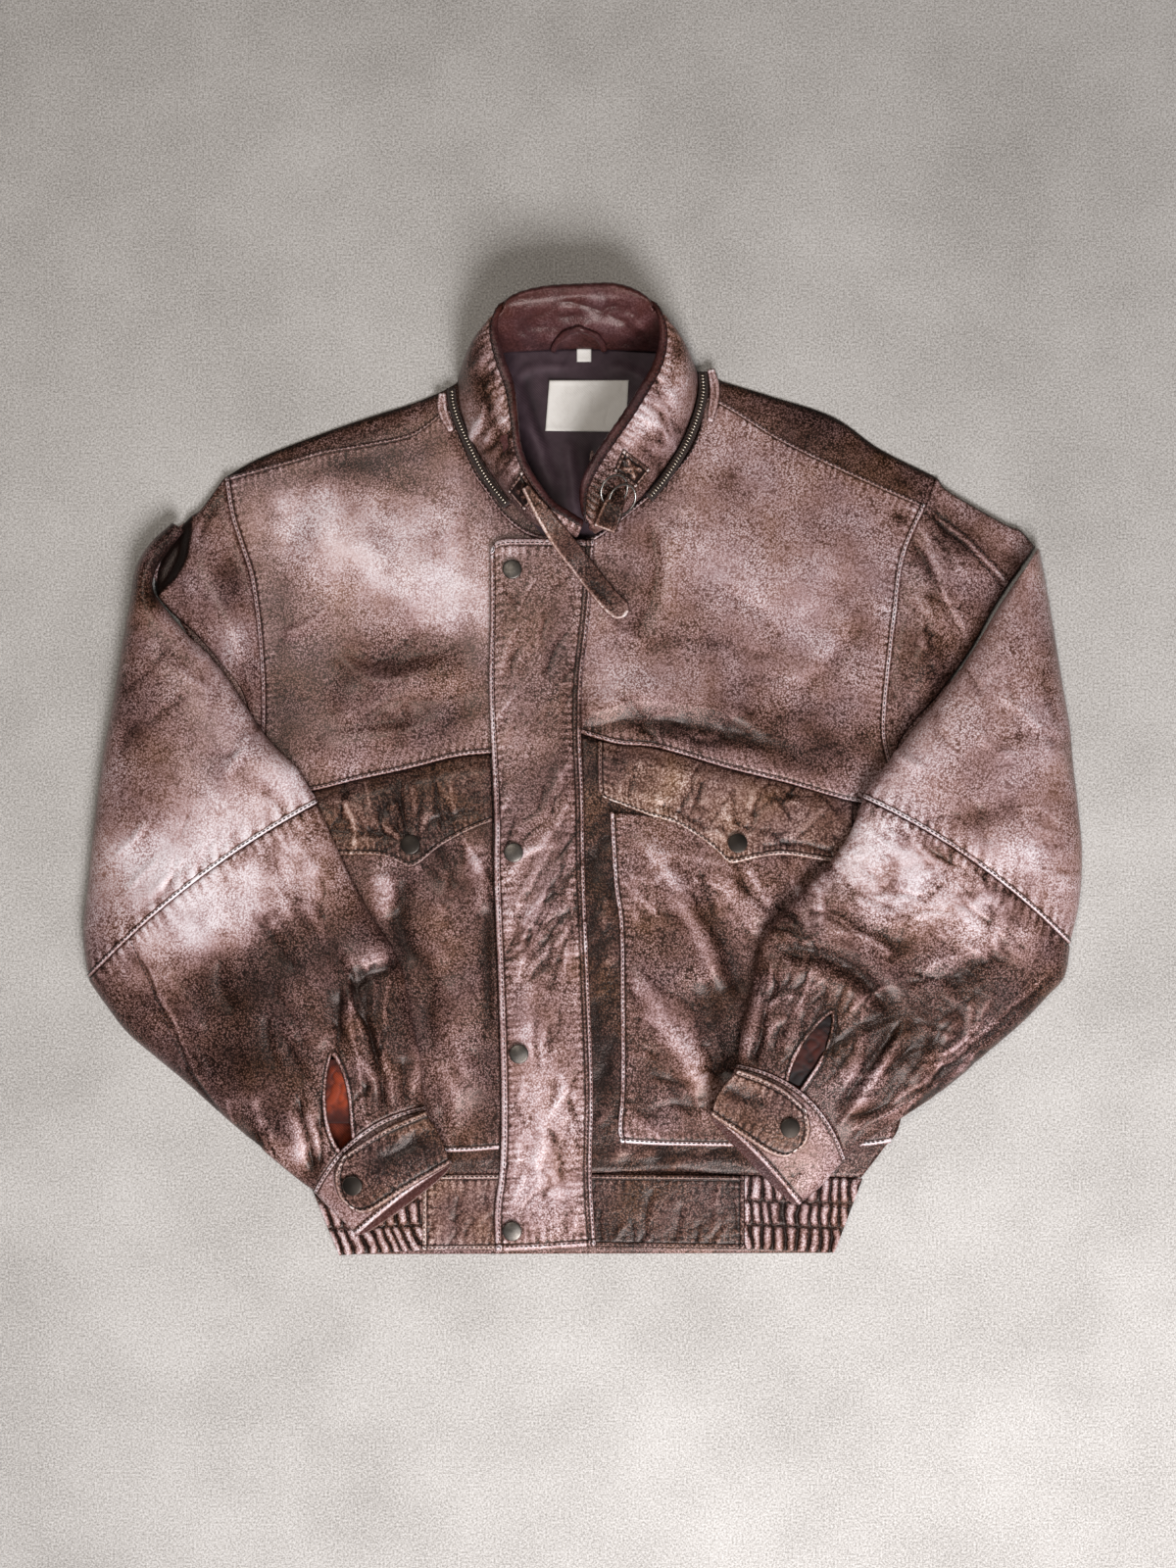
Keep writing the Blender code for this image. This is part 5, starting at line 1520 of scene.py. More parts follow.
        def height(x: np.ndarray, y: np.ndarray) -> np.ndarray:
            """The back's height, raised in the strip that shows beyond the shoulder seams."""
            over = below(self.back_top, x, y)
            strip = ease(over / 14) * ease(1 - (below(seam, x, y) - 2) / 24)
            return BACK_MID + self.back_roll * strip * ease((np.abs(x) - 84) / 14)

        roll = Edge(drop=0.8, roll=5.0)
        self.panel(Panel("back_leather", outline, height, self.back_relief, {"top": roll}, self.back_step,
                         self.back_wall), Finish.leather_brown, "back")

    def make_chest(self) -> None:
        """The chest panels, between the armholes, the shoulders, the neck and the yoke seams."""
        right = Outline(ARMHOLE_RIGHT, ((-3, 16), (-3, 169)), YOKE_RIGHT,
                        self.shoulder_right + self.neck_right[1:])
        left = Outline(((0, 27), (0, 170)), ARMHOLE_LEFT, YOKE_LEFT,
                       self.neck_left + self.shoulder_left[1:])
        for side, outline, relief, armhole in (("right", right, self.chest_right_relief, "left"),
                                               ("left", left, self.chest_left_relief, "right")):
            borders = {armhole: PIPED, "bottom": PIPED, "top": self.shoulder_seam}
            self.panel(Panel("chest_%s_leather" % side, outline, FRONT_MID, relief, borders, 2.5),
                       Finish.leather_brown, "front_upper_" + side, rests_on=["back"])

    def make_lower(self) -> None:
        """The lower fronts, mostly hidden by the pockets and the placket."""
        right = Outline(
            SIDE_RIGHT, ((-3, -301), (-3, 16)), ((-204, -302), (-118, -302), (-61, -301), (-3, -301)),
            YOKE_RIGHT)
        left = Outline(((0, -301), (0, 27)), SIDE_LEFT, ((0, -301), (61, -299), (121, -302), (209, -304)),
                       YOKE_LEFT)
        for side, outline in (("right", right), ("left", left)):
            panel = Panel("lower_front_%s_leather" % side, outline, FRONT_MID, self.lower_relief,
                          {"top": TUCKED}, 4.6)
            self.panel(panel, Finish.leather_dark, "front_lower_" + side, rests_on=["back"])


@dataclass
class Placket(Maker):
    """The snap placket: one long strip from the neck to the hem, turned in and stitched all round."""

    outline: Outline = field(
        default_factory=lambda: Outline(
            left=(
                (-63, -359), (-64, -329), (-60, -296), (-59, -245), (-61, -165), (-64, -84), (-64, -39),
                (-66, 11), (-68, 61), (-67, 112), (-67, 164)),
            right=(
                (11, -355), (8, -301), (9, -239), (6, -157), (3, -84), (2, -23), (0, 28), (1, 70), (5, 104),
                (8, 137), (10, 171)),
            bottom=((-63, -359), (-30, -358), (11, -355)),
            top=((-67, 164), (-60, 171), (-40, 172), (10, 171))))
    relief: Relief = Relief(
        seed=31, cracks=0.2, wrinkle=0.25, cell=7.5, stretch=2.6, turn=64, wear_and_light=0.14,
        folds=many(Folds,
            (-28, -105, (30, 70), 62, 34, 40, 0.45, 1.5), (-30, 60, (28, 90), 72, 16, 30, 0.35, 1.4),
            (-28, -260, (28, 80), 84, 24, 36, 0.4, 1.6)),
        creases=many(Crease,
            (((-62, -128), (-42, -92), (-20, -52)), 3.2, 1.1, 0.25),
            (((-52, -118), (-34, -84), (-12, -44)), 3.0, -0.9, -0.25),
            (((-40, -120), (-26, -90), (-8, -60)), 3.2, 0.9, 0.2),
            (((-50, -155), (-40, -120), (-34, -98)), 3.4, 0.9, 0.2),
            (((-38, -215), (-40, -180), (-36, -150)), 4.0, 1.1, 0.25),
            (((-30, -118), (-14, -108), (2, -104)), 2.2, -0.8, -0.2),
            (((-58, 140), (-50, 128), (-40, 122)), 3, -0.6, -0.15),
            (((-34, -300), (-30, -262), (-36, -226)), 5.0, 1.0, 0.2),
            (((-12, -330), (-14, -290), (-8, -250)), 3.2, -0.8, -0.1)),
        # The pale spots at the top corner (-50, 163) and low down (-28, -300) are painted sheen over the
        # wear.
        wear_and_light_spots=many(WearAndLightSpot,
            (-50, 163, (18, 7), 0, 0.35), (-35, 60, (24, 60), 0, -0.12), (-14, 30, (10, 80), 0, -0.2),
            (-28, -300, (26, 56), 0, 0.6, 0.3, 6), (-34, -110, (24, 50), 50, 0.16, 0.3),
            (-28, -215, (26, 46), 0, 0.35), (-40, 20, (20, 10), 0, 0.15), (-30, -10, (30, 14), 0, -0.15),
            (-45, -180, (8, 40), 0, 0.2), (-22, -190, (8, 40), 0, -0.1), (-38, 125, (16, 10), 0, -0.1)))
    joined: Edge = replace(PIPED, stitch_at=2.4, second_stitch_at=5.4, bead_at=1.1, bead_width=0.8,
                           wear_and_light=0.55, pucker=0.12)

    def make(self) -> None:
        """Make the placket and its stitching."""
        turned_in = replace(ROLLED, bead=0.9, wear_and_light=0.4)
        borders = {"left": turned_in, "top": turned_in, "bottom": turned_in, "right": self.joined}
        self.panel(Panel("placket_leather", self.outline, placket_height, self.relief, borders, 1.7),
                   Finish.leather_brown, "placket", rests_on=["front_upper_right", "front_lower_right"])
        self.finish_seams("stitches_placket")


@dataclass
class Pocket(Maker):
    """One patch pocket and its flap, pointed where the snap is."""

    side: str
    bag: Outline
    flap: Outline
    seam: Line
    bag_relief: Relief
    flap_relief: Relief
    bag_borders: Mapping[str, Edge]
    flap_borders: Mapping[str, Edge]

    def flap_height(self, x: np.ndarray, y: np.ndarray) -> np.ndarray:
        """The flap leaves its seam low, under the piped edge, and rises on to the pocket."""
        return POCKET_MID - 0.9 + (FLAP_RISE + 0.9) * ease(below(self.seam, x, y) / 15)

    def make(self) -> None:
        """Make the bag, the flap and their stitching."""
        self.panel(Panel("pocket_%s_leather" % self.side, self.bag, POCKET_MID, self.bag_relief,
                         self.bag_borders, 2.1), Finish.leather_brown, "pocket_" + self.side,
                   rests_on=["front_lower_" + self.side])
        self.panel(Panel("flap_%s_leather" % self.side, self.flap, self.flap_height, self.flap_relief,
                         self.flap_borders, 1.4), Finish.leather_dark, "flap_" + self.side,
                   rests_on=["pocket_" + self.side])
        self.finish_seams("stitches_pocket_" + self.side)


def snap_wrinkles(x: float, y: float, spread: Sequence[float], long: float) -> tuple[Crease, ...]:
    """Fine creases that fan out from a snap.

    Args:
        x: The snap's place.
        y: The snap's place.
        spread: The directions of the creases, in degrees from +X.
        long: How long they are.

    Returns:
        Ridges and troughs in turn.
    """
    made = []
    for number, angle in enumerate(spread):
        ux, uy = math.cos(math.radians(angle)), math.sin(math.radians(angle))
        far = long * (0.8 + 0.3 * math.sin(5 * number))
        bend = 0.12 * far * math.sin(3 * number + 1)
        path = ((x + 9 * ux, y + 9 * uy), (x + far / 2 * ux - bend * uy, y + far / 2 * uy + bend * ux),
                (x + far * ux, y + far * uy))
        sign = 1 if number % 2 else -1
        made.append(Crease(path, 2.0, 1.1 * sign, wear_and_light=0.45 * sign))
    return tuple(made)


def make_pockets() -> None:
    """Both pockets; the wearer's right one is partly under its sleeve."""
    side_edge = replace(PIPED, wear_and_light=0.7, stitch_at=3.0, bead=0.4)
    hem_edge = replace(PIPED, wear_and_light=0.95, bead=0.55, bead_width=1.3, stitch_at=3.4)
    right = Pocket(
        side="right", seam=YOKE_RIGHT,
        bag=Outline(
            left=((-225, -278), (-230, -200), (-234, -100), (-222, -44)),
            right=((-61, -283), (-60.5, -245), (-62.5, -165), (-65.5, -84), (-66, -36)),
            bottom=((-225, -278), (-200, -282), (-101, -285), (-61, -283)),
            top=((-222, -44), (-150, -36), (-66, -36))),
        flap=Outline(
            left=((-198, -64), (-200, -40), (-200, -17)), right=((-66, -39), (-67, -14), (-68, 11)),
            bottom=(
                (-198, -64), (-176, -64), (-156, -64), (-143, -66), (-134, -70), (-127, -73), (-119, -69),
                (-107, -59), (-92, -50), (-77, -43), (-66, -39)),
            top=((-200, -17), (-168, -9), (-131, -1), (-95, 8), (-68, 11))),
        bag_relief=Relief(
            seed=41, cracks=0.15, wrinkle=0.2, cell=9, wear_and_light=-0.1,
            folds=many(Folds,
                (-100, -80, (34, 30), -62, 12, 30), (-110, -230, (40, 40), -80, 8, 50, 0.2, 3.0)),
            creases=many(Crease,
                (((-146, -74), (-147, -92), (-143, -110)), 8, 3.4, 0.35),
                (((-128, -78), (-136, -104), (-126, -150)), 7, -2.2, -0.45),
                (((-82, -62), (-74, -84), (-76, -108)), 6, 2.6, 0.4),
                (((-98, -84), (-108, -110), (-106, -150)), 10, 2.4, 0.1),
                (((-118, -130), (-112, -170), (-116, -210)), 7, -1.6, -0.25),
                (((-96, -150), (-92, -200), (-88, -255)), 15, 3.0, 0.08),
                (((-72, -110), (-70, -150), (-68, -200)), 4, -1.4, -0.4)),
            wear_and_light_spots=many(WearAndLightSpot,
                (-147, -90, (9, 17), 8, 0.5, 0.4, 4.5, 1.2), (-78, -66, (12, 12), 0, 0.35, 0.3, 5),
                (-68, -120, (5, 60), 0, -0.5), (-105, -110, (16, 26), 0, 0.1),
                (-92, -240, (22, 26), 0, 0.08), (-134, -130, (8, 40), 0, -0.4),
                (-70, -262, (10, 18), 0, -0.2))),
        flap_relief=Relief(
            seed=42, cracks=0.3, wrinkle=0.35, cell=6.5, stretch=1.8, turn=70, wear_and_light=0.0,
            folds=many(Folds,
                (-132, -28, (50, 18), 98, 20, 38, 0.5, 1.4, 12),
                (-130, -50, (60, 14), 12, 10, 26, 0.4, 1.4)),
            creases=snap_wrinkles(-127, -56, (42, 58, 76, 88, 98, 112, 128, 146, 160), 46) + many(Crease,
                (((-192, -44), (-170, -46), (-146, -50)), 3.0, -1.3, -0.4),
                (((-190, -22), (-168, -28), (-150, -42)), 3.4, 1.2, 0.2),
                (((-108, -42), (-92, -34), (-72, -30)), 3.0, -1.1, -0.35)),
            wear_and_light_spots=many(WearAndLightSpot,
                (-176, -55, (22, 5), 0, 0.3), (-96, -46, (22, 5), 30, 0.3), (-84, -8, (14, 14), 0, 0.12),
                (-150, -20, (20, 12), 0, -0.1))),
        bag_borders={"bottom": hem_edge}, flap_borders={"bottom": WELTED, "top": TUCKED})
    left = Pocket(
        side="left", seam=YOKE_LEFT,
        bag=Outline(
            left=((30, -278), (28, -266), (30, -239), (30, -177), (29, -116), (25, -84), (22, -32)),
            right=((231, -278), (235, -240), (236, -180), (236, -100), (222, -48)),
            bottom=((30, -278), (61, -280), (116, -281), (200, -281), (231, -278)),
            top=((22, -32), (120, -42), (222, -48))),
        flap=Outline(
            left=((18, -21), (14, -16), (13, 0), (13, 21)), right=((202, -70), (202, -48), (202, -24.5)),
            bottom=(
                (18, -21), (51, -34), (73, -41), (95, -55), (105, -64), (113, -70), (132, -66), (154, -64),
                (186, -69), (202, -70)),
            top=((13, 21), (28, 18.2), (58, 15), (110, 0), (154, -11), (202, -24.5))),
        bag_relief=Relief(
            seed=43, cracks=0.2, wrinkle=0.25, cell=8, wear_and_light=-0.02,
            folds=many(Folds,
                (120, -95, (60, 24), -50, 20, 30), (64, -120, (30, 60), -55, 14, 36, 0.3),
                (70, -240, (36, 34), -30, 14, 30, 0.3)),
            creases=many(Crease,
                (((40, -46), (62, -78), (84, -118), (104, -166)), 9, 6.0, 0.5, -0.3),
                (((76, -88), (104, -132), (122, -172)), 8, -2.4, -0.5),
                (((96, -66), (118, -92), (138, -118)), 8, 3.0, 0.2),
                (((38, -146), (60, -184), (82, -222), (96, -246)), 8, 4.2, 0.35),
                (((88, -158), (98, -200), (104, -236)), 10, -2.6, -0.6),
                (((40, -62), (58, -70), (74, -76)), 2.4, -0.8, -0.2),
                (((34, -78), (52, -82), (66, -78)), 2.4, 0.7, 0.25),
                (((56, -62), (84, -66), (104, -72)), 2.6, 0.8, 0.25),
                (((44, -208), (60, -212), (78, -220)), 2.6, -0.6, -0.12),
                (((46, -258), (74, -250), (96, -258)), 3, -0.7, -0.12),
                (((150, -66), (158, -84), (168, -92)), 3.0, 1.2, 0.3)),
            wear_and_light_spots=many(WearAndLightSpot,
                (50, -230, (14, 34), 0, -0.16), (84, -214, (9, 34), 28, 0.28, 0.5, 4.5, 1.3),
                (112, -190, (12, 50), 12, -0.55), (66, -120, (12, 26), 24, -0.1),
                (52, -66, (18, 14), -30, 0.1), (40, -110, (8, 30), 0, 0.05), (60, -270, (34, 7), 0, 0.15),
                (104, -96, (12, 20), 30, 0.15))),
        flap_relief=Relief(
            seed=44, cracks=0.3, wrinkle=0.35, cell=6.5, stretch=1.4, turn=-18, wear_and_light=0.34,
            folds=many(Folds,
                (100, -22, (85, 24), 66, 24, 28, 0.4, 1.4), (110, -36, (80, 20), -14, 16, 34, 0.4, 1.4)),
            creases=snap_wrinkles(117, -55, (20, 38, 55, 72, 95, 118, 140, 158), 40) + many(Crease,
                (((52, -26), (76, -34), (98, -46)), 3.2, -1.5, -0.5),
                (((60, 10), (92, 2), (130, -8)), 3.6, -0.9, -0.25),
                (((134, -58), (160, -56), (196, -62)), 2.8, -1.2, -0.4)),
            wear_and_light_spots=many(WearAndLightSpot,
                (74, -8, (20, 12), -20, 0.18), (60, -30, (34, 5), -22, 0.25),
                (150, -36, (26, 12), -16, 0.14), (30, 6, (14, 14), 0, -0.22),
                (190, -46, (16, 24), 0, -0.25), (112, -30, (14, 12), 0, 0.1))),
        bag_borders={"bottom": hem_edge, "left": side_edge},
        flap_borders={"bottom": WELTED, "top": TUCKED, "left": replace(PIPED, wear_and_light=0.35)})
    for pocket in (right, left):
        pocket.make()


@dataclass
class Waistband(Maker):
    """The hem: plain bands beside the placket, gathered elastic towards the sides, and the back's band."""

    elastic_right: tuple = ((-180, -362), (-118.3, -358), (-118.3, -302.7), (-204, -303))
    elastic_left: tuple = ((122.3, -357), (189, -360), (210, -305), (122.3, -303))
    band_right: tuple = ((-117.7, -358), (-3, -357), (-3, -301.8), (-117.7, -302.4))
    band_left: tuple = ((0, -355), (121.7, -357), (121.7, -303), (0, -301.8))
    band_back: tuple = ((-178, -361), (186, -360), (206, -304.5), (-196, -302.8))
    channels: tuple[float, ...] = (0.34, 0.67)
    gather: float = 8.4
    gather_rise: float = 2.6

    def make(self) -> None:
        """Make the five pieces and their stitching."""
        border = replace(PIPED, wear_and_light=0.5, stitch_at=3.0, pucker=0.15)
        for side, corners, seed in (("right", self.band_right, 51), ("left", self.band_left, 52)):
            relief = Relief(
                seed=seed, cracks=0.2, wrinkle=0.25, cell=7, stretch=2.2, turn=6,
                wear_and_light=0.4 if side == "right" else -0.12,
                folds=many(Folds,
                    (60, -330, (55, 22), 76, 16, 30, 0.25), (-80, -330, (34, 22), 70, 12, 26, 0.3)),
                wear_and_light_spots=many(WearAndLightSpot,
                    (70, -330, (30, 14), 0, 0.2), (-90, -318, (20, 8), 0, 0.1),
                    (30, -345, (20, 10), 0, -0.2)))
            borders = {"top": border, "bottom": border, "left" if side == "right" else "right": border}
            panel = Panel("waistband_%s_leather" % side, straight(corners), BAND_MID, relief, borders, 1.6,
                          1.8)
            self.panel(panel, Finish.leather_dark, "waistband_" + side, rests_on=["waistband_back"])
        panel = Panel("waistband_back_leather", straight(self.band_back), BACK_MID, Relief(seed=53), {}, 4.0,
                      2.0)
        self.panel(panel, Finish.leather_brown, "waistband_back")
        for side, corners in (("right", self.elastic_right), ("left", self.elastic_left)):
            self.make_elastic(side, corners)
        self.finish_seams("stitches_waistband")

    def make_elastic(self, side: str, corners: tuple) -> None:
        """Make leather gathered on elastic: upright folds, pinched flat along two stitched rows.

        Args:
            side: The wearer's side, right or left.
            corners: Its corners from the lower left one to +X and round.
        """
        plan = drawn_in(straight(corners).plan(1.0, {}), 0.25)
        up = lengths_along(plan)
        up = up / up[-1:]
        across = lengths_along(plan.swapaxes(0, 1)).T
        spots = np.dstack([plan, np.zeros(plan.shape[:2])])
        spots[..., 2] = 60 * np.digitize(up, self.channels)
        sway = 5.5 * gradient_noise(spots, (26, 30, 30), 61) + 1.2 * gradient_noise(spots, 9, 62)
        wave = np.cos(2 * math.pi * (across + sway) / self.gather)
        pinch = np.ones_like(up)
        for channel in self.channels:
            pinch = pinch * (1 - 0.8 * np.exp(-((up - channel) / 0.035) ** 2))
        ends = ease(up / 0.06 + 0.3) * ease((1 - up) / 0.06 + 0.3)
        fine = gradient_noise(spots, (4, 12, 9), 63)
        heights = BAND_MID - 0.9 + (self.gather_rise * (0.5 + 0.5 * wave) ** 0.8 + 0.3 * fine) * pinch * ends
        # Painted light and shade: the gathers' crests are painted lighter, and their troughs and the pinched
        # channels darker.
        wear_and_light = (0.42 * wave + 0.2 * fine) * pinch + 0.12
        shade = 0.75 * (0.5 - 0.5 * wave) ** 2 * pinch + 0.5 * (1 - pinch)
        cloth = Cloth("elastic_%s_leather" % side, np.dstack([plan, heights]), 1.4, wear_and_light, shade)
        cloth.lay(Finish.leather_brown, ["waist_elastic_" + side], "gathered", ["waistband_back"])
        reach = lengths_along(plan)[-1].mean()
        for channel in self.channels:
            self.seams.append(cloth.line("bottom", channel * reach, 0.1)[SEAM_ENDS])


# Sleeves


# Edge of the stack that lies under each sleeve: its reach from the middle at each Y, and its height
STACK_Y = (-365, -320, -305, -278, -200, -100, -22, 30, 80, 120, 150, 180)
STACK_RIGHT = (183, 206, 226, 237, 242, 249, 256, 265, 284, 306, 324, 324)
STACK_LEFT = (190, 212, 227, 243, 250, 253, 257, 265, 284, 308, 330, 330)
STACK_HIGH = 7.6
STACK_LOW = 12.6


def under_sleeve(x: np.ndarray, y: np.ndarray) -> np.ndarray:
    """Find the top of what a sleeve lies on: the stack of panels, and the floor beyond its edge.

    Args:
        x: The x of each place.
        y: The y of each place.

    Returns:
        The heights.
    """
    edge = np.where(x < 0, np.interp(y, STACK_Y, STACK_RIGHT), np.interp(y, STACK_Y, STACK_LEFT))
    stack = STACK_HIGH + (STACK_LOW - STACK_HIGH) * ease((25 - y) / 30)
    return stack * ease((edge + 17 - np.abs(x)) / 13)


@dataclass(frozen=True)
class Slit:
    """The opening above a cuff: its place across the sleeve at its top and at the cuff, and its width.

    It starts at the share top of the length, and is widest part of the way down.
    """

    across: tuple[float, float]
    wide: float
    top: float
    border: Edge = Edge(drop=0.3, roll=0.8, bead=0.5, bead_at=1.3, bead_width=1.2, stitch_at=3.2, wear_and_light=0.5)

    def angles(self, part: float, reach: float) -> tuple[float, float]:
        """Find the opening on one ring of the sleeve.

        Args:
            part: How far down the sleeve the ring is, from 0 to 1.
            reach: The ring's width.

        Returns:
            Where the opening's middle is round the ring, and half its width there, as angles.
        """
        down = max(0.0, (part - self.top) / (1 - self.top))
        start = math.acos(1 - 2 * (self.across[0] * (1 - down) + self.across[1] * down))
        return start, self.wide * math.sin(0.78 * math.pi * min(down, 1.0) ** 0.8) / reach


@dataclass
class Tube:
    """A length of sleeve lying flat: its underside is flat, and its upper side crowns between two folds.

    Each station is the outer fold's place, the inner fold's place, the height of the crown, and how far the
    ring bows up the sleeve. Rings start on the upper side, at the slit, and run round over the outer fold.
    """

    name: str
    stations: Sequence[tuple]
    relief: Relief
    ends: Mapping[str, Edge] = field(default_factory=dict)
    slit: Slit | None = None
    step: float = 1.9
    lengthen: float = 0.0
    wall: float = 1.5
    flip: bool = False
    edge_share: float = 0.10
    crown_power: float = 0.75
    upper: np.ndarray | None = field(default=None, init=False)

    def rings(self) -> tuple[np.ndarray, np.ndarray]:
        """Lay the rings out.

        Returns:
            The grid of places, and which rings are shut.
        """
        flat = np.array([(*outer, *inner, crown, bow) for outer, inner, crown, bow in self.stations])
        probe = smooth_line(flat, np.linspace(0, 1, 60))
        middle = (probe[:, 0:2] + probe[:, 2:4]) / 2
        shares = graded(lengths_along(middle)[-1], self.step, ("bottom" in self.ends, "top" in self.ends))
        lines = smooth_line(flat, shares)
        axis = np.gradient((lines[:, 0:2] + lines[:, 2:4]) / 2, axis=0)
        widest = np.linalg.norm(lines[:, 2:4] - lines[:, 0:2], axis=1).max()
        columns = round(1.75 * widest / self.step)
        rings = np.zeros((len(lines), columns, 3))
        self.upper = np.zeros((len(lines), columns))
        for row, (ox, oy, ix, iy, crown, bow) in enumerate(lines):
            outer, inner = np.array([ox, oy]), np.array([ix, iy])
            chord = inner - outer
            reach = np.linalg.norm(chord)
            up_sleeve = np.array([-chord[1], chord[0]]) / reach
            up_sleeve = -up_sleeve if up_sleeve @ axis[row] > 0 else up_sleeve
            start, half = self.slit.angles(shares[row], reach) if self.slit else (math.pi / 2, 0.0)
            table = np.linspace(start - half, start - 2 * math.pi + half, 400)
            density = (0.3 + np.abs(np.sin(table))) * np.where(np.sin(table) > -0.12, 1.0, 0.36)
            weight = np.concatenate([[0], np.cumsum((density[1:] + density[:-1]) / 2)])
            angles = np.interp(np.linspace(0, weight[-1], columns), weight, table)
            share = (1 - np.cos(angles)) / 2
            plan = outer + chord * share[:, None] + up_sleeve * (bow * 4 * share * (1 - share))[:, None]
            if self.lengthen:
                longer = self.lengthen * shares[row] * np.clip(-np.sin(angles), 0, 1)
                plan = plan - up_sleeve * longer[:, None]
            floor = under_sleeve(plan[:, 0], plan[:, 1]) + 0.2 + self.wall / 2
            top = np.maximum(crown - 0.3, floor + 6)
            height = np.abs(np.sin(angles))
            above = self.edge_share + (1 - self.edge_share) * height ** self.crown_power
            rise = np.where(np.sin(angles) < 0, self.edge_share * (1 - height), above)
            rings[row, :, :2] = plan
            rings[row, :, 2] = floor + (top - floor) * rise
            self.upper[row] = ease((np.sin(angles) + 0.25) / 0.5)
        shut = shares <= self.slit.top if self.slit else np.ones(len(lines), dtype=bool)
        rings[shut, -1] = rings[shut, 0]
        return rings, shut

    def cloth(self, lined: Finish) -> Cloth:
        """Shape the tube, with its creases on the side that is seen and its ends finished.

        Args:
            lined: What its inner side is made of.

        Returns:
            The tube.
        """
        rings, shut = self.rings()
        base = Cloth(self.name, rings, self.wall, shut=shut, flip=self.flip)
        normals = base.normals(SIGHT.place(rings))
        lift, wear_and_light = self.relief.shape(rings)
        seam = ease(np.minimum(lengths_along(rings), lengths_along(rings[::-1])[::-1]) / 7)
        lift = lift * (0.35 + 0.65 * seam)
        round_run = lengths_along(rings.swapaxes(0, 1)).T
        down = lengths_along(rings)
        shade = np.zeros(lift.shape)
        for side, edge in self.ends.items():
            depth = down if side == "bottom" else down[-1:] - down
            along = np.broadcast_to(round_run.mean(axis=0)[None], down.shape)
            raised, edge_wear_and_light, edge_shade = edge.shape(depth, along)
            lift, wear_and_light, shade = lift + raised, wear_and_light + edge_wear_and_light, shade + edge_shade
        if self.slit:
            first = int(np.argmin(shut))
            above = np.maximum(down[first, 0] - down, 0)
            depth = np.hypot(np.minimum(round_run, round_run[:, -1:] - round_run), above)
            raised, edge_wear_and_light, edge_shade = self.slit.border.shape(depth, down)
            lift, wear_and_light, shade = lift + raised, wear_and_light + edge_wear_and_light, shade + edge_shade
        mask = 0.12 + 0.88 * self.upper
        places = rings + normals * (lift * mask)[..., None]
        places[..., 2] = np.maximum(places[..., 2], rings[..., 2] - 3 * self.upper - 0.1)
        places[shut, -1] = places[shut, 0]
        return Cloth(self.name, places, self.wall, wear_and_light * mask, shade * mask, shut, lined, self.flip,
                     self.relief.cracks)


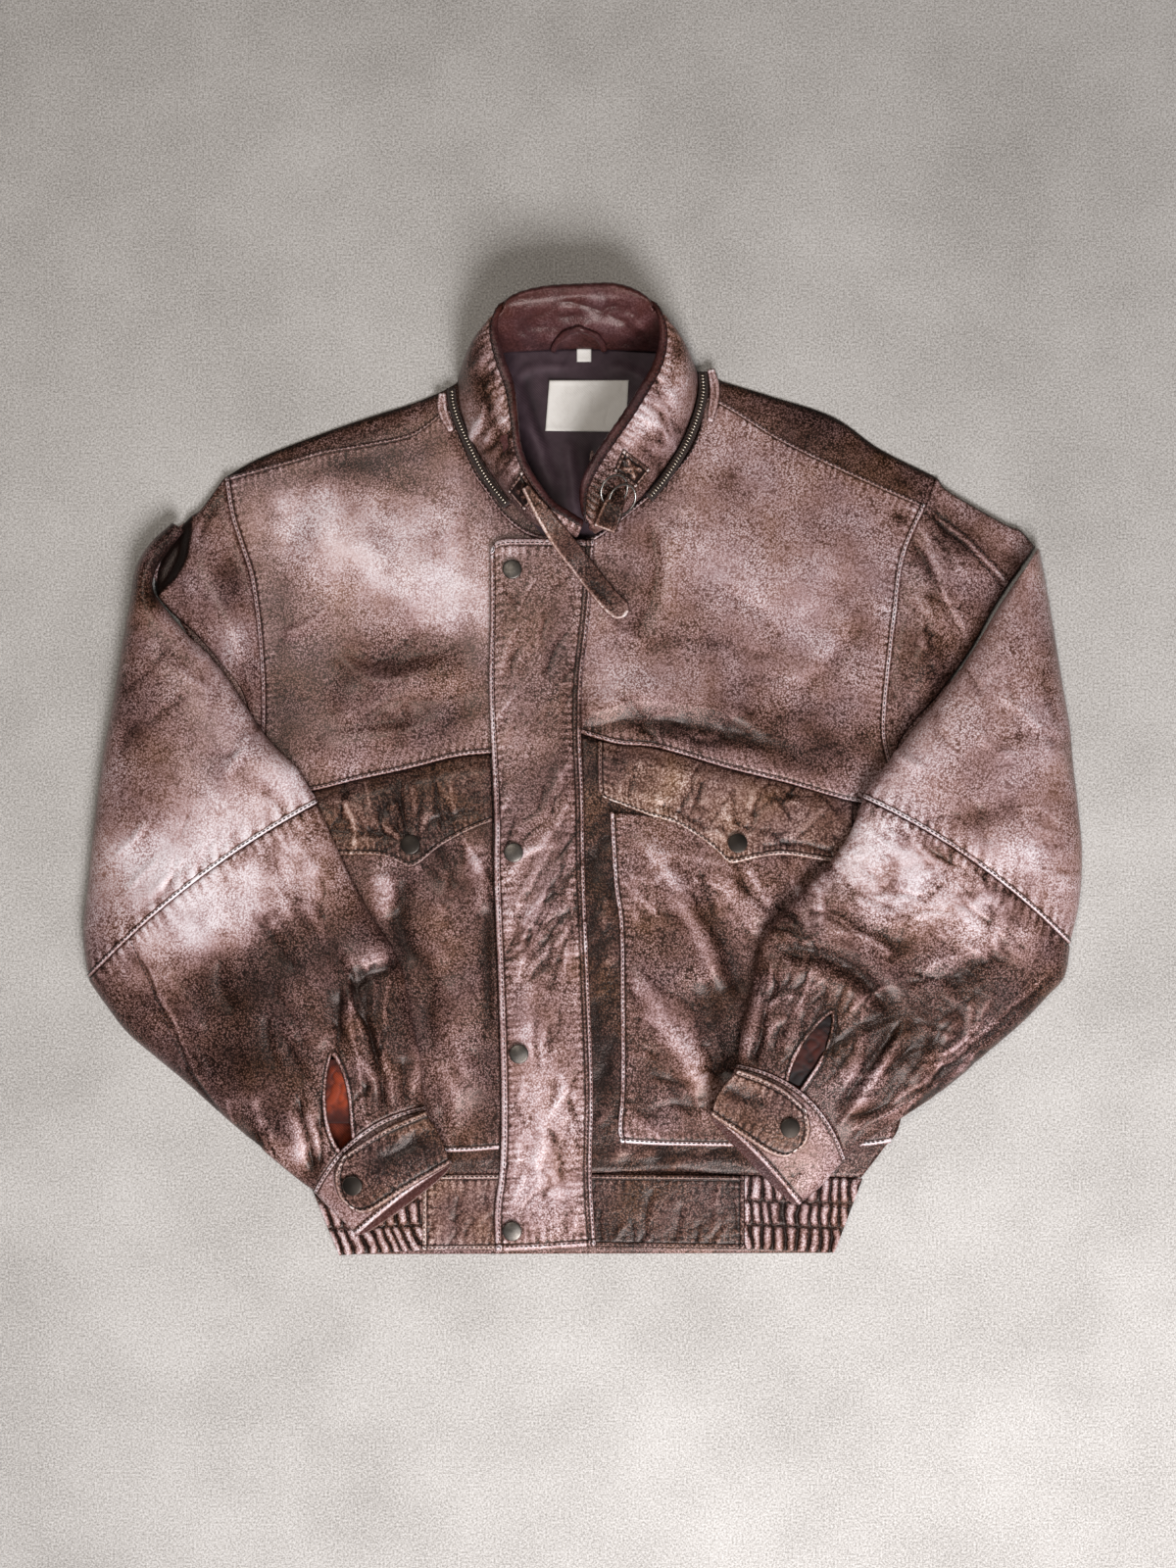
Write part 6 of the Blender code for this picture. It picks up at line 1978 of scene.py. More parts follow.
@dataclass
class Sleeve(Maker):
    """One sleeve, folded over the front: its head, the layer under it, the two tubes, cuff and tab."""

    side: str
    head: Outline
    plate: Outline
    head_relief: Relief
    head_seams: Sequence[Line]
    upper: Sequence[tuple]
    upper_relief: Relief
    lower: Sequence[tuple]
    lower_relief: Relief
    under_seam: Line
    slit: Slit
    lining: Outline
    cuff: Sequence[tuple]
    cuff_relief: Relief
    tab: Outline
    tab_relief: Relief
    hollow: Line = ()
    head_swell: float = 8.0
    slit_shade: float = 0.0

    def make(self) -> None:
        """Make the whole sleeve and its stitching."""
        self.make_head()
        flip = self.side == "left"
        elbow = {"top": replace(PIPED, wear_and_light=0.5, stitch_at=3.0, pucker=0.28, pitch=6.5, reach=7.0)}
        under_elbow = {"bottom": replace(TUCKED, pucker=0.3, pitch=6.5)}
        rolled = replace(ROLLED, bead_at=1.4, bead_width=1.4, stitch_at=4.0, wear_and_light=0.4, pucker=0.0)
        wrist = {"bottom": replace(PIPED, stitch_at=3.0, wear_and_light=0.4, pucker=0.0), "top": rolled}
        ending = "_%s_leather" % self.side
        pieces = [
            Tube("upper_sleeve" + ending, self.upper, self.upper_relief, elbow, flip=flip),
            Tube("lower_sleeve" + ending, self.lower, self.lower_relief, under_elbow, self.slit, flip=flip),
            Tube("cuff_band" + ending, self.cuff, self.cuff_relief, wrist, step=1.3, lengthen=7.0,
                 flip=flip)]
        # The upper tube's inside, seen through its open end in the hollow at the shoulder, is lined with the
        # dark leather as painted shade.
        for tube, node, lined in zip(pieces, ("sleeve_upper_", "sleeve_lower_", "cuff_"),
                                     (Finish.leather_dark, Finish.satin_rust, Finish.leather_burgundy)):
            cloth = tube.cloth(lined)
            if self.hollow and tube is pieces[0]:
                cloth.shade = cloth.shade + 1.7 * (1 - tube.upper) * self.beside_hollow(cloth.places)
            item = cloth.lay(Finish.leather_brown, [node + self.side], "laid",
                             ["front_lower_" + self.side, "pocket_" + self.side])
            self.sew(cloth, tube.ends)
            if tube.slit:
                self.sew_slit(cloth, tube.slit)
                self.seams.append(follow(item, self.under_seam))
        lining = Panel("slit_satin_" + self.side, self.lining, "sleeve_lining_" + self.side,
                       Relief(seed=9, wrinkle=0.7, cell=7, swell=0.8), step=1.6, wall=0.8).cloth()
        # Painted shade: the satin in the slit is darkened all over by the sleeve's own amount, and more
        # towards its edges.
        away = [np.abs(np.linspace(-1, 1, count)) for count in lining.places.shape[:2]]
        lining.shade = self.slit_shade - 0.2 + 0.9 * np.maximum.outer(*away) ** 2
        lining.lay(Finish.satin_rust, ["sleeve_lining_" + self.side], "laid")
        self.make_tab()
        self.finish_seams("stitches_sleeve_" + self.side)

    def sew_slit(self, cloth: Cloth, slit: Slit) -> None:
        """Gather the stitched lines down both sides of the slit.

        Args:
            cloth: The sleeve's lower tube.
            slit: Its slit.
        """
        first = int(np.argmin(cloth.closed()))
        for side in ("left", "right"):
            self.seams.append(cloth.line(side, slit.border.stitch_at, STITCH_RISE)[first:-2])

    def make_head(self) -> None:
        """The head swells between the armhole seam and the fold; its under layer is flat on the floor."""
        fold, seam = ("left", "right") if self.side == "right" else ("right", "left")
        borders = {seam: TUCKED, fold: Edge(drop=1.9, roll=5.0), "top": Edge(drop=1.8, roll=6.0)}
        plan = drawn_in(self.head.plan(1.9, {seam: PIPED}), 0.25)
        across = lengths_along(plan.swapaxes(0, 1)).T
        across = across / across[:, -1:]
        up = lengths_along(plan)
        up = up / up[-1:]
        swell = np.sin(math.pi * across) ** 2.2 * ease((up - 0.28) / 0.25) * ease((1 - up) / 0.22 + 0.12)
        heights = FRONT_MID + self.head_swell * swell
        if self.hollow:
            shadow, slope = self.sunk(plan, 3.0, 0.3), self.sunk(plan, 9.0, 0.0)
            heights = heights * (1 - slope) + 2.4 * slope
        panel = Panel("sleeve_head_%s_leather" % self.side, plan, heights, self.head_relief, borders)
        cloth = panel.cloth()
        if self.hollow:
            cloth.shade = cloth.shade + 1.1 * shadow
        item = cloth.lay(Finish.leather_brown, ["sleeve_head_" + self.side], "laid",
                         ["sleeve_back_" + self.side])
        self.seams.extend(follow(item, path) for path in self.head_seams)
        plate = Panel("sleeve_back_%s_leather" % self.side, self.plate, BACK_MID, Relief(seed=8), step=4.0,
                      wall=2.0)
        self.panel(plate, Finish.leather_brown, "sleeve_back_" + self.side)

    def sunk(self, plan: np.ndarray, reach: float, start: float) -> np.ndarray:
        """How deep in the roll's hollow each place is, from 0 to 1: beyond the hollow's line, at -X.

        Args:
            plan: The places.
            reach: How far from the line it is fully sunk.
            start: How much of that has come before the line.

        Returns:
            A share for each place.
        """
        x, y = plan[..., 0], plan[..., 1]
        line = smooth_line(self.hollow, np.linspace(0, 1, 40))
        edge = np.interp(y, line[::-1, 1], line[::-1, 0])
        return ease((edge - x) / reach + start) * ease((y - line[-1, 1]) / 5 + 0.5)

    def beside_hollow(self, places: np.ndarray) -> np.ndarray:
        """Work out how close each place of the roll is to the hollow.

        Args:
            places: The places.

        Returns:
            A share for each, from 0 to 1.
        """
        line = smooth_line(self.hollow, np.linspace(0, 1, 40))[:, :2]
        away = np.linalg.norm(places[..., None, :2] - line, axis=-1).min(axis=-1)
        return ease(2 - away / 18)

    def make_tab(self) -> None:
        """The cuff's tab: stitched and rolled all round, with its snap."""
        rim = replace(PIPED, bead=0.6, bead_at=1.4, bead_width=1.5, stitch_at=4.0, wear_and_light=0.55, pucker=0.1)
        borders = {side: rim for side in SIDES if side != ("right" if self.side == "right" else "left")}
        node = "cuff_tab_" + self.side
        panel = Panel("cuff_tab_%s_leather" % self.side, self.tab, node, self.tab_relief, borders, 1.1)
        self.panel(panel, Finish.leather_dark, node, "laid", ["cuff_" + self.side])


def follow(item: bpy.types.Object, path: Line, rise: float = STITCH_RISE) -> np.ndarray:
    """A line laid on a finished piece where it is seen from above.

    Args:
        item: The piece.
        path: The line as read from above.
        rise: How far above the piece.

    Returns:
        Rows of placed coordinates and the normal there, six numbers each.
    """
    surface = surface_of(item)
    length = lengths_along(smooth_line(path, np.linspace(0, 1, 50)))[-1]
    line = smooth_line(path, np.linspace(0, 1, max(4, round(length / 1.8))))[:, :2]
    start = SIGHT.place(np.array([*SIGHT.eye, SIGHT.height]))
    rows = []
    for x, y in line:
        aim = SIGHT.place(np.array([x, y, 0.0])) - start
        found, normal = surface.ray_cast(start.tolist(), aim.tolist())[:2]
        if found is not None:
            rows.append([*(found + normal * rise * MM), *normal])
    return np.array(rows)


def make_sleeves() -> None:
    """Both sleeves; the wearer's right one shows the satin in its slit."""
    seam_right = tuple((x - 0.35, y) for x, y in ARMHOLE_RIGHT)
    seam_left = tuple((x + 0.35, y) for x, y in ARMHOLE_LEFT_WHOLE)
    fold_right = ((-252, -19), (-246, 30), (-252, 58), (-268, 79), (-286, 100), (-307, 119), (-316, 133),
                  (-314, 152), (-301, 176))
    fold_left = ((252, -25), (235, 15), (268, 58), (290, 89), (306, 118), (318, 137), (338, 166))
    plate_right = ((-252.5, -22), (-262, 30), (-282, 80), (-304, 120), (-322, 150))
    plate_left = ((252.5, -28), (262, 30), (282, 80), (306, 120), (328, 150))
    right = Sleeve(
        side="right",
        head=Outline(
            fold_right, seam_right, (fold_right[0], seam_right[0]),
            ((-301, 176), (-290, 188), (-282, 194), seam_right[-1])),
        plate=Outline(
            plate_right, seam_right, (plate_right[0], seam_right[0]),
            ((-322, 150), (-311, 171), (-297, 182), (-282, 192), seam_right[-1])),
        hollow=((-289, 176), (-290.5, 168), (-292, 158), (-300, 143), (-310, 133), (-318, 126)),
        head_relief=Relief(
            seed=61, wrinkle=0.2, cell=8, wear_and_light=0.08,
            creases=many(Crease,
                (((-282, 190), (-285, 178), (-287, 168)), 2.6, 0.7, 0.3),
                (((-270, 200), (-278, 186), (-283, 172)), 3.4, -0.8, -0.2),
                (((-262, 60), (-254, 84), (-256, 112)), 9, 1.4, 0.15)),
            # The pale spot at (-263, 98) is painted sheen on the swell.
            wear_and_light_spots=many(WearAndLightSpot,
                (-263, 98, (14, 22), -10, 0.45), (-266, 168, (10, 20), 0, 0.15),
                (-262, 140, (10, 16), 0, -0.35), (-250, 56, (8, 30), 0, -0.35),
                (-282, 128, (12, 14), 0, 0.2), (-272, 200, (20, 10), 30, -0.4))),
        head_seams=(),
        upper=[
            ((-304, 183), (-296, 178), 17, 0), ((-321, 167), (-310, 160), 21, 0),
            ((-331, 149), (-318, 146), 23, 0), ((-335, 126), (-318, 130), 24, 0),
            ((-341, 92), (-298, 104), 27, 2), ((-347, 55), (-266, 70), 30, 3),
            ((-355, 12), (-235, 24), 32, 5), ((-361, -34), (-212, 0), 33, 7),
            ((-366, -82), (-203, -14), 33, 9), ((-370, -122), (-199, -20), 33, 9),
            ((-366, -155), (-197, -25), 33, 9)],
        upper_relief=Relief(
            seed=62, cracks=0.1, wrinkle=0.14, cell=9, wear_and_light=0.14,
            folds=many(Folds,
                (-300, 60, (50, 50), 55, 9, 50, 0.2, 3.0), (-290, -70, (70, 30), 60, 14, 34, 0.25)),
            creases=many(Crease,
                (((-322, 130), (-306, 108), (-280, 84), (-258, 60)), 7, 0.8, 0.25),
                (((-330, 112), (-300, 84), (-272, 54)), 8, -0.9, -0.15),
                (((-300, 78), (-290, 66), (-276, 60)), 3, 0.8, 0.25),
                (((-255, 24), (-236, 8), (-214, -10)), 10, 1.4, 0.15),
                (((-350, 30), (-300, 14), (-262, -6)), 20, -1.6, -0.15),
                (((-240, -12), (-228, -22), (-216, -30)), 4, -0.9, -0.3),
                (((-352, -90), (-330, -70), (-306, -56)), 12, -1.2, -0.1)),
            # The big pale spot at (-282, -62) is painted highlight over the wear; the dark spots at (-306,
            # 154) and (-320, 128) are painted shade in the roll's hollow.
            wear_and_light_spots=many(WearAndLightSpot,
                (-262, 44, (62, 16), -42, 0.3), (-282, -62, (80, 33), 26, 1.35),
                (-292, 6, (46, 26), -30, 0.22), (-236, -2, (30, 12), -35, 0.25),
                (-248, -8, (14, 8), -30, -0.25), (-342, -108, (34, 30), 0, -0.3),
                (-318, 56, (20, 26), 0, -0.12), (-306, 154, (16, 34), -30, -1.6),
                (-320, 128, (14, 6), -40, -0.3), (-338, 60, (10, 60), 0, -0.12),
                (-300, -30, (40, 10), 20, -0.1), (-352, -20, (12, 40), 0, 0.12),
                (-330, -60, (30, 12), 30, 0.12), (-330, 110, (16, 16), 0, 0.2))),
        lower=[
            ((-366, -156.7), (-196.6, -26.6), 33, 9), ((-354, -174), (-183, -57), 33, 10),
            ((-337, -196), (-170, -86), 33, 11), ((-315, -215), (-156, -111), 32, 12),
            ((-292, -234), (-141, -133), 31, 13), ((-270, -254), (-133, -152), 30, 13),
            ((-247, -274), (-128, -178), 29, 13), ((-225, -293), (-121, -212), 28, 13),
            ((-209, -306), (-118, -238), 27, 13), ((-199, -313), (-116.5, -250), 27, 13)],
        lower_relief=Relief(
            seed=63, cracks=0.1, wrinkle=0.15, cell=11, stretch=1.6, turn=-50, wear_and_light=-0.22,
            folds=many(Folds,
                (-215, -100, (30, 40), -58, 14, 34, 0.3), (-158, -200, (22, 50), 98, 18, 44, 0.45, 1.5),
                (-230, -272, (34, 22), 100, 12, 28), (-270, -190, (60, 40), -52, 8, 60, 0.15, 3.5)),
            creases=many(Crease,
                (((-226, -62), (-212, -98), (-190, -131), (-171, -159)), 6, -2.2, -0.35),
                (((-213, -88), (-196, -120), (-178, -148)), 5, 1.2, 0.2),
                (((-171, -162), (-158, -154), (-146, -149), (-134, -140)), 5.5, -2.6, -0.5, -0.3),
                (((-176, -148), (-158, -141), (-142, -136)), 9, 3.2, 0.3),
                (
                    ((-171, -161), (-173, -180), (-172, -199), (-167, -213), (-158, -224), (-149, -242)),
                    3.0, 3.0, 0.45, 0.35),
                (((-180, -164), (-181, -186), (-179, -204), (-172, -218)), 5.5, -2.2, -0.4),
                (((-163, -178), (-156, -200), (-149, -222), (-144, -256)), 3.4, -3.2, -0.75),
                (((-160, -186), (-150, -206), (-144, -228), (-140, -252)), 3.6, 1.8, 0.4),
                (((-133, -214), (-131, -236), (-130, -250)), 3.2, -1.4, -0.35),
                (((-125, -205), (-122, -222), (-124, -240)), 3.0, 1.2, 0.35),
                (((-210, -244), (-207, -262), (-203, -280), (-196, -304)), 2.6, -2.4, -0.6),
                (((-216, -250), (-213, -272), (-206, -298)), 4.0, 1.6, 0.3),
                (((-202, -252), (-199, -270), (-194, -290)), 3.2, 1.5, 0.3),
                (((-193, -258), (-195, -276), (-194, -298)), 2.4, -1.8, -0.5),
                (((-247, -250), (-232, -264), (-214, -280)), 6, -1.2, -0.2),
                (((-335, -126), (-314, -171), (-297, -211), (-265, -262)), 1.6, -0.8, -0.5),
                (((-332, -128), (-311, -172), (-294, -211), (-263, -260)), 1.4, 0.5, 0.35),
                (((-226, -200), (-206, -196), (-190, -206)), 7, 1.4, 0.2),
                (((-236, -120), (-226, -134), (-210, -146)), 10, -1.2, -0.2)),
            # The big pale spot at (-266, -98) and the one at (-206, -164) are painted highlights over the
            # wear.
            wear_and_light_spots=many(WearAndLightSpot,
                (-266, -98, (84, 37), 22, 1.6), (-212, -62, (14, 26), 25, 0.3, 0.3, 5),
                (-258, -164, (52, 26), 14, -0.42), (-206, -164, (24, 11), 42, 0.42),
                (-183, -201, (11, 14), 0, 0.35), (-236, -212, (40, 20), 14, -0.35),
                (-170, -176, (10, 12), 0, -0.3), (-150, -178, (16, 26), 20, -0.5),
                (-208, -282, (38, 15), 38, 0.62), (-252, -246, (26, 14), 40, 0.25),
                (-158, -141, (18, 9), 20, 0.4), (-135, -232, (12, 18), 0, 0.1),
                (-320, -158, (22, 26), 40, 0.1), (-284, -222, (20, 12), 40, -0.15),
                (-222, -92, (10, 20), 20, -0.15), (-186, -238, (6, 20), 10, -0.2),
                (-300, -190, (20, 20), 0, 0.12))),
        under_seam=((-338, -122), (-316, -171), (-299, -211), (-267, -260)),
        slit=Slit(across=(0.57, 0.38), wide=21.0, top=0.73),
        lining=Outline(
            ((-200, -264), (-187, -216)), ((-159, -264), (-170, -216)), ((-200, -264), (-159, -264)),
            ((-187, -216), (-170, -216))),
        cuff=[
            ((-198.4, -314.2), (-116.2, -251.3), 27, 13), ((-183, -330), (-105, -276), 27, 9),
            ((-166, -346), (-97, -294), 26, 2)],
        cuff_relief=Relief(seed=64, wrinkle=0.35, cell=6, wear_and_light=0.28, swell=0.2),
        tab=Outline(
            ((-171, -327), (-180, -318), (-183, -303), (-177, -289)),
            ((-97, -294), (-106, -272), (-116, -255)),
            ((-171, -327), (-158, -330), (-130, -313), (-97, -294)),
            ((-177, -289), (-166, -281), (-144, -267), (-116, -255))),
        tab_relief=Relief(
            seed=65, wrinkle=0.3, cell=5.5, wear_and_light=0.05, swell=0.3,
            creases=many(Crease,
                (((-150, -292), (-136, -284), (-118, -276)), 5, -1.2, -0.55),
                (((-140, -276), (-126, -268), (-112, -266)), 4, 0.8, 0.3)),
            wear_and_light_spots=many(WearAndLightSpot,
                (-128, -286, (20, 12), 32, -0.4), (-156, -298, (16, 12), 30, -0.1),
                (-170, -296, (10, 10), 0, 0.25))))
    left = Sleeve(
        side="left",
        head=Outline(
            seam_left, fold_left, (seam_left[0], fold_left[0]),
            (seam_left[-1], (274, 207), (315, 183), (327, 178), (338, 166))),
        plate=Outline(
            seam_left, plate_left, (seam_left[0], plate_left[0]),
            (seam_left[-1], (275, 205), (314, 180), (328, 150))),
        head_relief=Relief(
            seed=71, wrinkle=0.25, cell=9, wear_and_light=0.02,
            folds=many(Folds, (262, 130, (14, 50), -56, 12, 30, 0.3)),
            creases=many(Crease,
                (((246, 176), (258, 160), (269, 138), (283, 108), (291, 92)), 2.4, 1.3, 0.4, -0.3),
                (((243, 172), (255, 154), (266, 132), (279, 106)), 4.0, -1.4, -0.3),
                (((262, 192), (280, 172), (292, 160)), 4.0, -0.8, -0.3),
                (((244, 134), (254, 122), (262, 112)), 3.0, 0.8, 0.3),
                (((258, 192), (278, 178), (299, 158), (320, 132)), 1.0, 0.6, 0.75),
                (((256, 190), (276, 176), (297, 156), (317, 130)), 1.0, -0.5, -0.5),
                (((260, 194), (280, 180), (301, 160), (322, 135)), 1.0, -0.5, -0.5)),
            wear_and_light_spots=many(WearAndLightSpot,
                (262, 126, (16, 26), 25, 0.35), (262, 78, (12, 20), -30, -0.5),
                (284, 148, (14, 10), -40, 0.25), (300, 184, (40, 11), -33, 0.42),
                (332, 160, (10, 14), 30, 0.35), (240, 20, (8, 40), 0, -0.2),
                (252, 160, (8, 10), 0, -0.15))),
        head_seams=(
            ((256, 190), (276, 176), (297, 156), (316, 131)),
            ((260, 194.2), (280, 180.2), (301, 160.2), (321, 136))),
        upper=[
            ((341, 164), (322, 135), 24, 0), ((346, 138), (309, 114), 26, 1),
            ((352, 104), (292, 86), 29, 2), ((358, 66), (269, 54), 31, 3), ((365, 24), (240, 18), 33, 5),
            ((369, -20), (222, -5), 33, 6), ((373, -62), (215, -14), 33, 7),
            ((371, -98), (212, -18), 33, 8), ((364, -130), (211, -21), 33, 9)],
        upper_relief=Relief(
            seed=72, cracks=0.1, wrinkle=0.14, cell=8, wear_and_light=0.34,
            folds=many(Folds,
                (300, 10, (60, 60), -50, 9, 50, 0.2, 3.0), (300, -60, (70, 24), -20, 12, 30, 0.25)),
            creases=many(Crease,
                (((330, 140), (300, 100), (262, 48), (232, 8)), 9, 0.7, 0.1),
                (((300, 10), (320, 22), (345, 30)), 4, -0.7, -0.2),
                (((296, 56), (304, 66), (318, 76)), 3.0, -0.5, 0.2),
                (((290, -66), (316, -58), (346, -60)), 14, 1.4, 0.15),
                (((276, -40), (300, -36), (330, -28)), 9, -1.0, -0.2)),
            # The pale spot at (318, -62) is painted highlight over the wear.
            wear_and_light_spots=many(WearAndLightSpot,
                (318, -62, (30, 15), -8, 0.5), (322, 52, (24, 60), 8, 0.12), (342, 140, (10, 26), 10, 0.15),
                (344, -80, (24, 24), 0, 0.15), (300, -34, (24, 10), 0, -0.15),
                (262, 10, (16, 40), -36, 0.12), (350, 70, (10, 60), 0, -0.15),
                (262, 62, (6, 60), -36, -0.15), (352, 10, (14, 30), 0, 0.2))),
        lower=[
            ((364.2, -131.7), (210.8, -22.6), 33, 9), ((360, -154), (200, -50), 33, 9),
            ((348, -168), (184, -72), 33, 10), ((330, -187), (160, -98), 33, 11),
            ((307, -207), (140, -121), 32, 12), ((285, -226), (132, -142), 31, 13),
            ((262, -244), (127, -169), 30, 14), ((235, -262), (121, -195), 29, 15),
            ((212, -277), (118.5, -211), 28, 16), ((197, -288), (117.5, -219), 27, 16)],
        lower_relief=Relief(
            seed=73, cracks=0.25, wrinkle=0.3, cell=8, stretch=1.9, turn=-35, wear_and_light=-0.24,
            folds=many(Folds,
                (240, -90, (84, 40), -40, 44, 44, 0.35, 1.5), (250, -120, (70, 40), 30, 14, 30, 0.3, 1.5),
                (165, -190, (36, 40), 62, 26, 40, 0.45, 1.5), (246, -208, (56, 36), 44, 26, 52, 0.45, 1.6),
                (170, -120, (30, 26), -20, 14, 26)),
            creases=many(Crease,
                (
                    (
                        (138, -139), (156, -137), (171, -138), (188, -143), (204, -152), (216, -162),
                        (228, -176), (236, -188)),
                    7.5, -3.4, -0.6),
                (((150, -126), (176, -126), (200, -134), (222, -150), (240, -170)), 12, 2.4, 0.12),
                (((140, -154), (160, -150), (180, -152), (198, -160), (210, -172)), 7, 2.2, 0.2),
                (((145, -158), (139, -178), (133, -200), (128, -222)), 3.4, -3.2, -0.8),
                (((137, -160), (131, -180), (125, -204), (123, -216)), 5, 1.8, 0.35),
                (((162, -178), (150, -196), (142, -214)), 5, -1.4, -0.35),
                (((168, -170), (158, -190), (150, -212)), 4, 1.3, 0.25),
                (((247, -186), (232, -206), (218, -228), (204, -250), (190, -268)), 4.4, 2.8, 0.45, -0.3),
                (((240, -186), (224, -206), (208, -230), (190, -254)), 4.0, -2.4, -0.5),
                (((212, -190), (206, -214), (196, -240)), 4.0, 1.6, 0.3),
                (((270, -196), (250, -222), (228, -244), (206, -262)), 5.0, -1.8, -0.4),
                (((282, -180), (262, -212), (240, -236)), 6.0, 1.8, 0.3),
                (((250, -240), (222, -258), (196, -272)), 3.0, 1.2, 0.35),
                (((236, -246), (212, -256), (196, -258)), 2.4, -1.2, -0.5),
                (((320, -132), (296, -146), (272, -166)), 9, -1.4, -0.35),
                (((304, -126), (282, -142), (256, -152)), 7, 1.2, 0.3),
                (((196, -92), (220, -104), (250, -120)), 7, 1.2, 0.2),
                (((186, -104), (212, -118), (246, -136)), 5, -1.2, -0.3),
                (((256, -60), (280, -84), (296, -110)), 9, -1.1, -0.15),
                (((355, -150), (300, -200), (265, -230), (215, -262), (195, -285)), 1.6, -0.8, -0.5),
                (((353, -147), (298, -197), (263, -227), (213, -259)), 1.5, 0.5, 0.4)),
            # The big pale band at (240, -78) and the one beside it at (300, -112) are painted highlights
            # over the wear.
            wear_and_light_spots=many(WearAndLightSpot,
                (240, -78, (80, 37), -28, 1.5, 0.4, 6), (300, -112, (46, 16), -32, 0.55),
                (176, -108, (30, 14), -30, 0.35), (226, -196, (18, 26), 30, -0.45),
                (300, -146, (36, 12), -38, -0.08), (206, -176, (30, 12), -20, 0.15),
                (198, -216, (10, 26), -20, 0.12), (258, -142, (46, 18), -32, -0.12),
                (290, -190, (40, 14), -40, 0.1), (258, -218, (26, 12), -38, -0.15),
                (220, -250, (30, 10), -36, 0.3), (146, -136, (14, 12), 0, 0.3),
                (180, -198, (10, 20), 24, -0.1), (338, -140, (18, 20), 0, 0.1))),
        under_seam=((357, -151), (302, -202), (267, -232), (218, -264)),
        slit=Slit(across=(0.62, 0.60), wide=17.0, top=0.69),
        lining=Outline(
            ((138, -226), (176, -182)), ((172, -240), (198, -186)), ((138, -226), (172, -240)),
            ((176, -182), (198, -186))),
        cuff=[
            ((196.4, -289.3), (117.2, -220.2), 27, 16), ((181, -308), (107, -240), 27, 10),
            ((162, -324), (97, -257), 26, 3)],
        cuff_relief=Relief(
            seed=74, wrinkle=0.35, cell=6, wear_and_light=0.22, swell=0.2,
            creases=many(Crease, (((166, -296), (158, -304), (150, -312)), 3, -0.7, -0.3))),
        tab=Outline(
            ((97, -258), (104, -240), (118, -224)), ((160, -284), (168, -278), (171, -267), (168, -254)),
            ((97, -258), (120, -273), (140, -286), (152, -289), (160, -284)),
            ((118, -224), (135, -230), (152, -239), (168, -254))),
        tab_relief=Relief(
            seed=75, wrinkle=0.2, cell=5, wear_and_light=0.2, swell=0.3,
            creases=many(Crease,
                (((106, -236), (120, -244), (138, -250)), 4.5, -1.1, -0.45),
                (((112, -228), (126, -234), (140, -240)), 4, 0.7, 0.25)),
            wear_and_light_spots=many(WearAndLightSpot, (118, -250, (14, 10), -30, 0.1), (140, -262, (16, 10), -30, -0.1))),
        slit_shade=0.7)
    for sleeve in (right, left):
        sleeve.make()


# Collar and neck


FRONT_TO_FRONT = (
    ((-4, 175.5), (1, 183), 34), ((-20, 178.5), (-10, 190), 38), ((-35, 184), (-23, 199), 42),
    ((-50, 198), (-37, 218), 44), ((-62, 214), (-46, 238), 45), ((-73, 231), (-49, 262), 46),
    ((-84, 253), (-52, 285), 46), ((-90, 275), (-59, 305), 46), ((-90, 294), (-64, 324), 46),
    ((-81, 307), (-63, 338), 45), ((-60, 313), (-53, 350), 44), ((-30, 315), (-29, 357), 43),
    ((0, 316), (0, 359), 43), ((30, 315), (28, 359), 43), ((60, 313), (50, 350), 44),
    ((78, 308), (60, 336), 45), ((86, 296), (61, 318), 45), ((86, 279), (56, 300), 46),
    ((81, 261), (46, 283), 46), ((73, 242), (34, 264), 46), ((60, 222), (20, 244), 45),
    ((47, 205), (9, 227), 44), ((33, 191), (2, 210), 42), ((20, 181), (2, 195), 38),
    ((11, 177), (5, 186), 34))


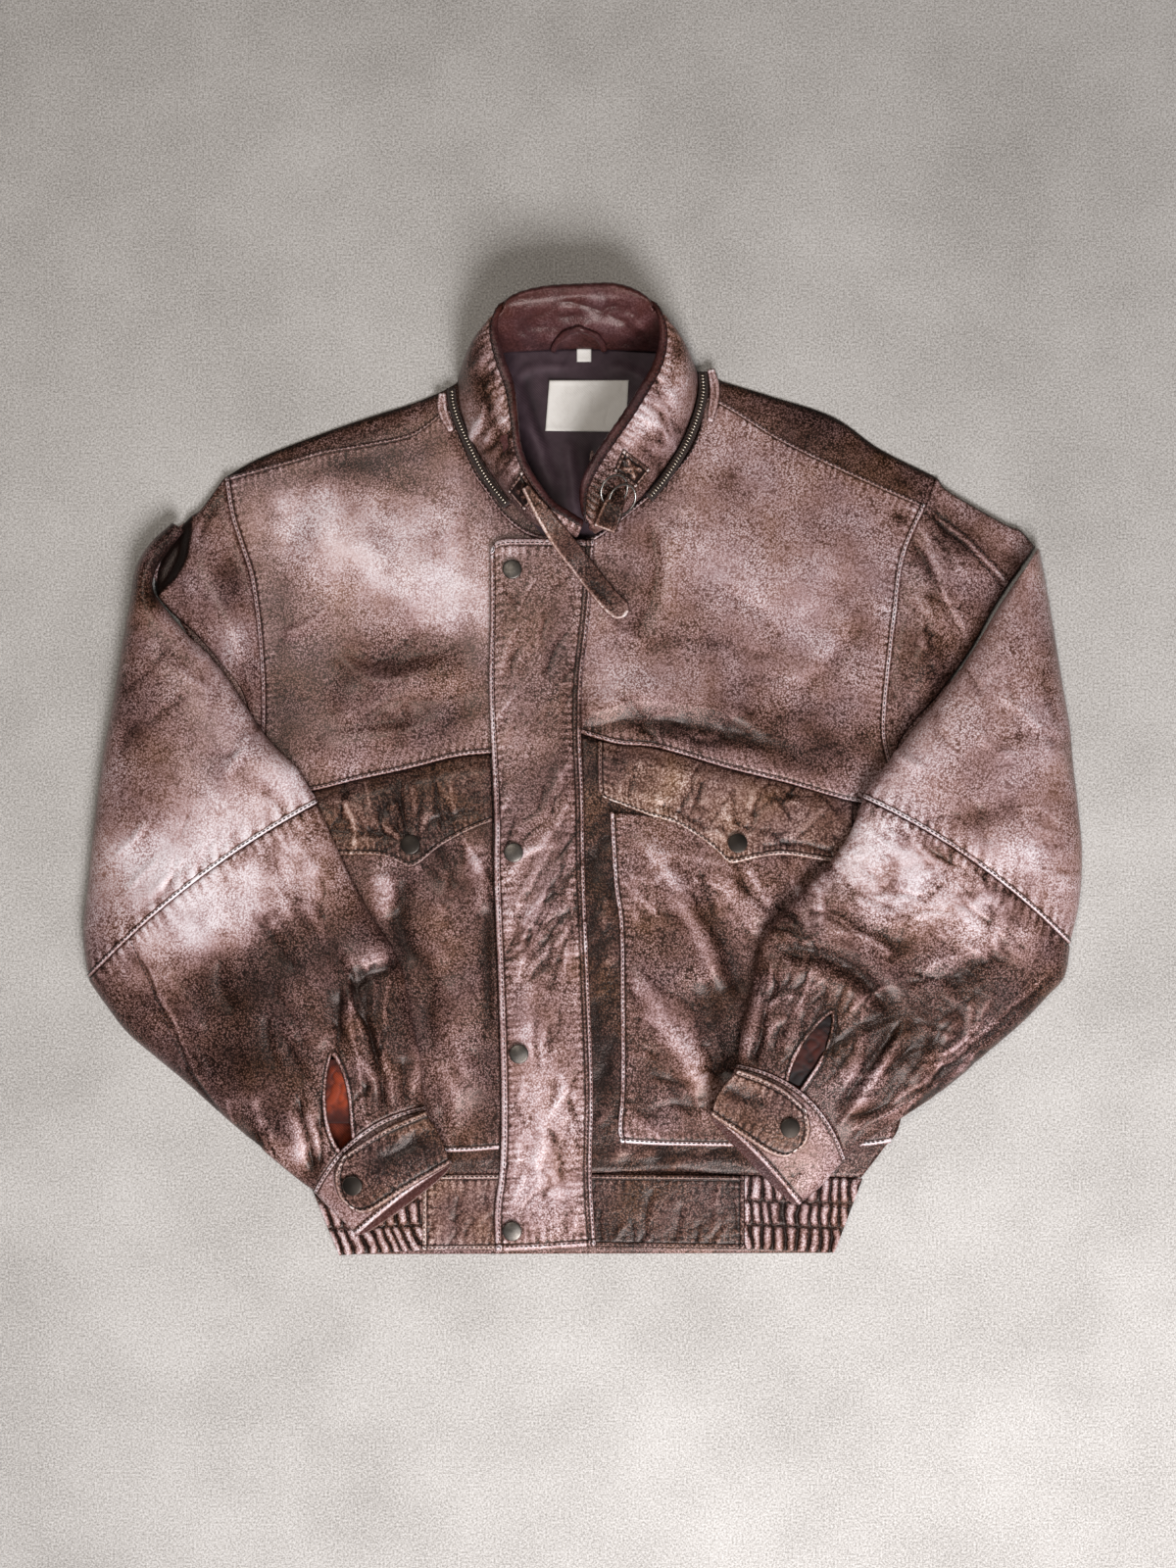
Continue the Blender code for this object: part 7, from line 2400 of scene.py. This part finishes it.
@dataclass
class Collar(Maker):
    """The standing collar: outer leather, and a facing that wraps over its upper edge as a rolled rim.

    Each station is the foot's place, the upper edge's place, and the edge's height.
    """

    stations: Sequence[tuple] = FRONT_TO_FRONT
    base: float = 5.2
    bulge: float = 5.0
    wall: float = 1.5
    facing_depth: float = 2.9
    facing_lift: float = 0.3
    rim_gap: float = 1.7
    rim_depth: float = 3.2
    step: float = 1.5
    relief: Relief = Relief(
        seed=81, cracks=0.15, wrinkle=0.2, cell=7, wear_and_light=0.05, swell=0.7,
        folds=many(Folds, (-66, 268, (14, 40), 62, 18, 24), (60, 262, (14, 40), -64, 18, 24, 0.3)),
        creases=many(Crease,
            (((-80, 300), (-74, 282), (-66, 262), (-58, 244), (-50, 224)), 4.5, -1.8, -0.55),
            (((-90, 288), (-86, 268), (-74, 240)), 5, 1.2, 0.15),
            (((-72, 318), (-78, 306), (-84, 300)), 3, -0.9, -0.4),
            (((-56, 238), (-50, 226), (-40, 212)), 2.6, 0.9, 0.3),
            (((72, 320), (70, 300), (62, 280)), 4.5, -1.2, -0.35),
            (((78, 300), (72, 276), (58, 250)), 5.5, 1.1, 0.2),
            (((60, 236), (48, 222), (36, 208)), 4.5, -0.9, -0.3)),
        wear_and_light_spots=many(WearAndLightSpot,
            (-67, 296, (7, 26), 6, 0.45), (-58, 262, (6, 22), -12, 0.3), (-84, 262, (7, 26), -14, 0.12),
            (-44, 202, (14, 9), -50, -0.35), (-22, 190, (18, 6), -32, 0.35), (66, 306, (7, 22), 12, 0.35),
            (52, 268, (12, 26), -28, 0.85), (36, 248, (8, 16), -36, 0.5), (56, 232, (8, 16), -34, 0.3),
            (24, 208, (12, 12), 0, -0.5), (10, 202, (8, 14), -30, -0.5), (80, 272, (9, 22), 0, 0.25),
            (-88, 292, (5, 14), 0, -0.25), (0, 338, (70, 30), 0, -0.1)))
    facing_relief: Relief = Relief(
        seed=82, wrinkle=0.2, cell=10, stretch=1.6, turn=20, wear_and_light=0.1, swell=0.9,
        folds=many(Folds, (0, 336, (50, 12), 8, 10, 34, 0.12, 3.0)),
        creases=many(Crease,
            (((-46, 322), (-20, 330), (10, 334), (40, 328)), 4, 1.4, 0.1),
            (((-50, 334), (-24, 342), (0, 340)), 4, -1.0, -0.15),
            (((20, 346), (36, 338), (50, 330)), 3, 1.2, 0.1),
            (((30, 332), (44, 326), (54, 320)), 3, -1.0, -0.2)),
        wear_and_light_spots=many(WearAndLightSpot,
            (-36, 336, (22, 10), 10, 0.06), (36, 338, (20, 10), -20, 0.06), (0, 318, (60, 6), 0, -0.3)))

    def rows(self) -> tuple[np.ndarray, np.ndarray]:
        """Rings up the collar from its foot to its edge, bulging outwards between them.

        Returns:
            The grid of places, and the shares of the way up at which its rows lie.
        """
        flat = np.array([(*foot, *edge, height) for foot, edge, height in self.stations], dtype=float)
        long = lengths_along(smooth_line(flat, np.linspace(0, 1, 200))[:, :2])[-1]
        lines = smooth_line(flat, np.linspace(0, 1, round(long / self.step)))
        foot, edge, height = lines[:, 0:2], lines[:, 2:4], lines[:, 4]
        run = np.gradient(foot, axis=0)
        outward = np.stack([-run[:, 1], run[:, 0]], axis=1)
        outward /= np.linalg.norm(outward, axis=1, keepdims=True)
        outward *= -np.sign(np.sum(outward * (np.array([0, 250]) - foot), axis=1, keepdims=True))
        parts = graded(57.0, self.step, (False, True))[:, None, None]
        plan = foot * (1 - parts) + edge * parts + outward * self.bulge * np.sin(math.pi * parts)
        rise = self.base + (height - self.base) * np.sin(parts[..., 0] * math.pi / 2) ** 0.9
        return np.dstack([plan, rise]), parts[..., 0]

    def make(self) -> None:
        """Make the outer leather and the facing with its rim."""
        grid, parts = self.rows()
        puckered = Edge(drop=0.0, pucker=0.9, pitch=6.0, reach=10.0)
        inward = np.cross(np.gradient(grid, axis=1), np.gradient(grid, axis=0))
        inward /= np.linalg.norm(inward, axis=2, keepdims=True)
        depth = lengths_along(grid[::-1])[::-1]
        along = np.broadcast_to(lengths_along(grid[-1])[None], depth.shape)
        lift, wear_and_light = self.relief.shape(grid)
        raised, edge_wear_and_light, _ = puckered.shape(depth, along)
        foot = ease(lengths_along(grid) / 6)
        lift = (lift * ease(depth / 5) + raised) * foot
        # Painted shade along the collar's foot, where it stands on the body.
        shade = 0.55 * (1 - foot)
        outer = Cloth(
            "collar_leather", grid - inward * lift[..., None], self.wall, wear_and_light + edge_wear_and_light, shade, flip=True)
        self.outer = outer.lay(Finish.leather_brown, ["collar_outer"], "folded", ["front_upper_right"])
        facing_lift, facing_wear_and_light = self.facing_relief.shape(grid)
        facing_lift = facing_lift * ease(depth / 6) * foot
        inside = grid + inward * (self.facing_depth + facing_lift)[..., None]
        inside[..., 2] += (1 - parts) * self.facing_lift
        up = grid[-1] - grid[-2]
        up /= np.linalg.norm(up, axis=1, keepdims=True)
        radius = (self.facing_depth + self.rim_gap) / 2
        middle = grid[-1] + inward[-1] * (self.facing_depth - self.rim_gap) / 2
        turns = np.linspace(0, math.pi, 9)[1:-1]
        curl = [middle + inward[-1] * radius * math.cos(turn) + up * radius * math.sin(turn)
                for turn in turns]
        covered = depth.mean(axis=1) < self.rim_depth
        down = (grid - inward * self.rim_gap)[covered][::-1]
        places = np.concatenate([inside, curl, down])
        ripple = 0.16 * np.sin(2 * math.pi * along[:1] / 7.5 + 2 * np.sin(along[:1] / 23))
        places[len(inside):] += (up * ripple[0][:, None])[None]
        wear_and_light = np.concatenate([facing_wear_and_light, np.full((len(places) - len(inside), grid.shape[1]), -0.1)])
        wear_and_light[len(inside) - 2:] += 0.45 * gradient_noise(places[len(inside) - 2:], (14, 14, 14), 83)
        # Painted shade on the rim's last rows, tucked against the outer leather.
        edge_shade = np.zeros(wear_and_light.shape)
        edge_shade[-2:] = 0.35
        facing = Cloth("collar_facing_leather", places, self.wall, wear_and_light, edge_shade)
        self.facing = facing.lay(Finish.leather_burgundy, ["collar_facing"], "folded", ["collar_leather"])
        self.seams.append(facing.line("top", 1.3, STITCH_RISE)[SEAM_ENDS])
        self.finish_seams("stitches_collar")


@dataclass
class Neck(Maker):
    """What shows inside the neck: satin lining, bare woven label and size tag, and the hanger loop."""

    lining: Outline = field(default_factory=lambda: Outline(
        ((-22, 166), (-56, 212), (-80, 265), (-78, 312)), ((22, 166), (56, 212), (80, 265), (78, 312)),
        ((-22, 166), (22, 166)), ((-78, 312), (0, 313), (78, 312))))
    label: tuple = ((-26.5, 252), (34, 251), (36, 290), (-23.5, 290))
    size_tag: tuple = ((-3, 303.4), (8, 303.4), (8, 314.2), (-3, 314.2))
    hanger: Line = ((-21, 311), (-18, 319), (-12, 325), (-2, 329), (9, 326), (15, 320), (18, 311))
    satin: float = 0.8
    relief: Relief = Relief(
        seed=84, wrinkle=0.25, cell=14, stretch=2.5, turn=60, swell=0.8,
        # The lining's creases are painted lighter on their ridges and darker in their troughs: painted light
        # and shade.
        creases=many(Crease,
            (((-60, 298), (-44, 270), (-30, 236), (-18, 200)), 5, 2.2, 0.3),
            (((-40, 300), (-34, 262), (-22, 226)), 4, -1.2, -0.5),
            (((-10, 246), (-8, 220), (-2, 190)), 4, 2.0, 0.3),
            (((10, 246), (8, 216), (4, 188)), 4, -1.2, -0.5),
            (((-46, 292), (-30, 300), (-8, 298)), 3.4, 1.6, 0.3),
            (((20, 300), (38, 296), (56, 284)), 3.4, 1.6, 0.3),
            (((40, 244), (30, 226), (18, 204)), 4, 1.8, 0.3),
            (((-52, 262), (-36, 250), (-24, 232)), 4, 1.8, 0.3)))

    def make(self, facing: bpy.types.Object) -> None:
        """Make the lining, label, tag and loop.

        Args:
            facing: The collar's facing, which the loop is sewn to.
        """
        quiet = replace(self.relief, wrinkle=0.3, cell=11, swell=0.5, creases=())
        self.panel(Panel("neck_satin", self.lining, LINING_MID, self.relief, {}, 2.2, self.satin),
                   Finish.satin_dark, "lining", rests_on=["back"])
        hem = Edge(drop=0.3, roll=0.8, bead=0.12, bead_at=1.6, bead_width=1.5)
        hems = {side: hem for side in SIDES}
        for name, corners, wall in (("label", self.label, 0.5), ("size_tag", self.size_tag, 0.5)):
            panel = Panel(name + "_satin", straight(corners), LINING_MID + 1.75, quiet, hems, 0.8, wall)
            self.panel(panel, Finish.satin_white, name, rests_on=["lining"])
        loop = follow(facing, self.hanger, 1.3)
        bow = np.sin(np.linspace(0, math.pi, len(loop)))[:, None]
        loop[:, :3] += loop[:, 3:] * bow * 1.2 * MM
        sweep("hanger_leather", loop, (2.4, 1.5), Finish.leather_burgundy, "hanger_loop")


def sweep(name: str, rows: np.ndarray, radii: tuple[float, float], finish: Finish, node: str,
          ring: bool = False, sides: int = 12) -> bpy.types.Object:
    """Sweep an oval along a line in place of a CAD node.

    Args:
        name: The piece's name.
        rows: Places in metres, and the direction that the oval's thickness lies in.
        radii: The oval's half width and half thickness in millimetres.
        finish: What it is made of.
        node: The CAD node that it stands for.
        ring: Whether the line's end is its start.
        sides: The faces round the oval.

    Returns:
        The piece.
    """
    places, thick = rows[:, :3], rows[:, 3:]
    run = np.roll(places, -1, axis=0) - np.roll(places, 1, axis=0) if ring else np.gradient(places, axis=0)
    run /= np.linalg.norm(run, axis=1, keepdims=True)
    wide = np.cross(thick, run)
    wide /= np.linalg.norm(wide, axis=1, keepdims=True)
    thick = np.cross(run, wide)
    turns = np.linspace(0, 2 * math.pi, sides, endpoint=False)
    points = (places[:, None] + wide[:, None] * (radii[0] * MM * np.cos(turns))[None, :, None]
              + thick[:, None] * (radii[1] * MM * np.sin(turns))[None, :, None])
    count = len(places)
    faces = band_faces(count, sides, ring)
    if not ring:
        faces += [tuple(range(sides))[::-1], tuple(range((count - 1) * sides, count * sides))]
    item = new_object(name, solid_mesh(name, points.reshape(-1, 3), faces), finish)
    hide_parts(node)
    LOG.info("%s: %d faces", name, len(faces))
    return item


def band_faces(count: int, sides: int, ring: bool = False) -> list[tuple[int, ...]]:
    """Join rings of places that follow each other.

    Args:
        count: How many rings there are.
        sides: How many places each has.
        ring: Whether the last ring is joined to the first one.

    Returns:
        The faces.
    """
    faces = []
    for step in range(count if ring else count - 1):
        near, far = step * sides, (step + 1) % count * sides
        faces += [(near + k, near + (k + 1) % sides, far + (k + 1) % sides, far + k) for k in range(sides)]
    return faces


def solid_mesh(name: str, places: np.ndarray, faces: Sequence[Sequence[int]]) -> bpy.types.Mesh:
    """Make a closed, smooth mesh whose faces point outwards.

    Args:
        name: What it is called.
        places: Its places in metres.
        faces: Its faces.

    Returns:
        The mesh.
    """
    mesh = bpy.data.meshes.new(name)
    mesh.from_pydata(places.tolist(), [], faces)
    form = bmesh.new()
    form.from_mesh(mesh)
    bmesh.ops.recalc_face_normals(form, faces=form.faces)
    form.to_mesh(mesh)
    form.free()
    mesh.shade_smooth()
    return mesh


def circle_round(axis: np.ndarray, count: int) -> np.ndarray:
    """Find the directions all round an axis, at right angles to it.

    Args:
        axis: The axis, of length 1.
        count: How many directions there are.

    Returns:
        One row for each, of length 1.
    """
    first = np.cross(axis, (0.0, 1.0, 0.0))
    first /= np.linalg.norm(first)
    turns = np.linspace(0, 2 * math.pi, count, endpoint=False)
    return np.outer(np.cos(turns), first) + np.outer(np.sin(turns), np.cross(axis, first))


@dataclass
class NeckZip(Maker):
    """The zip round the collar's foot that takes a hood: a tape each side, its teeth, and an end tab."""

    side: str
    path: Line
    tab_path: Line
    inner: str
    tape_width: float = 6.4
    tape_mid: float = 7.6
    tab_mid: float = 8.2

    def make(self) -> None:
        """Make the tape, the row of teeth along its inner edge, and the tab over its end."""
        tape = Panel("zip_tape_" + self.side, ribbon(self.path, self.tape_width, 1.4, 9), self.tape_mid,
                     Relief(seed=86, wrinkle=0.12, cell=6, swell=0.2), {}, wall=0.8)
        cloth = tape.cloth()
        cloth.lay(Finish.zip_tape, ["neck_zip_" + self.side], "laid", ["front_upper_" + self.side])
        teeth = TOOTH.run(
            "zip_teeth_" + self.side, [cloth.line(self.inner, 2.9, 0.5)[2:-2]], Finish.zip_teeth)
        LOG.info("zip_teeth_%s: %d faces", self.side, len(teeth.data.polygons))
        rim = replace(PIPED, bead=0.35, bead_at=1.0, bead_width=0.8, stitch_at=0.0, wear_and_light=0.35, pucker=0.0)
        plan = ribbon(self.tab_path, (4.6, 6.4, 6.6, 6.0, 3.6), 0.8, 12)
        self.panel(Panel("zip_end_tab_%s_leather" % self.side, plan, self.tab_mid,
                         Relief(seed=87, wrinkle=0.2, cell=4, wear_and_light=0.1, swell=0.2),
                         {side: rim for side in SIDES}, wall=1.2), Finish.leather_brown,
                   "zip_end_tab_" + self.side, rests_on=["zip_tape_" + self.side])


@dataclass
class ThroatStrap(Maker):
    """The strap that closes the collar: its anchor, two rings, their loop, and a stitched diamond."""

    diamond: tuple = ((41, 210), (51.5, 223), (32, 238), (25, 222))
    anchor: tuple = ((-42, 193), (-33, 205), (-44, 222), (-54, 207))
    strap_path: Line = (
        (-41, 210), (-33, 198), (-22, 182), (-12, 168), (3, 149), (18, 130), (27, 121), (34, 116))
    strap_widths: tuple[float, ...] = (5, 8, 11, 13, 14.5, 15.5, 15.5, 15.5, 15.5, 15.5, 15.5, 15.5)
    loop_path: Line = ((26.5, 206), (26.3, 203), (25.8, 199), (24, 195), (22.5, 190), (20, 184), (18, 179))
    loop_widths: tuple[float, ...] = (10, 12, 14, 15.5, 16, 16, 16)
    ring_radius: float = 11.4
    ring_wire: float = 0.85
    ring_steps: int = 72
    rim: Edge = replace(PIPED, bead=0.4, bead_at=1.0, bead_width=0.9, wear_and_light=0.95, stitch_at=2.4, pucker=0.06)

    def make(self, collar: bpy.types.Object) -> None:
        """Make all of it.

        Args:
            collar: The collar's outer leather, which the patches are sewn to.
        """
        rims = {side: self.rim for side in SIDES}
        for name, node, corners, relief in (
                ("diamond_patch_leather", "collar_diamond", self.diamond,
                 Relief(seed=91, wrinkle=0.5, cell=4.5, wear_and_light=-0.35, swell=0.2, creases=(
                     Crease((self.diamond[0], self.diamond[2]), 1.3, 0.4, wear_and_light=0.8),
                     Crease((self.diamond[1], self.diamond[3]), 1.3, 0.4, wear_and_light=0.8)))),
                ("strap_anchor_leather", "strap_anchor", self.anchor,
                 Relief(seed=92, wrinkle=0.7, cell=4.0, wear_and_light=-0.45, swell=0.3))):
            plan = drawn_in(straight(corners).plan(0.8, {}), 0.2)
            heights, steep = SIGHT.seen(collar, plan)
            panel = Panel(name, plan, softened(heights + 1.5 / steep, 4), relief, rims, wall=1.3, fade=1.0)
            cloth = panel.cloth()
            self.sew(cloth, rims)
            item = cloth.lay(Finish.leather_dark, [node], "laid", ["collar_leather"])
            if node == "collar_diamond":
                a, b, c, d = (np.array(corner, dtype=float) for corner in corners)
                for start, end in ((a, c), (b, d)):
                    self.seams.append(follow(item, [tuple(start * 0.8 + end * 0.2),
                                                    tuple(start * 0.2 + end * 0.8)]))
        rolled = replace(self.rim, bead=0.15, bead_at=0.6, bead_width=1.0, stitch_at=0.0, wear_and_light=0.9,
                         pucker=0.0)
        edges = {"left": replace(rolled, wear_and_light=0.25), "right": rolled, "top": rolled}
        strap = Relief(
            seed=93, wrinkle=0.3, cell=6, wear_and_light=0.05, swell=0.3,
            creases=many(Crease, (((6, 140), (14, 132), (22, 126)), 4, -0.6, -0.2)),
            wear_and_light_spots=many(WearAndLightSpot,
                (14, 134, (14, 5), -50, -0.3), (-20, 178, (10, 8), -50, 0.1), (32, 118, (6, 6), 0, 0.3)))
        for name, node, path, widths, relief in (
                ("throat_strap_leather", "throat_strap", self.strap_path, self.strap_widths, strap),
                ("ring_loop_leather", "strap_loop", self.loop_path, self.loop_widths,
                 Relief(seed=94, wrinkle=0.3, cell=5, wear_and_light=-0.25, swell=0.3, wear_and_light_spots=(
                     WearAndLightSpot(18.5, 180, (9, 2.5), 10, 0.7),)))):
            plan = ribbon(path, widths, 0.9, 20, 7.5 if node == "throat_strap" else 0.0)
            heights = softened(SIGHT.height_of(node, plan), 30).mean(axis=1, keepdims=True)
            heights = softened(np.repeat(heights, plan.shape[1], axis=1), 160) + 0.6
            cloth = Panel(name, plan, heights, relief, edges, wall=1.6, fade=1.5).cloth()
            self.sew(cloth, edges)
            cloth.lay(Finish.leather_dark, [node], "draped", ["collar_leather"])
        for number in (1, 2):
            self.make_ring(number)
        self.finish_seams("stitches_straps")

    def make_ring(self, number: int) -> None:
        """Make a round wire ring where the CAD one is, turned the same way.

        Args:
            number: The ring's number, 1 or 2.
        """
        node = "ring_%d" % number
        middle, axis = lie_of(node)
        places = middle + circle_round(axis, self.ring_steps) * self.ring_radius * MM
        rows = np.concatenate([places, np.broadcast_to(axis, places.shape)], axis=1)
        sweep("steel_" + node, rows, (self.ring_wire, self.ring_wire), Finish.ring_steel, node, ring=True)


def lie_of(node: str) -> tuple[np.ndarray, np.ndarray]:
    """Find how a flat round CAD node lies.

    Args:
        node: The node's name.

    Returns:
        Its middle, and the unit normal of the plane that it lies in, upwards.
    """
    points = np.array([vertex.co[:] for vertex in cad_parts[node].data.vertices])
    lowest, highest = points.min(axis=0), points.max(axis=0)
    middle = (lowest + highest) / 2
    axis = np.linalg.svd(points - points.mean(axis=0))[2][2]
    return middle, axis * math.copysign(1.0, axis[2])


@dataclass(frozen=True)
class Snap:
    """A snap's cap: a rolled rim round a shallow dome, pressed into the leather."""

    radius: float = 7.3
    sides: int = 48
    dull: float = -0.5
    profile: tuple[tuple[float, float], ...] = (
        (0.97, -2.6), (1.0, -2.2), (1.0, -0.7), (0.985, -0.3), (0.95, 0.0), (0.9, 0.13), (0.84, 0.24),
        (0.76, 0.36), (0.66, 0.48), (0.5, 0.64), (0.3, 0.79), (0.12, 0.87))

    def make(self, node: str) -> None:
        """Turn the cap on the axis of its CAD node, whose top it shares.

        Args:
            node: The node's name.
        """
        middle, axis = lie_of(node)
        points = np.array([vertex.co[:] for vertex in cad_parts[node].data.vertices])
        seat = middle + axis * (((points - middle) @ axis).max() - 0.95 * MM)
        around = circle_round(axis, self.sides)
        rings = [seat + axis * rise * MM + around * share * self.radius * MM for share, rise in self.profile]
        top = seat + axis * 0.9 * MM
        bottom = seat + axis * self.profile[0][1] * MM
        places = np.vstack([*rings, top[None], bottom[None]])
        count = len(self.profile)
        faces = band_faces(count, self.sides)
        last = (count - 1) * self.sides
        faces += [(last + k, last + (k + 1) % self.sides, len(places) - 2) for k in range(self.sides)]
        faces += [((k + 1) % self.sides, k, len(places) - 1) for k in range(self.sides)]
        mesh = solid_mesh("cap_" + node, places, faces)
        dull = np.full(len(places), 0.0 if "placket" in node else self.dull)
        dull[2 * self.sides:5 * self.sides] = 0.25
        mesh.attributes.new("wear_and_light", "FLOAT", "POINT").data.foreach_set("value", dull)
        item = new_object("cap_" + node, mesh, Finish.snap_metal)
        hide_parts(node)
        LOG.info("cap_%s: %d faces", node, len(faces))


def make_neck() -> None:
    """The collar with all that is in it and on it."""
    collar = Collar()
    collar.make()
    Neck().make(collar.facing)
    NeckZip("right",
            ((-96.5, 284), (-95.3, 272), (-89.5, 255), (-76.8, 228), (-66.6, 211.5), (-54.6, 196.5)),
            ((-103, 280), (-103, 268), (-96.5, 252)), "left").make()
    NeckZip("left", ((91, 296), (91.5, 280), (86, 259), (77, 239), (64, 218), (51, 202)),
            ((97, 298), (100, 282), (96.5, 259)), "right").make()
    ThroatStrap().make(collar.outer)
    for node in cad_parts:
        if node.startswith("snap_"):
            Snap().make(node)


# The studio


@dataclass(frozen=True)
class Studio:
    """A pale floor in soft daylight that comes in beyond the hem, seen from straight above."""

    eye: tuple[float, float, float] = (0.0039, -0.0048, 1.370)
    view_degrees: float = 46.8
    floor_side: float = 6.0
    key: tuple[float, float, float] = (0.45, -1.25, 1.3)
    key_size: float = 0.8
    key_power: float = 43.0
    fill: tuple[float, float, float] = (-0.38, 0.34, 1.55)
    fill_size: float = 0.4
    fill_power: float = 6.8
    sky: float = 0.1

    def make(self) -> None:
        """Make the floor, the lights and the camera."""
        self.make_floor()
        self.make_light("doorway", self.key, self.key_size, self.key_power, "#fdfcff")
        self.make_light("skylight", self.fill, self.fill_size, self.fill_power, "#fff8f0")
        world = bpy.data.worlds.new("soft_sky")
        world.use_nodes = True
        set_inputs(world.node_tree.nodes["Background"], {"Color": linear("#f2e9e2"), "Strength": self.sky})
        bpy.context.scene.world = world
        bpy.context.scene.view_settings.view_transform = "Standard"
        lens = bpy.data.cameras.new("eye")
        lens.sensor_fit = "VERTICAL"
        lens.angle = math.radians(self.view_degrees)
        lens.clip_start = 0.01
        camera = bpy.data.objects.new("eye", lens)
        camera.location = self.eye
        bpy.context.scene.collection.objects.link(camera)
        bpy.context.scene.camera = camera

    def make_floor(self) -> None:
        """A plain square of screed, well beyond the view."""
        half = self.floor_side / 2
        corners = [(-half, -half, 0), (half, -half, 0), (half, half, 0), (-half, half, 0)]
        mesh = bpy.data.meshes.new("floor")
        mesh.from_pydata(corners, [], [(0, 1, 2, 3)])
        mesh.materials.append(Screed().make())
        floor = bpy.data.objects.new("floor", mesh)
        bpy.context.scene.collection.objects.link(floor)

    def make_light(self, name: str, place: tuple[float, float, float], size: float, power: float,
                   colour: str) -> None:
        """Add a square area light that points at the jacket's middle.

        Args:
            name: The light's name.
            place: Where it is, in metres.
            size: Its side, in metres.
            power: Its power in watts.
            colour: Its hex colour.
        """
        lamp = bpy.data.lights.new(name, "AREA")
        lamp.size = size
        lamp.energy = power
        lamp.color = linear(colour)[:3]
        light = bpy.data.objects.new(name, lamp)
        light.location = place
        light.rotation_euler = (-Vector(place)).to_track_quat("-Z", "Y").to_euler()
        bpy.context.scene.collection.objects.link(light)


def main() -> None:
    """Build the jacket piece by piece, then the studio."""
    logging.basicConfig(level=logging.INFO, format="%(message)s")
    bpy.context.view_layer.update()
    Body().make()
    Placket().make()
    make_pockets()
    Waistband().make()
    make_sleeves()
    make_neck()
    Studio().make()


if __name__ == "__main__":
    main()
